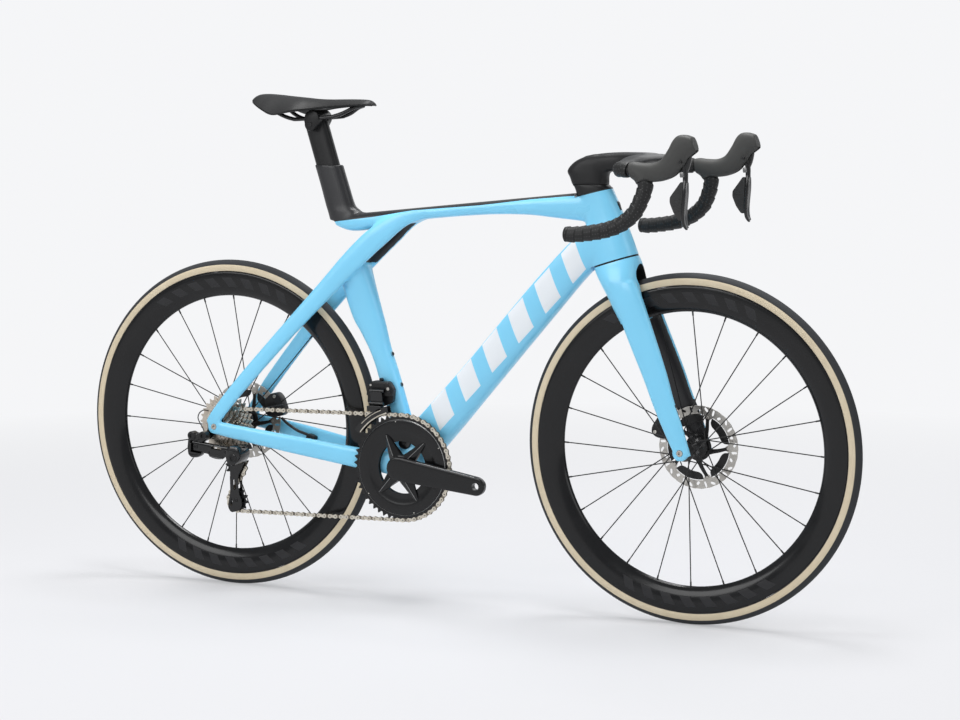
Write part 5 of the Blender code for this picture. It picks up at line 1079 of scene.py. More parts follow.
mechBlack = finishOf(
    "mechBlack", (0.003, 0.003, 0.0032), (0.006, 0.006, 0.0065), (0.12, 0.2), 0.0, 2200, relief=0.08, coat=0.18,
    specular=0.4,
)
steelTrack = trackFinish()
for end, axle in (("front", frontAxle), ("rear", rearAxle)):
    silverParts, blackParts = discShells(axle, brakeForm[end + "Height"])
    addPiece(end + "_disc_track", silverParts, steelTrack, end + "_rotor", sharp=30, values=wheelRadius(axle))
    addPiece(end + "_disc_carrier", blackParts, alloyBlack, end + "_rotor", stands=False, sharp=35)
for end, axle, outboard, scale in (("front", frontAxle, 0.007, 0.86), ("rear", rearAxle, 0.01, 0.9)):
    body, bolts = caliperShells(axle, brakeForm[end + "Angle"], brakeForm[end + "Height"], outboard, scale)
    addPiece(end + "_caliper_body", body, satin, end + "_caliper", sharp=35)
    addPiece(end + "_caliper_bolts", bolts, alloy, end + "_caliper", stands=False, sharp=30)
    for side in ("inner", "outer"):
        keepSolid(end + "_" + side + "_pad", alloyBlack)
print("brakes ready")


# Drivetrain

driveForm = {
    "shiftPin": 0.043, "shiftReach": 0.099, "slackShare": 0.28,
    "pitch": 0.0127, "chainY": -0.047, "cogs": (11, 12, 13, 14, 15, 16, 17, 19, 21, 24, 27, 30), "cogStep": 0.0034,
    "chainCog": 6, "outerTeeth": 52, "innerTeeth": 36, "pulleyTeeth": 11, "root": 0.0038, "tip": 0.003,
    "crankLength": 0.1725, "crankAngle": -8.2, "boltCircle": 0.06, "ringStep": 0.0065, "pedalHole": 0.0072,
}
chainY = driveForm["chainY"]
crankDir = along(driveForm["crankAngle"])
crankUp = along(driveForm["crankAngle"] + 90)
guideAxle = rearAxle + np.array([0.031, 0, -0.084])
tensionAxle = rearAxle + np.array([0.0345, 0, -0.153])


def pitchRadius(teeth):  # pitch over twice the sine of half a tooth's angle
    return driveForm["pitch"] / (2 * math.sin(math.pi / teeth))


def chainCourse():
    # tangent lines and arcs round ring, cog, guide and tension pulley; a signed radius gives the side it passes
    stops = [
        (bracket, pitchRadius(driveForm["outerTeeth"]), 1),
        (rearAxle, pitchRadius(driveForm["cogs"][driveForm["chainCog"]]), 1),
        (guideAxle, pitchRadius(driveForm["pulleyTeeth"]), -1),
        (tensionAxle, pitchRadius(driveForm["pulleyTeeth"]), 1),
    ]
    leave, arrive = [], []
    for (c0, r0, s0), (c1, r1, s1) in zip(stops, stops[1:] + stops[:1]):
        gap = (c1 - c0)[[0, 2]]
        normal = math.atan2(gap[1], gap[0]) - math.acos((s0 * r0 - s1 * r1) / math.hypot(*gap))
        out = polar(1, normal)
        leave.append(c0[[0, 2]] + s0 * r0 * out)
        arrive.append(c1[[0, 2]] + s1 * r1 * out)
    course = []
    for i, (centre, radius, sign) in enumerate(stops):
        a0, a1 = (math.atan2(p[1] - centre[2], p[0] - centre[0]) for p in (arrive[i - 1], leave[i]))
        course.append(("arc", centre[[0, 2]], radius, a0, (a1 - a0) * sign % (2 * math.pi) * sign))
        course.append(("line", leave[i], arrive[i]))
    return course


def courseLength(part):  # radius times angle, or the distance between two points
    return part[2] * abs(part[4]) if part[0] == "arc" else math.dist(part[1], part[2])


def coursePoint(course, s):  # the point at a distance along the course
    for part in course:
        length = courseLength(part)
        if s <= length:
            break
        s -= length
    if part[0] == "arc":
        a = part[3] + part[4] * s / length
        return part[1] + polar(part[2], a)
    return part[1] + (part[2] - part[1]) * s / length


course = chainCourse()
courseTotal = sum(courseLength(part) for part in course)
linkCount = 2 * round(courseTotal / driveForm["pitch"] / 2)
pins = np.array([coursePoint(course, i * courseTotal / linkCount) for i in range(linkCount)])


def firstGap(index):  # angle of the chain's first pin on a wheel, where that wheel has a gap between teeth
    start, pitch = sum(courseLength(part) for part in course[:2 * index]), courseTotal / linkCount
    part = course[2 * index]
    return part[3] + math.copysign((math.ceil(start / pitch - 1e-9) * pitch - start) / part[2], part[4])


def ringEnd(radius, angle):  # an arc round a pin that lies half a pitch ahead of the link's middle
    return np.stack([driveForm["pitch"] / 2 + radius * np.cos(angle), radius * np.sin(angle)], 1)


def chainShells(kept):
    # the kept links: two waisted plates between each pair of pins, inner and outer in turn, with rollers and pins
    after = np.roll(pins, -1, 0)
    middle, direction = (pins + after) / 2, unit(after - pins)
    normal = np.stack([-direction[:, 1], direction[:, 0]], 1)
    end = 0.0044
    t = np.linspace(-np.pi / 2, np.pi / 2, 6)
    half = np.concatenate([ringEnd(end, t), [[0.0018, 0.0023]]])
    outline = np.concatenate([half, -half])
    plates = [[], []]
    for parity, (low, high) in ((0, (0.0012, 0.0018)), (1, (0.0019, 0.0025))):
        chosen = np.arange(parity, linkCount, 2)
        chosen = chosen[kept[chosen]]
        lengthwise = direction[chosen, None] * outline[None, :, :1]
        flat = middle[chosen, None] + lengthwise + normal[chosen, None] * outline[None, :, 1:]
        for y0, y1 in ((chainY + low, chainY + high), (chainY - high, chainY - low)):
            rings = np.stack([
                np.stack([flat[..., 0], np.full(flat.shape[:2], y), flat[..., 1]], -1) for y in (y0, y1)
            ], 1)
            plates[parity].append(manyShells(rings))
    a = 2 * np.pi * np.arange(8) / 8
    solids = []
    for radius, reach in ((0.0038, 0.0011), (0.0017, 0.0027)):
        ring = pins[kept, None] + radius * polar(1, a)[None]
        solids.append(manyShells(np.stack([
            np.stack([ring[..., 0], np.full(ring.shape[:2], y), ring[..., 1]], -1)
            for y in (chainY - reach, chainY + reach)
        ], 1)))
    return plates, solids


def toothedPoints(teeth, gap, steps=8):
    # radius falls from the tip to the root by a rounded step at every gap between teeth
    root, tip = driveForm["root"], driveForm["tip"]
    a = np.arange(teeth * steps) / steps
    away = np.abs((a + 0.5) % 1 - 0.5) * 2
    r = pitchRadius(teeth) - root + (root + tip) * np.clip((away - 0.3) / 0.62, 0, 1) ** 0.9
    return polar(r, gap + a * 2 * np.pi / teeth)


def cassetteShells():
    # twelve cut plates with windows in the large ones, spacers between them and a notched lock ring outside
    smallest = chainY - driveForm["chainCog"] * driveForm["cogStep"]
    plates = []
    for i, teeth in enumerate(driveForm["cogs"]):
        y = smallest + i * driveForm["cogStep"]
        outlines = [toothedPoints(teeth, firstGap(1) if i == driveForm["chainCog"] else 0.1 * i)]
        inner, outer = 0.0205, pitchRadius(teeth) - 0.0085
        count, reach = (7, 0.3) if teeth < 25 else (9, 0.24)
        a = np.linspace(-reach, reach, 6)
        for k in range(count if outer - inner > 0.004 else 0):
            mid = 2 * np.pi * (k + 0.25 * (i % 2)) / count
            outlines.append(np.concatenate([polar(outer, mid + a), polar(inner, mid + a[::-1] * 0.72)]))
        plates.append(plateShell(outlines, y - 0.0008, y + 0.0008, rearAxle, 0.0002))
    top = smallest + 11 * driveForm["cogStep"] + 0.0035
    sleeve = [(0.018, smallest + 0.001), (0.018, top), (0.0093, top), (0.0093, smallest + 0.001)]
    lock = [(r, smallest + h) for r, h in (
        (0.018, 0.0008), (0.0178, -0.0014), (0.0165, -0.002), (0.013, -0.002), (0.0125, -0.0006), (0.0094, -0.0006),
        (0.0094, 0.0008),
    )]
    return plates, [
        turnedShell(sleeve, rearAxle, sideways, 64, True),
        turnedShell(
            lock, rearAxle, sideways, 96, True,
            lambda a, r, h: np.where(r < 0.0135, r + 0.0012 * (np.cos(12 * a) > 0), r),
        ),
    ]


def outerRingShells():
    # toothed rim, then a dished face that runs in to the spider, hollow behind
    y = chainY
    outlines = [toothedPoints(driveForm["outerTeeth"], firstGap(0)), ringPoints(0.09, 160)]
    teeth = plateShell(outlines, y - 0.0009, y + 0.0009, bracket, 0.00025)
    face = flow([
        (0.0985, y - 0.001), (0.0965, y - 0.0012), (0.0948, y - 0.0022), (0.093, y - 0.003), (0.085, y - 0.0033),
        (0.076, y - 0.003), (0.07, y - 0.0018), (0.062, y - 0.0009), (0.0528, y - 0.0009),
    ], 40)
    back = [(0.0525, y - 0.0006), (0.0525, y + 0.0009), (0.078, y + 0.0009), (0.0985, y + 0.0008)]
    dish = turnedShell(np.concatenate([face, back]), bracket, sideways, 192, True)
    feet = [bracket + along(angle) * 0.0925 for angle in (98, 28, -73, -143)]
    return [teeth, dish], [crossRod(foot, y - 0.0036, y - 0.0024, 0.0013, 16, 0.3) for foot in feet]


def innerRingShell():  # a flat toothed ring behind the outer one
    y = chainY + driveForm["ringStep"]
    outlines = [toothedPoints(driveForm["innerTeeth"], 0.0), ringPoints(0.0525, 120)]
    return plateShell(outlines, y - 0.0009, y + 0.0009, bracket, 0.00025)


def crankArm(direction, inner, outer, hub, tip):
    # a crowned bar: super-ellipses whose height follows two circles joined by tangents, rounded at both ends
    length = driveForm["crankLength"]
    lean = math.acos((hub - tip) / length)
    x0, x1 = hub * math.cos(lean), length + tip * math.cos(lean)
    s = np.unique(np.concatenate([
        -hub * np.cos(np.linspace(0, np.pi - lean, 20))[:16], np.linspace(x0 + 0.002, x1, 40),
        length + tip * np.sin(np.linspace(0.14, np.pi / 2, 12)),
    ]))
    near = np.sqrt(np.maximum(hub ** 2 - s ** 2, 0))
    far = np.sqrt(np.maximum(tip ** 2 - (s - length) ** 2, 0))
    line = (hub * math.sin(lean)) + (tip - hub) * math.sin(lean) * (s - x0) / (x1 - x0)
    half = np.maximum(np.where(s < x0, near, np.where(s > x1, far, line)), 0.0006)
    middle = (inner + outer) / 2
    centres = bracket + direction * s[:, None] + sideways * middle
    thickness = abs(outer - inner) * np.minimum(1, 0.25 + 0.75 * np.sqrt(np.minimum(half / 0.009, 1)))
    up = np.cross(direction, sideways)
    return gridShell(ovals(centres, up, sideways, 2 * half, thickness, 5.5, 48))


def crankShells():
    # the drive arm with four ridged star arms, chainring bolts behind them and a spindle, with thin grey strips on the
    # ridges and the arm's top edge as painted highlights
    pedal = bracket + crankDir * driveForm["crankLength"]
    hole = crossRod(pedal, -0.09, -0.03, driveForm["pedalHole"], 40, 0)
    arm = cutShell(crankArm(crankDir, -0.056, -0.07, 0.0242, 0.0185), [hole])
    face = chainY - 0.0012
    star, highlightStrips = [], []
    starRows = (
        (0.004, 0.018, -0.058, -0.0655), (0.016, 0.016, -0.0572, -0.064), (0.028, 0.0138, -0.0556, -0.0622),
        (0.04, 0.0112, -0.054, -0.0597), (0.052, 0.0086, -0.0524, -0.0568), (0.063, 0.006, -0.0509, -0.054),
        (0.0715, 0.003, -0.0499, -0.0516), (0.073, 0.0015, -0.0492, -0.0502),
    )
    for offset in (54, 126, -126, -54):
        angle = driveForm["crankAngle"] + offset
        dirOut, dirSide = along(angle), along(angle + 90)
        rows = [
            [
                bracket + dirOut * r + dirSide * half * share + sideways * y for share, y in (
                    (1, face), (0.92, shoulder), (0.35, ridge * 0.62 + shoulder * 0.38), (0, ridge),
                    (-0.35, ridge * 0.62 + shoulder * 0.38), (-0.92, shoulder), (-1, face),
                )
            ] for r, half, shoulder, ridge in starRows
        ]
        star.append(gridShell(np.array(rows)))
        # a thin grey strip along each ridge's crest: painted highlight
        crest = flow([bracket + dirOut * r + sideways * (ridge - 0.0001) for r, _, _, ridge in starRows[2:7]], 20)
        highlightStrips.append(sweptShell(crest, 0.0006, 8))
        foot = bracket + dirOut * driveForm["boltCircle"]
        star.append(crossRod(foot, face - 0.001, chainY + driveForm["ringStep"] + 0.0015, 0.004, 24, 0.15))
    # a thin grey strip along the arm's upper outer edge: painted highlight
    reach = np.linspace(0.04, driveForm["crankLength"] - 0.004, 40)
    rise = 0.024 + (0.0183 - 0.024) * (reach - 0.003) / driveForm["crankLength"] - 0.0009
    edge = bracket + crankDir * reach[:, None] + crankUp * rise[:, None] - sideways * 0.0694
    highlightStrips.append(sweptShell(edge, 0.00075, 8))
    boss = [
        (0.0001, face), (0.0262, face), (0.027, face - 0.001), (0.0255, -0.0585), (0.02, -0.061), (0.0001, -0.061),
    ]
    spindle = crossRod(bracket, face - 0.002, 0.065, 0.012, 40, 0.1)
    return [arm, turnedShell(boss, bracket, sideways, 72), spindle] + star, highlightStrips


def leftCrankShells():
    # the plain far arm with its pedal and spindle holes, and the spindle's cap
    pedal = bracket - crankDir * driveForm["crankLength"]
    arm = cutShell(crankArm(-crankDir, 0.056, 0.07, 0.023, 0.018), [
        crossRod(pedal, 0.03, 0.09, driveForm["pedalHole"], 40, 0), crossRod(bracket, 0.03, 0.09, 0.01245, 48, 0),
    ])
    cap = [(0.0001, 0.0652), (0.0085, 0.0652), (0.0085, 0.0672), (0.011, 0.069), (0.0118, 0.069), (0.0118, 0.0652)]
    return [arm, turnedShell(cap, bracket, sideways, 48)]


# grey for thin strips laid along ridges and edges in place of the light they catch: painted highlights
highlightGrey = finishOf("highlightGrey", (0.2, 0.2, 0.2), (0.3, 0.3, 0.3), (0.26, 0.36), 0.6, 1800, relief=0.05)
crankBlack = finishOf(
    "crankBlack", (0.0035, 0.0035, 0.0037), (0.0065, 0.0065, 0.007), (0.18, 0.27), 0.0, 2600, relief=0.1, coat=0.08,
    specular=0.34,
)
chainShade = finishOf("innerLinkSteel", (0.16, 0.14, 0.11), (0.24, 0.21, 0.17), (0.3, 0.42), 1.0, 900, 90, 0.15)
chainBronze = finishOf("linkSteel", (0.55, 0.5, 0.42), (0.7, 0.66, 0.57), (0.22, 0.34), 1.0, 900, 90, 0.15)
pinSteel = finishOf("pinSteel", (0.2, 0.19, 0.17), (0.32, 0.3, 0.27), (0.24, 0.34), 1.0, 900, 90, 0.1)
linkPlace = (pins + np.roll(pins, -1, 0)) / 2
partEnds = np.cumsum([courseLength(part) for part in course])
linkPart = np.searchsorted(partEnds, (np.arange(linkCount) + 0.5) * courseTotal / linkCount)


def courseSpot(part, share):  # a point along one of the course's lines
    x, z = course[part][1] + (course[part][2] - course[part][1]) * share
    return np.array([x, chainY, z])


# each run of links is given the two bodies that it joins and its two ends, and a run that two bodies share is left on
# no body; the return run starts at a share of the link's turn that equals the knuckle's move at the cut
ringSide, cassetteSide, halfway = bracket[0] + 0.008, rearAxle[0] + 0.026, courseSpot(3, 0.5)
cut, ringStart = courseSpot(7, driveForm["slackShare"]), courseSpot(7, 1)
ramp = np.linspace(0, 1, 201)
turnShare = 1 - driveForm["shiftReach"] / (cut[0] - rearAxle[0] + driveForm["shiftPin"])
cutShare = np.interp(turnShare, ramp ** 2 * (3 - 2 * ramp), ramp)
returnStart = cut - (ringStart - cut) * cutShare / (1 - cutShare)
topRun = [
    np.array([x, chainY, bracket[2] + 0.105])
    for x in (ringSide, bracket[0] - 0.088, bracket[0] - 0.092, cassetteSide)
]
nearCage = linkPlace[:, 0] > bracket[0] - 0.09
feedShare = linkPlace[:, 1] > halfway[2]
beforeCut = linkPlace[:, 0] < cut[0]
runs = {
    "chain_": (np.isin(linkPart, (0, 2)), ("frameset",), ()),
    "cage_run_": ((linkPart == 1) & nearCage, ("frameset", "front_link"), topRun[:2]),
    "long_run_": ((linkPart == 1) & ~nearCage, ("front_link", "frameset"), topRun[2:]),
    "feed_high_": ((linkPart == 3) & feedShare, ("frameset", "mech_link"), (courseSpot(3, 0), halfway)),
    "feed_low_": ((linkPart == 3) & ~feedShare, ("mech_knuckle", "mech_cage"), (halfway, courseSpot(3, 1))),
    "pulley_wrap_": (np.isin(linkPart, (4, 5, 6)), ("mech_cage",), ()),
    "slack_run_": ((linkPart == 7) & beforeCut, ("mech_cage", "mech_knuckle"), (courseSpot(7, 0), cut)),
    "return_run_": ((linkPart == 7) & ~beforeCut, ("mech_link", "frameset"), (returnStart, ringStart)),
}
for label, (kept, bodies, ends) in runs.items():
    plates, solids = chainShells(kept)
    for name, shells, finish, stands in (
        ("outer_plates", plates[1], chainBronze, True), ("inner_plates", plates[0], chainShade, False),
        ("pins", solids, pinSteel, False),
    ):
        addPiece(label + name, shells, finish, "chain", stands, 30, bends=(bodies, ends))
plates, core = cassetteShells()
cogSteel = finishOf("cogSteel", (0.66, 0.61, 0.54), (0.42, 0.37, 0.31), (0.28, 0.38), 1.0, 1800, 60, 0.15)
addPiece("cassette_cogs", plates, cogSteel, "cassette", sharp=30)
addPiece("cassette_core", core, alloyBlack, "cassette", stands=False, sharp=30)
ringParts, ringMarks = outerRingShells()
addPiece("outer_ring", ringParts, crankBlack, "outer_chainring", sharp=35)
# a thin grey ring just inside the teeth: painted highlight
ringHighlightRows = [(0.0962, chainY - 0.001), (0.0958, chainY - 0.0019), (0.095, chainY - 0.0026), (0.0946, chainY - 0.001)]
addPiece(
    "ring_painted_highlight", turnedShell(ringHighlightRows, bracket, sideways, 192, True), highlightGrey, "outer_chainring", stands=False,
)
addPiece("ring_marks", ringMarks, alloy, "outer_chainring", stands=False)
addPiece("inner_ring", innerRingShell(), alloyBlack, "inner_chainring", sharp=35)
crankParts, crankHighlights = crankShells()
addPiece("drive_crank", crankParts, crankBlack, "right_crank", sharp=26)
# the grey ridge and edge strips on the crank: painted highlights
addPiece("crank_painted_highlight", crankHighlights, highlightGrey, "right_crank", stands=False)
addPiece("far_crank", leftCrankShells(), crankBlack, "left_crank", sharp=30)
for side, finish in (("left", alloyBlack), ("right", alloy)):
    keepSolid("bb_cup_" + side, finish)
catcher = bracket + np.array([-0.002, 0, 0.048])
addPiece("chain_catcher", [
    plateShell([capsuleOutline((0, 0), (0.006, 0.016), 0.013, 0.0085)], -0.0345, -0.029, catcher, 0.0012),
    crossRod(catcher, -0.03, -0.015, 0.0085, 32, 0),
], mechBlack, "frame", stands=False, sharp=30)
addPiece(
    "catcher_screw", buttonShell(catcher - sideways * 0.0345, -sideways, 0.0045, 0.0015), alloyBlack, "frame",
    stands=False, sharp=30,
)
print("drivetrain ready")


# Mechs

mechForm = {
    "linkPivot": (-0.043, -0.0865, -0.041), "knucklePivot": (0.056, -0.0865, -0.052), "cagePivot": (0.047, 0, -0.066),
    "linkHalfHeight": 0.0115, "linkHalfWidth": 0.005, "swing": 0.0052, "innerFace": -0.0753, "thickness": 0.02,
    "cageGap": 0.0072, "cagePlate": 0.0015, "pulleyPin": 0.003, "frontLink": 0.025, "frontThrow": 0.007,
}


def slotRoom(centre, direction, length, width, height):  # a sharp box turned to a direction in the side view
    return blockShell(centre, (length, width, height), -math.atan2(direction[2], direction[0]), 0.0, power=40)


def rearMechShells():
    # bevelled plates in the solids' outlines, cut for the link's swing, with panels, knobs, a ribbed link with two
    # grey lines along it as painted highlights, and a cap
    m = mechForm
    inner = m["innerFace"]
    outer = inner - m["thickness"]
    linkPivot, knucklePivot = rearAxle + m["linkPivot"], rearAxle + m["knucklePivot"]
    linkDir = unit(knucklePivot - linkPivot)
    linkUp = unit(np.cross(linkDir, sideways))
    linkUp = linkUp * np.sign(linkUp[2])
    room = 2 * (m["linkHalfHeight"] + clearance)
    outline = rounded([
        (-0.0545, -0.023), (-0.051, -0.015), (-0.043, -0.0125), (-0.031, -0.0145), (-0.0205, -0.0105),
        (-0.0125, -0.0125),
        (-0.008, -0.02), (-0.012, -0.0275), (-0.022, -0.032), (-0.024, -0.057), (-0.033, -0.064), (-0.048, -0.065),
        (-0.0555, -0.058), (-0.0565, -0.042),
    ], 0.0045)
    body = cutShell(plateShell([outline], outer, inner, rearAxle, 0.004), [
        slotRoom(
            linkPivot + linkDir * 0.0125 - sideways * 0.01, linkDir, 0.038, 2 * (m["linkHalfWidth"] + 0.0135), room,
        ),
        slotRoom(linkPivot + linkDir * 0.029, linkDir, 0.038, 0.06, room),
        softPlate([
            (-0.05, -0.031), (-0.033, -0.022), (-0.02, -0.017), (-0.018, -0.0215), (-0.031, -0.029), (-0.047, -0.039),
        ], 0.002, outer - 0.001, outer + 0.0016, rearAxle, 0.0003),
        softPlate(
            [(-0.051, -0.056), (-0.047, -0.06), (-0.034, -0.059), (-0.03, -0.0545)], 0.0015,
            outer - 0.001, outer + 0.0014, rearAxle, 0.0003,
        ),
    ])
    panel = softPlate(
        [(-0.0545, -0.04), (-0.0495, -0.033), (-0.0455, -0.035), (-0.0465, -0.052), (-0.053, -0.054)], 0.002,
        outer - 0.0016, outer + 0.001, rearAxle, 0.001,
    )
    top = softPlate(
        [(-0.044, -0.015), (-0.032, -0.0165), (-0.022, -0.0125), (-0.028, -0.022), (-0.046, -0.024)], 0.0025,
        outer - 0.0012, outer + 0.001, rearAxle, 0.0008,
    )
    profile = [
        (0.0001, 0.001), (0.0034, 0.001), (0.004, 0.0036), (0.0078, 0.0036), (0.009, 0.0022), (0.009, -0.012),
        (0.0001, -0.012),
    ]
    knobs = [
        turnedShell(profile, rearAxle + [x, outer, z], -sideways, 40) for x,
        z in ((-0.044, -0.019), (-0.0175, -0.018))
    ]
    span = float(np.linalg.norm(knucklePivot - linkPivot))
    link = tubeShell([
        (linkPivot + linkDir * s - linkUp * drop, depth, width) for s, drop, depth, width in (
            (-0.0112, 0, 0.006, 0.004), (-0.0095, 0, 0.014, 0.008), (-0.005, 0, 0.0205, 0.0098),
            (0.0, 0, 0.0228, 0.0098),
            (span * 0.34, 0, 0.0228, 0.0098), (span * 0.46, 0.003, 0.029, 0.0112),
            (span * 0.62, 0.003, 0.029, 0.0112),
            (span * 0.74, 0, 0.0228, 0.0098), (span, 0, 0.0228, 0.0098), (span + 0.005, 0, 0.0205, 0.0098),
            (span + 0.0095, 0, 0.014, 0.008), (span + 0.0112, 0, 0.006, 0.004),
        )
    ], 90, 3.4, 36)
    middle = linkPivot + linkDir * span * 0.54
    link = cutShell(link, [
        slotRoom(middle + linkUp * 0.0042, linkDir, 0.023, 0.06, 0.0052),
        slotRoom(middle - linkUp * 0.0072 - sideways * 0.006, linkDir, 0.034, 0.006, 0.0046),
    ])
    eyes = [
        buttonShell(foot - sideways * m["linkHalfWidth"], -sideways, 0.0042, 0.0012)
        for foot in (linkPivot + linkDir * 0.006, knucklePivot - linkDir * 0.022)
    ]
    # two thin grey lines along the link's upper and lower edges: painted highlights
    edge = np.linspace(-0.004, span * 0.4, 20)[:, None]
    rim = np.linspace(span * 0.4, span * 0.72, 20)[:, None]
    lines = [
        sweptShell(linkPivot + linkDir * edge + linkUp * 0.0088 - sideways * 0.0046, 0.0006, 8),
        sweptShell(linkPivot + linkDir * rim - linkUp * 0.015 - sideways * 0.005, 0.0006, 8),
    ]
    inboard = chainY - m["cageGap"] - m["cagePlate"] - clearance
    outboard = knucklePivot[1] - m["linkHalfWidth"] - m["swing"] - 0.003
    outline = rounded([
        (0.037, -0.042), (0.044, -0.035), (0.06, -0.035), (0.07, -0.043), (0.072, -0.057), (0.064, -0.069),
        (0.052, -0.0765), (0.04, -0.0725), (0.036, -0.062),
    ], 0.006)
    knuckle = cutShell(plateShell([outline], outboard, inboard, rearAxle, 0.0048), [
        slotRoom(knucklePivot - linkDir * 0.015, linkDir, 0.048, 2 * (m["linkHalfWidth"] + m["swing"]), room),
        softPlate(
            [(0.0435, -0.04), (0.059, -0.0395), (0.065, -0.044), (0.056, -0.047), (0.044, -0.046)], 0.0015,
            outboard - 0.001, outboard + 0.0012, rearAxle, 0.0003,
        ),
    ])
    profile = [
        (0.0001, 0.0006), (0.004, 0.0006), (0.0046, 0.0022), (0.0078, 0.0022), (0.0088, 0.001), (0.0088, -0.002),
        (0.0001, -0.002),
    ]
    cap = turnedShell(profile, rearAxle + [0.0545, outboard, -0.06], -sideways, 44)
    return [body, panel, top], knobs, link, eyes, knuckle, cap, lines


def cageShells():
    # two windowed plates round the guide axle g, the tension axle t and the pivot p, joined by the pulleys' pins
    m = mechForm
    outerY, innerY = chainY - m["cageGap"], chainY + m["cageGap"]
    g, t, p = guideAxle[[0, 2]], tensionAxle[[0, 2]], (rearAxle + m["cagePivot"])[[0, 2]]
    outline = [
        p + [-0.01, 0.01], p + [0.008, 0.009], p + [0.011, -0.004], g + [0.009, -0.018], t + [0.006, 0.026],
        t + [0.0085, 0.012],
        t + [0.013, 0.002], t + [0.014, -0.012], t + [0.006, -0.0215], t + [-0.012, -0.026], t + [-0.0195, -0.015],
        t + [-0.013, 0.018],
        g + [-0.01, -0.018], g + [-0.01, 0.004],
    ]
    window = rounded([g + [-0.002, -0.026], g + [0.0035, -0.026], t + [0.0005, 0.024], t + [-0.0055, 0.021]], 0.0025)
    slit = rounded([
        t + [-0.0105, 0.006], t + [-0.0135, -0.006], t + [-0.012, -0.013], t + [-0.0085, -0.01], t + [-0.008, 0.0],
    ], 0.002)
    front = plateShell([rounded(outline, 0.005), window, slit], outerY - m["cagePlate"], outerY, np.zeros(3), 0.0005)
    back = plateShell([rounded(outline[2:], 0.005), window], innerY, innerY + m["cagePlate"], np.zeros(3), 0.0005)
    axles = [
        crossRod(axle, outerY - 0.0004, innerY + 0.0004, m["pulleyPin"], 24, 0) for axle in (guideAxle, tensionAxle)
    ]
    share = np.linspace(0, 1, 12)
    rib = np.stack([
        np.interp(share, [0, 1], [g[0] - 0.0092, t[0] - 0.012]), np.full(12, outerY - 0.0016),
        np.interp(share, [0, 1], [g[1] - 0.02, t[1] + 0.016]),
    ], 1)
    bolt = buttonShell(tensionAxle + sideways * (outerY - m["cagePlate"]), -sideways, 0.0042, 0.0011, 0.5)
    return [front, back] + axles + [sweptShell(rib, 0.0009, 10)], bolt


def pulleyShells(axle, index):
    # a toothed plate with five windows between its hub and its rim
    a = np.linspace(-0.42, 0.42, 8)
    windows = [
        np.concatenate([polar(0.0148, mid + a), polar(0.0088, mid + a[::-1] * 0.8)])
        for mid in 2 * np.pi * np.arange(5) / 5
    ]
    outline = toothedPoints(driveForm["pulleyTeeth"], firstGap(index), 14)
    plate = plateShell([outline, ringPoints(0.0033, 24)] + windows, chainY - 0.0009, chainY + 0.0009, axle, 0.0003)
    hub = [
        (0.0033, -0.0034), (0.0062, -0.0034), (0.0068, -0.0028), (0.0068, 0.0028), (0.0062, 0.0034),
        (0.0033, 0.0034),
    ]
    return plate, turnedShell(hub, axle + sideways * chainY, sideways, 36, True)


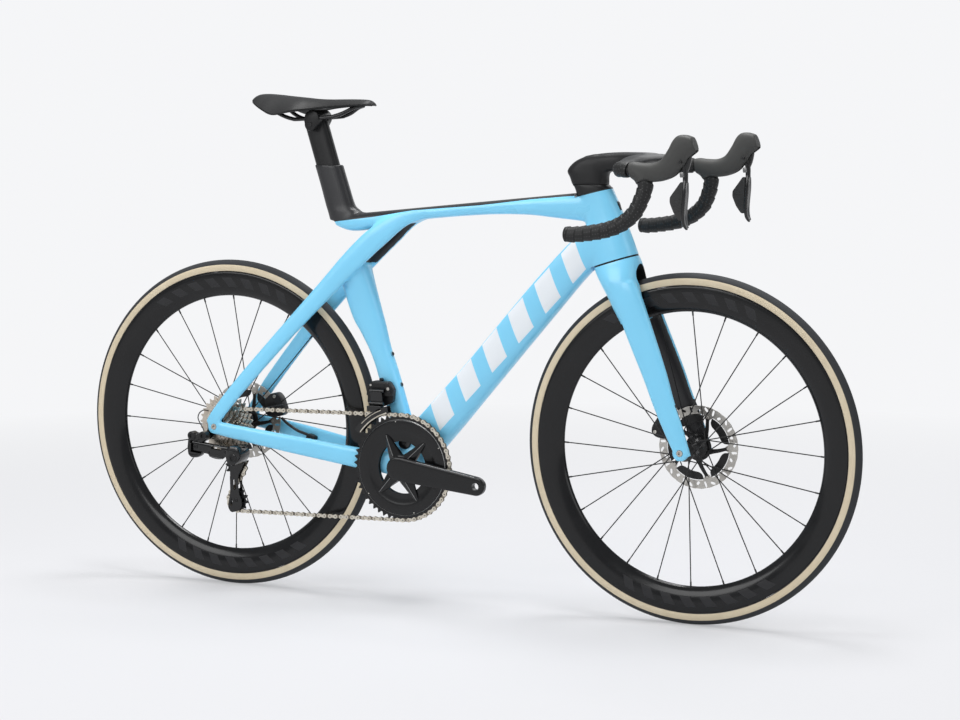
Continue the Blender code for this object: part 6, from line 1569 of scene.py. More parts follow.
def frontMechShells():
    # a bevelled body with raised panels, a link between two pins, and cage plates as sectors round the ring
    m = mechForm
    outline = rounded([
        (-0.086, 0.124), (-0.084, 0.158), (-0.071, 0.169), (-0.036, 0.168), (-0.026, 0.152), (-0.029, 0.128),
        (-0.048, 0.118), (-0.074, 0.118),
    ], 0.004)
    body = cutShell(plateShell([outline], -0.0375, -0.019, bracket, 0.0024), [
        blockShell(bracket + [-0.056, -0.04, 0.115], (0.08, 0.02, 0.05), 0.0, 0.0, power=40),
        softPlate(
            [(-0.08, 0.1485), (-0.0785, 0.154), (-0.042, 0.1545), (-0.042, 0.148)], 0.001, -0.0386, -0.0362,
            bracket, 0.0003,
        ),
    ])
    extras = [
        softPlate(
            [(-0.08, 0.156), (-0.07, 0.1655), (-0.042, 0.165), (-0.042, 0.156)], 0.002, -0.0388, -0.0365, bracket,
            0.0008,
        ),
        softPlate(
            [(-0.039, 0.146), (-0.039, 0.166), (-0.033, 0.164), (-0.0285, 0.153), (-0.03, 0.146)], 0.002,
            -0.0395, -0.0365, bracket, 0.001,
        ),
        rodShell(bracket + [-0.056, -0.03, 0.171], bracket + [-0.056, -0.022, 0.171], 0.0036, 24, 0.2),
    ]
    bolts = [
        buttonShell(bracket + [-0.035, -0.0393, 0.1545], -sideways, 0.0032, 0.0012),
        buttonShell(bracket + [-0.074, -0.0386, 0.1605], -sideways, 0.0022, 0.001),
    ]
    pivot = bracket + [-0.058, -0.042, 0.15]
    lean = math.asin(m["frontThrow"] / 2 / m["frontLink"])
    low = pivot + np.array([0, -math.sin(lean), -math.cos(lean)]) * m["frontLink"]
    half = forward * 0.016
    link = [
        rodShell(pivot - half, pivot + half, 0.004, 28, 0.15), rodShell(low - half, low + half, 0.004, 28, 0.15),
        blockShell((pivot + low) / 2, (0.026, 0.0045, m["frontLink"] - 0.004), lean, 0.1, "X", 10),
    ]
    inner = pitchRadius(driveForm["outerTeeth"]) + driveForm["tip"] + 0.0024

    def sector(r0, r1, a0, a1, count=24):
        a = np.linspace(a0, a1, count)
        return np.concatenate([polar(r0, a), polar(r1, a)[::-1]])

    start, stop = math.radians(104), math.radians(145)
    outerY, innerY = chainY - 0.0062, chainY + 0.0062
    x, z = low[0] - bracket[0], low[2] - 0.0045 - bracket[2]
    side, tail = sector(inner, inner + 0.015, start, stop, 9), sector(
        inner + 0.002, inner + 0.014, stop - 0.05, stop - 0.015, 5,
    )
    bridge = [(x - 0.017, z - 0.0108), (x + 0.014, z - 0.0098), (x + 0.014, z), (x - 0.017, z)]
    cage = [
        softPlate(side, 0.002, outerY - 0.0012, outerY, bracket, 0.0004),
        softPlate(side, 0.002, innerY, innerY + 0.0012, bracket, 0.0004),
        plateShell([tail], outerY - 0.0006, innerY + 0.0006, bracket, 0.0003),
        softPlate(bridge, 0.001, outerY - 0.0012, innerY + 0.0012, bracket, 0.0005),
    ]
    edges = [
        plateShell(
            [sector(inner + 0.0006, inner + 0.003, start + 0.03, stop - 0.03)], outerY - 0.0018, outerY - 0.0008,
            bracket, 0.0003,
        ),
        plateShell(
            [sector(inner + 0.0098, inner + 0.0112, start + 0.12, stop - 0.16)], outerY - 0.002, outerY - 0.0008,
            bracket, 0.0003,
        ),
    ]
    return [body] + extras, bolts, link, cage, edges


body, knobs, link, eyes, knuckle, cap, lines = rearMechShells()
addPiece("rear_mech_shell", body, mechBlack, "rear_mech_body", sharp=28)
addPiece("rear_mech_knobs", knobs, alloyBlack, "rear_mech_body", stands=False, sharp=30)
addPiece("rear_mech_bar", link, mechBlack, "rear_mech_link", sharp=28)
# grey lines on the link: painted highlights
addPiece("rear_mech_painted_highlights", lines, highlightGrey, "rear_mech_link", stands=False)
addPiece("rear_mech_eyes", eyes, alloyBlack, "rear_mech_link", stands=False, sharp=30)
addPiece("rear_mech_elbow", knuckle, mechBlack, "rear_mech_knuckle", sharp=28)
addPiece("rear_mech_cap", cap, alloyBlack, "rear_mech_knuckle", stands=False, sharp=30)
parts, bolt = cageShells()
addPiece("mech_cage_plates", parts, mechBlack, "rear_mech_cage", sharp=30)
addPiece("mech_cage_bolts", bolt, alloyBlack, "rear_mech_cage", stands=False, sharp=30)
for name, axle, index in (("guide", guideAxle, 2), ("tension", tensionAxle, 3)):
    wheelPart, hubPart = pulleyShells(axle, index)
    addPiece(name + "_jockey", wheelPart, satin, name + "_pulley", sharp=30)
    addPiece(name + "_jockey_hub", hubPart, hubBlack, name + "_pulley", stands=False, sharp=30)
body, bolts, link, cage, edges = frontMechShells()
addPiece("front_mech_motor", body, satin, "front_mech_body", sharp=28)
addPiece("front_mech_bolts", bolts, alloy, "front_mech_body", stands=False, sharp=30)
addPiece("front_mech_arm", link, mechBlack, "front_mech_link", sharp=30)
addPiece("front_mech_plates", cage, mechBlack, "front_mech_cage", sharp=30)
addPiece("front_mech_edges", edges, chainBronze, "front_mech_cage", stands=False, sharp=30)
keepSolid("mech_hanger", mechBlack)
print("mechs ready")


# Cockpit

cockpitForm = {
    "stemReach": 0.1045, "stemRise": 0.0626, "barRadius": 0.0113, "halfWidth": 0.168, "wingHalf": 0.137,
    "flare": 0.018,
    "reach": 0.061, "drop": 0.1355, "tape": 0.0032, "lap": 0.0205, "leverLength": 0.121, "slotHalf": 0.0048,
    "coverTop": 0.0132,
    "hookLength": 0.36, "hookPoints": 361,
}
barMiddle = headTop + np.array([cockpitForm["stemReach"], 0, cockpitForm["stemRise"]])


def barHook(sign):
    # the drop's line from the wing's end: shares of reach, metres aside, shares of flare and of drop, flowed
    c = cockpitForm
    shape = np.array([
        (0.0, -0.034, 0.0, 0.108), (0.03, -0.018, 0.0, 0.112), (0.36, -0.004, 0.0, 0.12), (0.76, 0.0, 0.05, 0.152),
        (0.97, 0.0, 0.15, 0.262), (1.0, 0.0, 0.22, 0.36), (0.9, 0.0, 0.42, 0.517), (0.69, 0.0, 0.58, 0.701),
        (0.26, 0.0, 0.7, 0.856), (-0.31, 0.0, 0.82, 0.945), (-1.08, 0.0, 0.94, 0.996), (-1.46, 0.0, 1.0, 1.0),
    ])
    ahead, aside, flare, down = shape.T
    rows = barMiddle + np.stack(
        [c["reach"] * ahead, sign * (c["halfWidth"] + aside + c["flare"] * flare), -c["drop"] * down], 1,
    )
    return evenly(flow(rows, 400), c["hookPoints"])


def levelShell(rows, power=2.6, sides=48, count=30):
    # ovals that stay level, for pieces built of horizontal slices; rows of (x, z, length, width) from the head's top
    rows = flow(rows, count)
    centres = headTop + np.stack([rows[:, 0], np.zeros(count), rows[:, 1]], 1)
    return gridShell(ovals(centres, forward, sideways, rows[:, 2], rows[:, 3], power, sides))


def barShellParts():
    # a clamp of level ovals, a stem that widens forward, a flat wing and two round hooks
    c = cockpitForm
    clamp = levelShell([
        (-0.015, c["coverTop"] + 0.0003, 0.071, 0.045), (-0.0175, 0.027, 0.076, 0.046),
        (-0.0185, 0.0396, 0.0835, 0.046),
        (-0.0096, 0.0561, 0.072, 0.044), (0.0024, 0.0671, 0.048, 0.036), (0.0104, 0.0711, 0.03, 0.024),
    ], 3.0)
    stem = tubeShell([
        (headTop + [x, 0, z], depth, width) for x, z, depth, width in (
            (-0.0176, 0.0456, 0.046, 0.042), (0.0154, 0.0541, 0.038, 0.044), (0.0504, 0.0581, 0.034, 0.048),
            (0.0824, 0.0616, 0.027, 0.07),
            (c["stemReach"] + 0.004, c["stemRise"] + 0.001, 0.021, 0.1),
        )
    ], 30, 2.8)
    rows = flow([
        (-1.0, 0.015, 0.027, 0.025), (-0.8, 0.0095, 0.042, 0.02), (-0.4, 0.0015, 0.046, 0.02),
        (0.4, 0.0015, 0.046, 0.02), (0.8, 0.0095, 0.042, 0.02), (1.0, 0.015, 0.027, 0.025),
    ], 50)
    centres = barMiddle + np.stack([np.zeros(len(rows)), rows[:, 0] * c["wingHalf"], -rows[:, 1]], 1)
    wing = gridShell(ovals(centres, forward, upward, rows[:, 2], rows[:, 3], 2.3, 40))
    hooks = [sweptShell(barHook(sign)[::4], c["barRadius"], 24) for sign in (-1, 1)]
    return [clamp, stem, wing] + hooks


def coverShell():
    # level ovals that run back up the steering axis, cut off square to it just above the head tube
    rise = cockpitForm["coverTop"]
    cover = levelShell([
        (0.002, -0.0274, 0.07, 0.0476), (-0.004, -0.01, 0.071, 0.0475), (-0.0095, 0.0066, 0.0715, 0.0474),
        (-0.014, rise - 0.0012, 0.0715, 0.0455), (-0.0142, rise, 0.069, 0.043),
    ], 2.8)
    base = headTop + steerDir * clearance
    return cutShell(cover, [rodShell(base - steerDir * 0.06, base, 0.08, 48, 0)])


def tapeShell(line, start, stop, step=0.0009, sides=44):
    # a helical lap: each turn rises over the one before by a soft step along length and angle together
    c = cockpitForm
    count = int((stop - start) / step)
    index = np.linspace(start, stop, count) / c["hookLength"] * (len(line) - 1)
    path = np.stack([np.interp(index, np.arange(len(line)), line[:, k]) for k in range(3)], 1)
    _, lateral, across = frames(path)
    a = 2 * np.pi * np.arange(sides) / sides
    passed = np.linspace(0, stop - start, count)[:, None]
    turns = passed / c["lap"] + a / (2 * np.pi)
    lap = turns % 1.0
    edge = np.minimum(passed, stop - start - passed)
    radius = c["barRadius"] + c["tape"] - 0.0011 + 0.0019 * (1 - lap) ** 0.7 * np.clip(lap / 0.07, 0, 1)
    radius = radius - 0.0006 * np.exp(-(edge / 0.0012) ** 2)
    around = np.cos(a)[None, :, None] * across[:, None] + np.sin(a)[None, :, None] * lateral[:, None]
    marks = {"lap": lap.ravel(), "wind": (np.floor(turns) * 7.3 + a / (2 * np.pi) * 11).ravel()}
    return gridShell(path[:, None] + radius[..., None] * around), marks


def hoodShell(sign, line, under):
    # oval sections from the bar forward and up into the horn, then a slot for the lever cut out of the front
    c = cockpitForm
    middle = barMiddle + sideways * sign * c["halfWidth"]
    pivot = middle + np.array([c["reach"] + 0.0725, 0, -0.001])
    rows = np.array([
        (0.029, -0.003, 0.034, -0.0315, 0.0285), (0.04, -0.0015, 0.044, -0.035, 0.0315),
        (0.054, -0.003, 0.054, -0.0372, 0.0335),
        (0.076, -0.003, 0.076, -0.038, 0.034), (0.093, 0.004, 0.098, -0.035, 0.034),
        (0.106, 0.022, 0.119, -0.026, 0.033),
        (0.115, 0.0385, 0.135, -0.009, 0.031), (0.125, 0.047, 0.147, 0.006, 0.0295),
        (0.14, 0.048, 0.157, 0.014, 0.0285),
        (0.152, 0.0445, 0.161, 0.018, 0.027),
    ])
    rows = flow(rows, 64)
    top = middle + np.stack([rows[:, 0], np.zeros(64), rows[:, 1]], 1)
    low = middle + np.stack([rows[:, 2], np.zeros(64), rows[:, 3]], 1)
    rings = ovals((top + low) / 2, unit(top - low), sideways, np.linalg.norm(top - low, axis=1), rows[:, 4], 2.7, 48)
    perMetre = len(line) / c["hookLength"]
    collar = sweptShell(line[int(0.075 * perMetre):int(under * perMetre)], 0.0162, 28)
    rubber = meltedShell([gridShell(rings), collar], 0.0016, 16, 2)
    slot = blockShell(pivot + np.array([0.0035, 0, -0.018]), (0.054, 2 * c["slotHalf"], 0.052), 0.0, 0.0, power=40)
    notch = blockShell(
        middle + [0.154, 0, 0.0], (0.022, 2 * c["slotHalf"] + 0.004, 0.042), math.radians(28), 0.0, power=40,
    )
    return cutShell(rubber, [slot, notch]), pivot


def leverShells(pivot):
    # a pressed blade, broad in the middle, with a bright edge in front, hung on a pin
    c = cockpitForm
    neck = 2 * (c["slotHalf"] - clearance)
    ear = crossRod(pivot, -neck / 2, neck / 2, 0.006, 32, 0.1)
    rows = [
        (pivot + [x, 0, -c["leverLength"] * share], depth, width) for x, share, depth, width in (
            (0.0005, 0.015, 0.008, neck - 0.0004), (0.004, 0.15, 0.0095, neck - 0.0004),
            (0.0045, 0.28, 0.009, neck - 0.0004),
            (0.0045, 0.36, 0.0085, 0.013), (0.004, 0.5, 0.0085, 0.015), (0.0015, 0.78, 0.008, 0.015),
            (0.003, 0.92, 0.0075, 0.014),
            (0.007, 0.99, 0.0055, 0.0115), (0.008, 1.0, 0.004, 0.008),
        )
    ]
    blade = tubeShell(rows, 70, 3.4, 32)
    smooth = flow([[*place, depth, width] for place, depth, width in rows], 70)[20:66]
    centres, depth, width = smooth[:, :3], smooth[:, 3], smooth[:, 4]
    ahead = unit(np.cross(frames(centres)[0], sideways))
    ahead = ahead * np.sign(ahead[:, :1])
    front = centres + ahead * (depth / 2 - 0.0006)[:, None]
    strips = [
        gridShell(
            ovals(front + sideways * (side * (width / 2 - 0.0022))[:, None], ahead, sideways, 0.0026, 0.0022, 2.4, 12),
        )
        for side in (-1, 1)
    ]
    browRows = ((0.0125, 0.015, 0.006), (0.0115, 0.008, 0.01), (0.008, -0.006, 0.011), (0.005, -0.016, 0.009))
    brow = tubeShell([(pivot + [x, 0, z], depth, 0.008) for x, z, depth in browRows], 20, 3.0, 24)
    clasp = blockShell(
        pivot + np.array([-0.001, 0, -0.023]), (0.0085, neck + 0.0002, 0.01), math.radians(-6), 0.2, power=6,
    )
    return [ear, blade, brow], strips + [clasp]


def paddleShells(pivot, sign):
    # a rounded plate behind the blade, with nine ribs on each face between its back edge and its front
    y, middle = pivot[1] - sign * 0.002, pivot * [1, 0, 1]
    backEdge = [
        (-0.0055, -0.0363), (-0.017, -0.052), (-0.0262, -0.064), (-0.0265, -0.074), (-0.019, -0.092),
        (-0.0085, -0.1065),
    ]
    outline = rounded([
        (0.0002, -0.0363), *backEdge, (-0.0015, -0.1065), (-0.0022, -0.0895), (-0.0012, -0.069), (-0.0005, -0.052),
    ], 0.0035)
    ribs = []
    for k in range(9):
        z = -0.05 - 0.0052 * k
        back = np.interp(-z, [-edge for _, edge in backEdge], [x for x, _ in backEdge])
        for side in (y - 0.0021, y + 0.0021):
            ribs.append(
                rodShell(middle + [back + 0.003, side, z], middle + [-0.0042, side, z + 0.004], 0.0005, 8, 0.2),
            )
    return [plateShell([outline], y - 0.0021, y + 0.0021, middle, 0.0009)] + ribs


def tapeFinish():
    # small holes at even steps along and round each lap
    material = finishOf(
        "barTape", (0.0105, 0.0105, 0.0105), (0.017, 0.017, 0.017), (0.42, 0.56), grain=2600, relief=0.35,
        specular=0.32,
    )
    lap, wind = attribute(material, "lap"), attribute(material, "wind")
    v, u = (
        sums(material, "ABSOLUTE", sums(material, "SUBTRACT", sums(material, "FRACT", value), 0.5))
        for value in (product(material, lap, 3.0), wind)
    )
    away = sums(material, "SQRT", sums(material, "ADD", product(material, v, v), product(material, u, u, 1.4)))
    overlay(material, spread(material, away, 1.0, 0.0, 0.1, 0.17), (0.075, 0.075, 0.075), 0.55)
    return material


hoodRubber = finishOf(
    "hoodRubber", (0.05, 0.05, 0.048), (0.062, 0.062, 0.059), (0.5, 0.64), grain=3000, relief=0.45, specular=0.28,
)
leverBlack = finishOf(
    "leverBlack", (0.007, 0.007, 0.0075), (0.013, 0.013, 0.0135), (0.16, 0.24), 0.1, 1800, relief=0.06, coat=0.25,
    specular=0.4,
)
leverEdge = finishOf("leverEdge", (0.15, 0.15, 0.15), (0.22, 0.22, 0.22), (0.22, 0.32), 1.0, 1800, relief=0.06)
paddleBlack = finishOf(
    "paddleBlack", (0.02, 0.02, 0.02), (0.034, 0.034, 0.034), (0.38, 0.5), grain=2600, relief=0.3, specular=0.35,
)
tapeBlack = tapeFinish()
addPiece("bar_shell", meltedShell(barShellParts(), 0.0019, 14), satin, "bar_and_stem", sharp=38)
addPiece("headset_cover_shell", coverShell(), satin, "headset_cover", sharp=38)
for label, sign in (("left", 1), ("right", -1)):
    line = barHook(sign)
    walked = np.concatenate([[0], np.cumsum(np.linalg.norm(np.diff(line, axis=0), axis=1))])
    walked = walked / walked[-1] * cockpitForm["hookLength"]
    underHood = walked[np.argmax(line[:, 2] < barMiddle[2] - 0.033)]
    behindHood = walked[np.argmax(line[:, 0] > barMiddle[0] + 0.027)]
    fromWing = walked[np.argmax(np.abs(line[:, 1]) > cockpitForm["wingHalf"] + 0.0125)]
    for name, node, start, stop in (
        ("drop_tape_", "bar_tape_", underHood, cockpitForm["hookLength"]),
        ("bar_top_tape_", "top_tape_", fromWing, behindHood),
    ):
        shell, marks = tapeShell(line, start, stop)
        addPiece(name + label, shell, tapeBlack, node + label, sharp=50, values=lambda _, marks=marks: marks)
    end, tangent = line[-1], unit(line[-1] - line[-4])
    addPiece("bar_end_" + label, turnedShell([
        (0.0001, 0.0045), (0.006, 0.0045), (0.011, 0.0038), (0.0138, 0.002), (0.0142, 0.0003), (0.0001, 0.0003),
    ], end, tangent, 44), satin, "bar_plug_" + label, sharp=30)
    shell, pivot = hoodShell(sign, line, underHood + 0.004)
    addPiece("hood_rubber_" + label, shell, hoodRubber, "brake_hood_" + label, sharp=50)
    pin = [crossRod(pivot, *sorted((side * 0.006, side * 0.0172)), 0.0026, 24, 0.1) for side in (-1, 1)]
    addPiece("lever_pin_" + label, pin, alloyBlack, "brake_hood_" + label, stands=False)
    blade, strips = leverShells(pivot)
    addPiece("lever_blade_" + label, blade, leverBlack, "brake_lever_" + label, sharp=35)
    addPiece("lever_edges_" + label, strips, leverEdge, "brake_lever_" + label, stands=False, sharp=40)
    addPiece("paddle_" + label, paddleShells(pivot, sign), paddleBlack, "shift_paddle_" + label, sharp=35)
print("cockpit ready")


# Saddle and post

saddleForm = {
    "length": 0.258, "width": 0.145, "height": 0.0405, "railRadius": 0.004, "railHalf": 0.0222, "tilt": 3.5,
    "postDepth": 0.0485,
    "postWidth": 0.025, "postTop": 0.69, "bolt": 0.6765, "clamp": 0.689, "insert": 0.06, "offset": -0.003,
    "fill": 0.8,
}
seatStations = [
    (0.0, 0.006, 0.44, 0.008, 0.005), (0.05, 0.0095, 0.78, 0.017, 0.007), (0.15, 0.0085, 0.95, 0.029, 0.0085),
    (0.26, 0.006, 1.0, 0.037, 0.0085), (0.4, 0.0025, 0.86, 0.0265, 0.0085), (0.5, 0.0, 0.64, 0.021, 0.008),
    (0.62, -0.0012, 0.46, 0.016, 0.007), (0.8, -0.0015, 0.35, 0.0125, 0.0058), (0.95, -0.003, 0.26, 0.01, 0.005),
    (1.0, -0.009, 0.14, 0.006, 0.003),
]


def railPoint(ahead, aside=0.0, rise=0.0):  # a point by its place along the tilted rails from their clamp
    tilt = math.radians(saddleForm["tilt"])
    return seatPoint(saddleForm["clamp"], 0.004) + np.array(
        [math.cos(tilt), 0, math.sin(tilt)],
    ) * ahead + sideways * aside + upward * rise


def seatSheet(across, low, rows, dip=0.0):
    # height falls with |across|^2.6 times the station's fall; low carries the sheet down by its thickness
    s = saddleForm
    t, rise, share, fall, thickness = (rows[:, k][:, None] for k in range(5))
    tail, top = railPoint(0)[0] - 0.1313, railPoint(0)[2] + s["height"]
    across = across[None, :]
    groove = dip * np.exp(-(across / 0.16) ** 2) * np.clip((t - 0.1) / 0.15, 0, 1) * np.clip((0.8 - t) / 0.2, 0, 1)
    z = top + rise - fall * np.abs(across) ** 2.6 - 0.0015 * (1 - across ** 2) - thickness * low - groove
    return np.stack([np.broadcast_to(tail + s["length"] * t, z.shape), s["width"] / 2 * share * across, z], 2)


def saddleShells():
    # the cover as rings of top sheet, edge, under sheet and edge, and a thin base shell below it
    fine = flow(seatStations, 80)
    upper = np.sin(np.linspace(-np.pi / 2, np.pi / 2, 45))
    cover = gridShell(np.concatenate([
        seatSheet(upper, 0.0, fine, 0.0028), seatSheet(np.array([0.995]), 0.45, fine),
        seatSheet(np.linspace(0.93, -0.93, 31), 1.0, fine), seatSheet(np.array([-0.995]), 0.45, fine),
    ], 1))
    base = flow(seatStations[1:-1], 60)
    wide = np.linspace(0.84, -0.84, 25)
    top = seatSheet(wide, 1.0, base) - upward * clearance
    low = seatSheet(wide[::-1] * 0.9, 1.0, base) - upward * 0.0028
    return cover, gridShell(np.concatenate([top, low], 1))


def railShell():
    # one tube from the tail round the nose and back, through rail points and their mirror images
    half = [
        (-0.096, 0.033, 0.0334), (-0.087, 0.0322, 0.0245), (-0.075, 0.03, 0.0145), (-0.059, 0.0262, 0.006),
        (-0.046, 0.0235, 0.0015), (-0.034, 0.0222, 0.0), (0.036, 0.0222, 0.0), (0.05, 0.021, 0.0015),
        (0.066, 0.0175, 0.006), (0.086, 0.0105, 0.015), (0.1, 0.005, 0.0178),
    ]
    route = [railPoint(*p) for p in half] + [railPoint(p[0], -p[1], p[2]) for p in reversed(half)]
    return sweptShell(evenly(flow(route, 300), 170), saddleForm["railRadius"], 20)


def postShells():
    # an oval post with a cross bore, and a clamp of two circles joined by tangents, cut for post and rails
    s = saddleForm
    rows = flow([
        (frameForm["mastHeight"] - s["insert"], 1.0), (s["postTop"] - 0.03, 1.0), (s["postTop"] - 0.012, 1.0),
        (s["postTop"] - 0.004, 0.985), (s["postTop"], 0.94),
    ], 24)
    centres = np.array([seatPoint(height, s["offset"]) for height, _ in rows])
    depth, width = s["postDepth"] * slope * rows[:, 1], s["postWidth"] * (0.6 + 0.4 * rows[:, 1])
    post = gridShell(ovals(centres, forward, sideways, depth, width, 2.8, 56))
    bolt, centre = seatPoint(s["bolt"], s["offset"]), railPoint(0)
    post = cutShell(post, [crossRod(bolt, -0.03, 0.03, 0.0043, 32, 0)])
    outline = capsuleOutline((0, 0), (bolt - centre)[[0, 2]], 0.0165, 0.013)
    inner = s["postWidth"] / 2 + clearance
    top = seatPoint(s["postTop"])[2] + clearance
    clamp = cutShell(plateShell([outline], -0.029, 0.029, centre, 0.0022), [
        blockShell(np.array([centre[0], 0, top - 0.03]), (0.08, 2 * inner, 0.06), 0.0, 0.0, power=40),
        *(
            rodShell(railPoint(-0.03, side), railPoint(0.03, side), 0.0043, 32, 0)
            for side in (s["railHalf"], -s["railHalf"])
        ),
    ])
    bar = crossRod(bolt, -0.027, 0.027, s["railRadius"], 32, 0.1)
    heads = [
        buttonShell(bolt * [1, 0, 1] + sideways * side * 0.029, sideways * side, 0.0046, 0.0014)
        for side in (-1, 1)
    ]
    return post, [clamp, bar], heads


seatSkin = finishOf(
    "saddleSkin", (0.0095, 0.0095, 0.0098), (0.0145, 0.0145, 0.015), (0.44, 0.56), grain=2600, relief=0.3,
    specular=0.22,
)
coverSkin, baseSkin = saddleShells()
cushion = addPiece("saddle_skin", coverSkin, seatSkin, "saddle_cover", sharp=50)
addPiece("saddle_base", baseSkin, satin, "saddle_shell", sharp=40)
addPiece("saddle_rail_pair", railShell(), gloss, "saddle_rails")
post, clampParts, heads = postShells()
addPiece("post_shell", post, satin, "seatpost", sharp=38)
addPiece("saddle_clamp_body", clampParts, satin, "saddle_clamp", sharp=32)
addPiece("saddle_clamp_bolts", heads, alloyBlack, "saddle_clamp", stands=False, sharp=30)


# Hose, wire and small fittings

hosePath = rearAxle + np.array([
    (0.085, 0.047, 0.008), (0.097, 0.049, -0.003), (0.119, 0.05, -0.016), (0.146, 0.05, -0.025),
    (0.162, 0.048, -0.033),
])
wirePath = rearAxle + np.array([
    (-0.015, -0.0765, 0.031), (-0.025, -0.078, 0.0325), (-0.035, -0.078, 0.027), (-0.0395, -0.078, 0.0165),
    (-0.035, -0.0785, 0.006),
    (-0.0285, -0.0795, -0.0025), (-0.0235, -0.081, -0.0107),
])
hoseBlack = finishOf(
    "hoseBlack", (0.006, 0.006, 0.0065), (0.011, 0.011, 0.0115), (0.34, 0.46), grain=2600, relief=0.2, specular=0.3,
)
addPiece("rear_hose", sweptShell(evenly(flow(hosePath, 120), 70), 0.0029, 20), hoseBlack, "rear_brake_hose")
addPiece("mech_wire", sweptShell(evenly(flow(wirePath, 120), 70), 0.0011, 14), hoseBlack, "shift_wire")
grommet = rearAxle + np.array([0.157, 0.0445, -0.029])
addPiece(
    "hose_grommet", blockShell(grommet, (0.021, 0.012, 0.014), math.radians(16), 0.3, power=4), hoseBlack, "frame",
    stands=False, sharp=50,
)
bosses, screws = [], []
for foot, direction in (
    [(tubeStart + tubeDir * a + tubeNormal * h, tubeNormal) for a, h in ((0.2, 0.031), (0.264, 0.0322))]
    + [(bracket + seatDir * a + seatNormal * h, seatNormal) for a, h in ((0.16, 0.0232), (0.224, 0.0222))]
):
    bosses.append(turnedShell(
        [(0.0001, 0.0011), (0.0046, 0.0011), (0.0055, 0.0003), (0.0058, -0.0015), (0.0001, -0.0015)], foot,
        direction, 32,
    ))
    screws.append(buttonShell(foot + direction * 0.0011, direction, 0.0036, 0.0016))
addPiece("bottle_bosses", bosses, framePaintFinish, "frame", stands=False)
addPiece("bottle_screws", screws, satin, "frame", stands=False, sharp=30)
for node in ("front_thru_axle", "rear_thru_axle"):
    keepSolid(node, alloy)
for node in ("lower_headset_bearing", "upper_headset_bearing"):
    keepSolid(node, steel)
port = headTop - steerDir * 0.041 + steerNormal * 0.0335
addPiece(
    "cable_port", blockShell(port, (0.005, 0.009, 0.023), math.radians(bike["headAngle"] - 90), 0.3, power=3),
    satin, "frame", stands=False, sharp=50,
)
print("seat and fittings ready")


# Stage, light and camera

stageForm = {
    "floorReach": 14.0, "floorColour": (0.6, 0.6, 0.62), "keyPower": 64.0, "fillPower": 20.0, "topPower": 125.0,
}


def makeFloor():
    # a round sheet that sinks a hair at its rim; its glow for camera rays keeps the ground pale round the shadow
    radii = np.concatenate([np.linspace(0.02, 4, 24), np.linspace(4.6, stageForm["floorReach"], 10)])
    a = 2 * np.pi * np.arange(96) / 96
    rings = np.stack([
        radii[:, None] * np.cos(a), radii[:, None] * np.sin(a),
        np.full((len(radii), 96), -0.0002) - 0.00001 * radii[:, None],
    ], 2)
    points, faces, marks = gridShell(rings)
    mesh = meshOf("floor", (points, faces[:2], marks[:2]), False)
    obj = bpy.data.objects.new("floor", mesh)
    bpy.context.scene.collection.objects.link(obj)
    material = bpy.data.materials.new("paleFloor")
    material.use_nodes = True
    tree = material.node_tree
    tree.nodes.clear()
    output = wired(material, "OutputMaterial")
    path = wired(material, "LightPath")
    seen = sums(material, "MAXIMUM", path.outputs["Is Camera Ray"], path.outputs["Is Glossy Ray"])
    seen = sums(material, "MAXIMUM", seen, path.outputs["Is Transmission Ray"])
    diffuse = wired(material, "BsdfDiffuse", {"Color": (*stageForm["floorColour"], 1)})
    glow = wired(material, "Emission", {"Color": (0.915, 0.92, 0.935, 1), "Strength": 1.0})
    far = wired(
        material, "VectorMath", {0: wired(material, "TexCoord").outputs["Object"]}, operation="LENGTH",
    ).outputs["Value"]
    share = product(material, spread(material, far, 0.35, 1.0, 0.4, 3.4), seen)
    surface = wired(material, "MixShader", {0: share, 1: diffuse.outputs[0], 2: glow.outputs[0]})
    tree.links.new(surface.outputs[0], output.inputs["Surface"])
    mesh.materials.append(material)


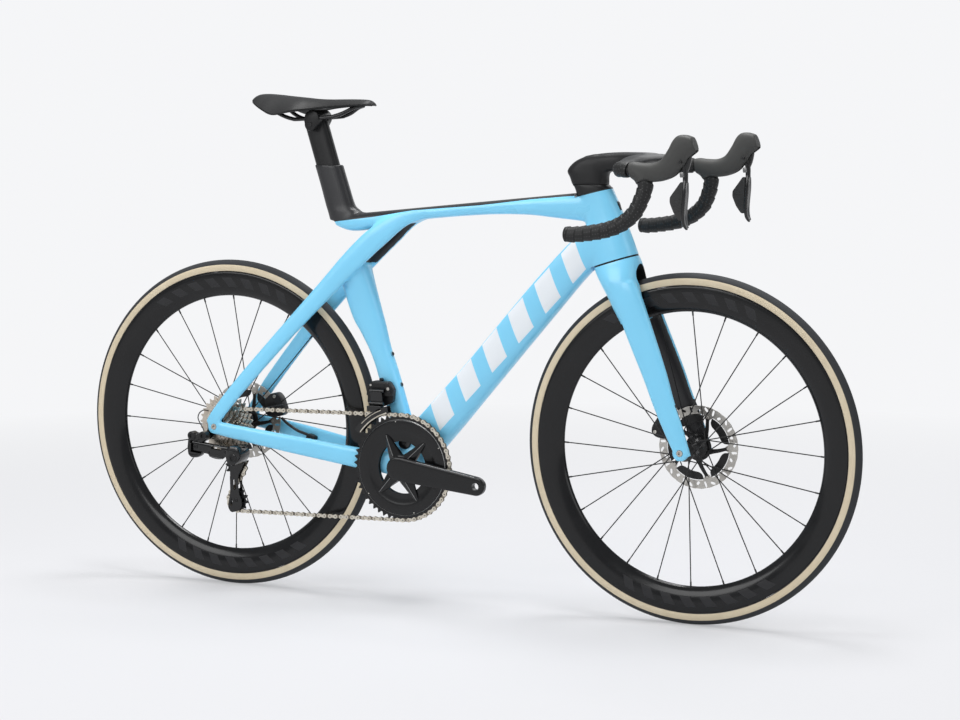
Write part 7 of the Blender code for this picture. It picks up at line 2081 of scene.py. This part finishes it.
def makeWorld():
    # an even grey room for light, and the floor's own pale colour where the camera sees it
    world = bpy.data.worlds.new("room")
    bpy.context.scene.world = world
    world.use_nodes = True
    tree = world.node_tree
    tree.nodes.clear()
    room = tree.nodes.new("ShaderNodeBackground")
    room.inputs["Color"].default_value = (0.93, 0.96, 1.0, 1)
    room.inputs["Strength"].default_value = 0.42
    pale = tree.nodes.new("ShaderNodeBackground")
    pale.inputs["Color"].default_value = (0.915, 0.92, 0.935, 1)
    pale.inputs["Strength"].default_value = 1.0
    path = tree.nodes.new("ShaderNodeLightPath")
    mix = tree.nodes.new("ShaderNodeMixShader")
    output = tree.nodes.new("ShaderNodeOutputWorld")
    tree.links.new(path.outputs["Is Camera Ray"], mix.inputs[0])
    tree.links.new(room.outputs[0], mix.inputs[1])
    tree.links.new(pale.outputs[0], mix.inputs[2])
    tree.links.new(mix.outputs[0], output.inputs["Surface"])


def addLamp(name, place, aim, size, power, tall):  # a rectangle of light that faces a point
    light = bpy.data.lights.new(name, "AREA")
    light.shape = "RECTANGLE"
    light.size, light.size_y = size, tall
    light.energy = power
    obj = bpy.data.objects.new(name, light)
    bpy.context.scene.collection.objects.link(obj)
    place, aim = np.asarray(place, float), np.asarray(aim, float)
    back = unit(place - aim)
    right = unit(np.cross(upward if abs(back[2]) < 0.98 else forward, back))
    turn = np.stack([right, np.cross(back, right), back], 1)
    obj.matrix_world = Matrix.Translation(place) @ Matrix(turn).to_4x4()


def makeCamera():
    # the photograph's own view, found from the wheels' ellipses and the frame's corners
    place, aim = np.array([2.2312, -4.5461, 0.998]), np.array([0.0589, 0.0, 0.4882])
    back = unit(place - aim)
    right = unit(np.cross(upward, back))
    turn = Matrix(np.stack([right, np.cross(back, right), back], 1)).to_4x4()
    data = bpy.data.cameras.new("view")
    data.lens = 96.67
    data.sensor_width = 36.0
    data.clip_end = 100.0
    camera = bpy.data.objects.new("view", data)
    bpy.context.scene.collection.objects.link(camera)
    camera.matrix_world = Matrix.Translation(place) @ turn @ Matrix.Rotation(math.radians(-0.136), 4, "Z")
    bpy.context.scene.camera = camera


makeFloor()
makeWorld()
addLamp("overhead", (0.0, 0.2, 3.6), (0, 0, 0.5), 2.4, stageForm["topPower"], 1.2)
addLamp("nearSide", (-1.6, -3.6, 2.3), (0, 0, 0.5), 2.6, stageForm["keyPower"], 2.2)
addLamp("frontSide", (3.6, -1.6, 1.8), (0.2, 0, 0.5), 2.2, stageForm["fillPower"], 2.0)
addLamp("farSide", (0.4, 3.6, 2.2), (0, 0, 0.5), 2.6, stageForm["fillPower"], 2.0)
makeCamera()
bpy.context.scene.view_settings.view_transform = "Standard"
print("stage ready")
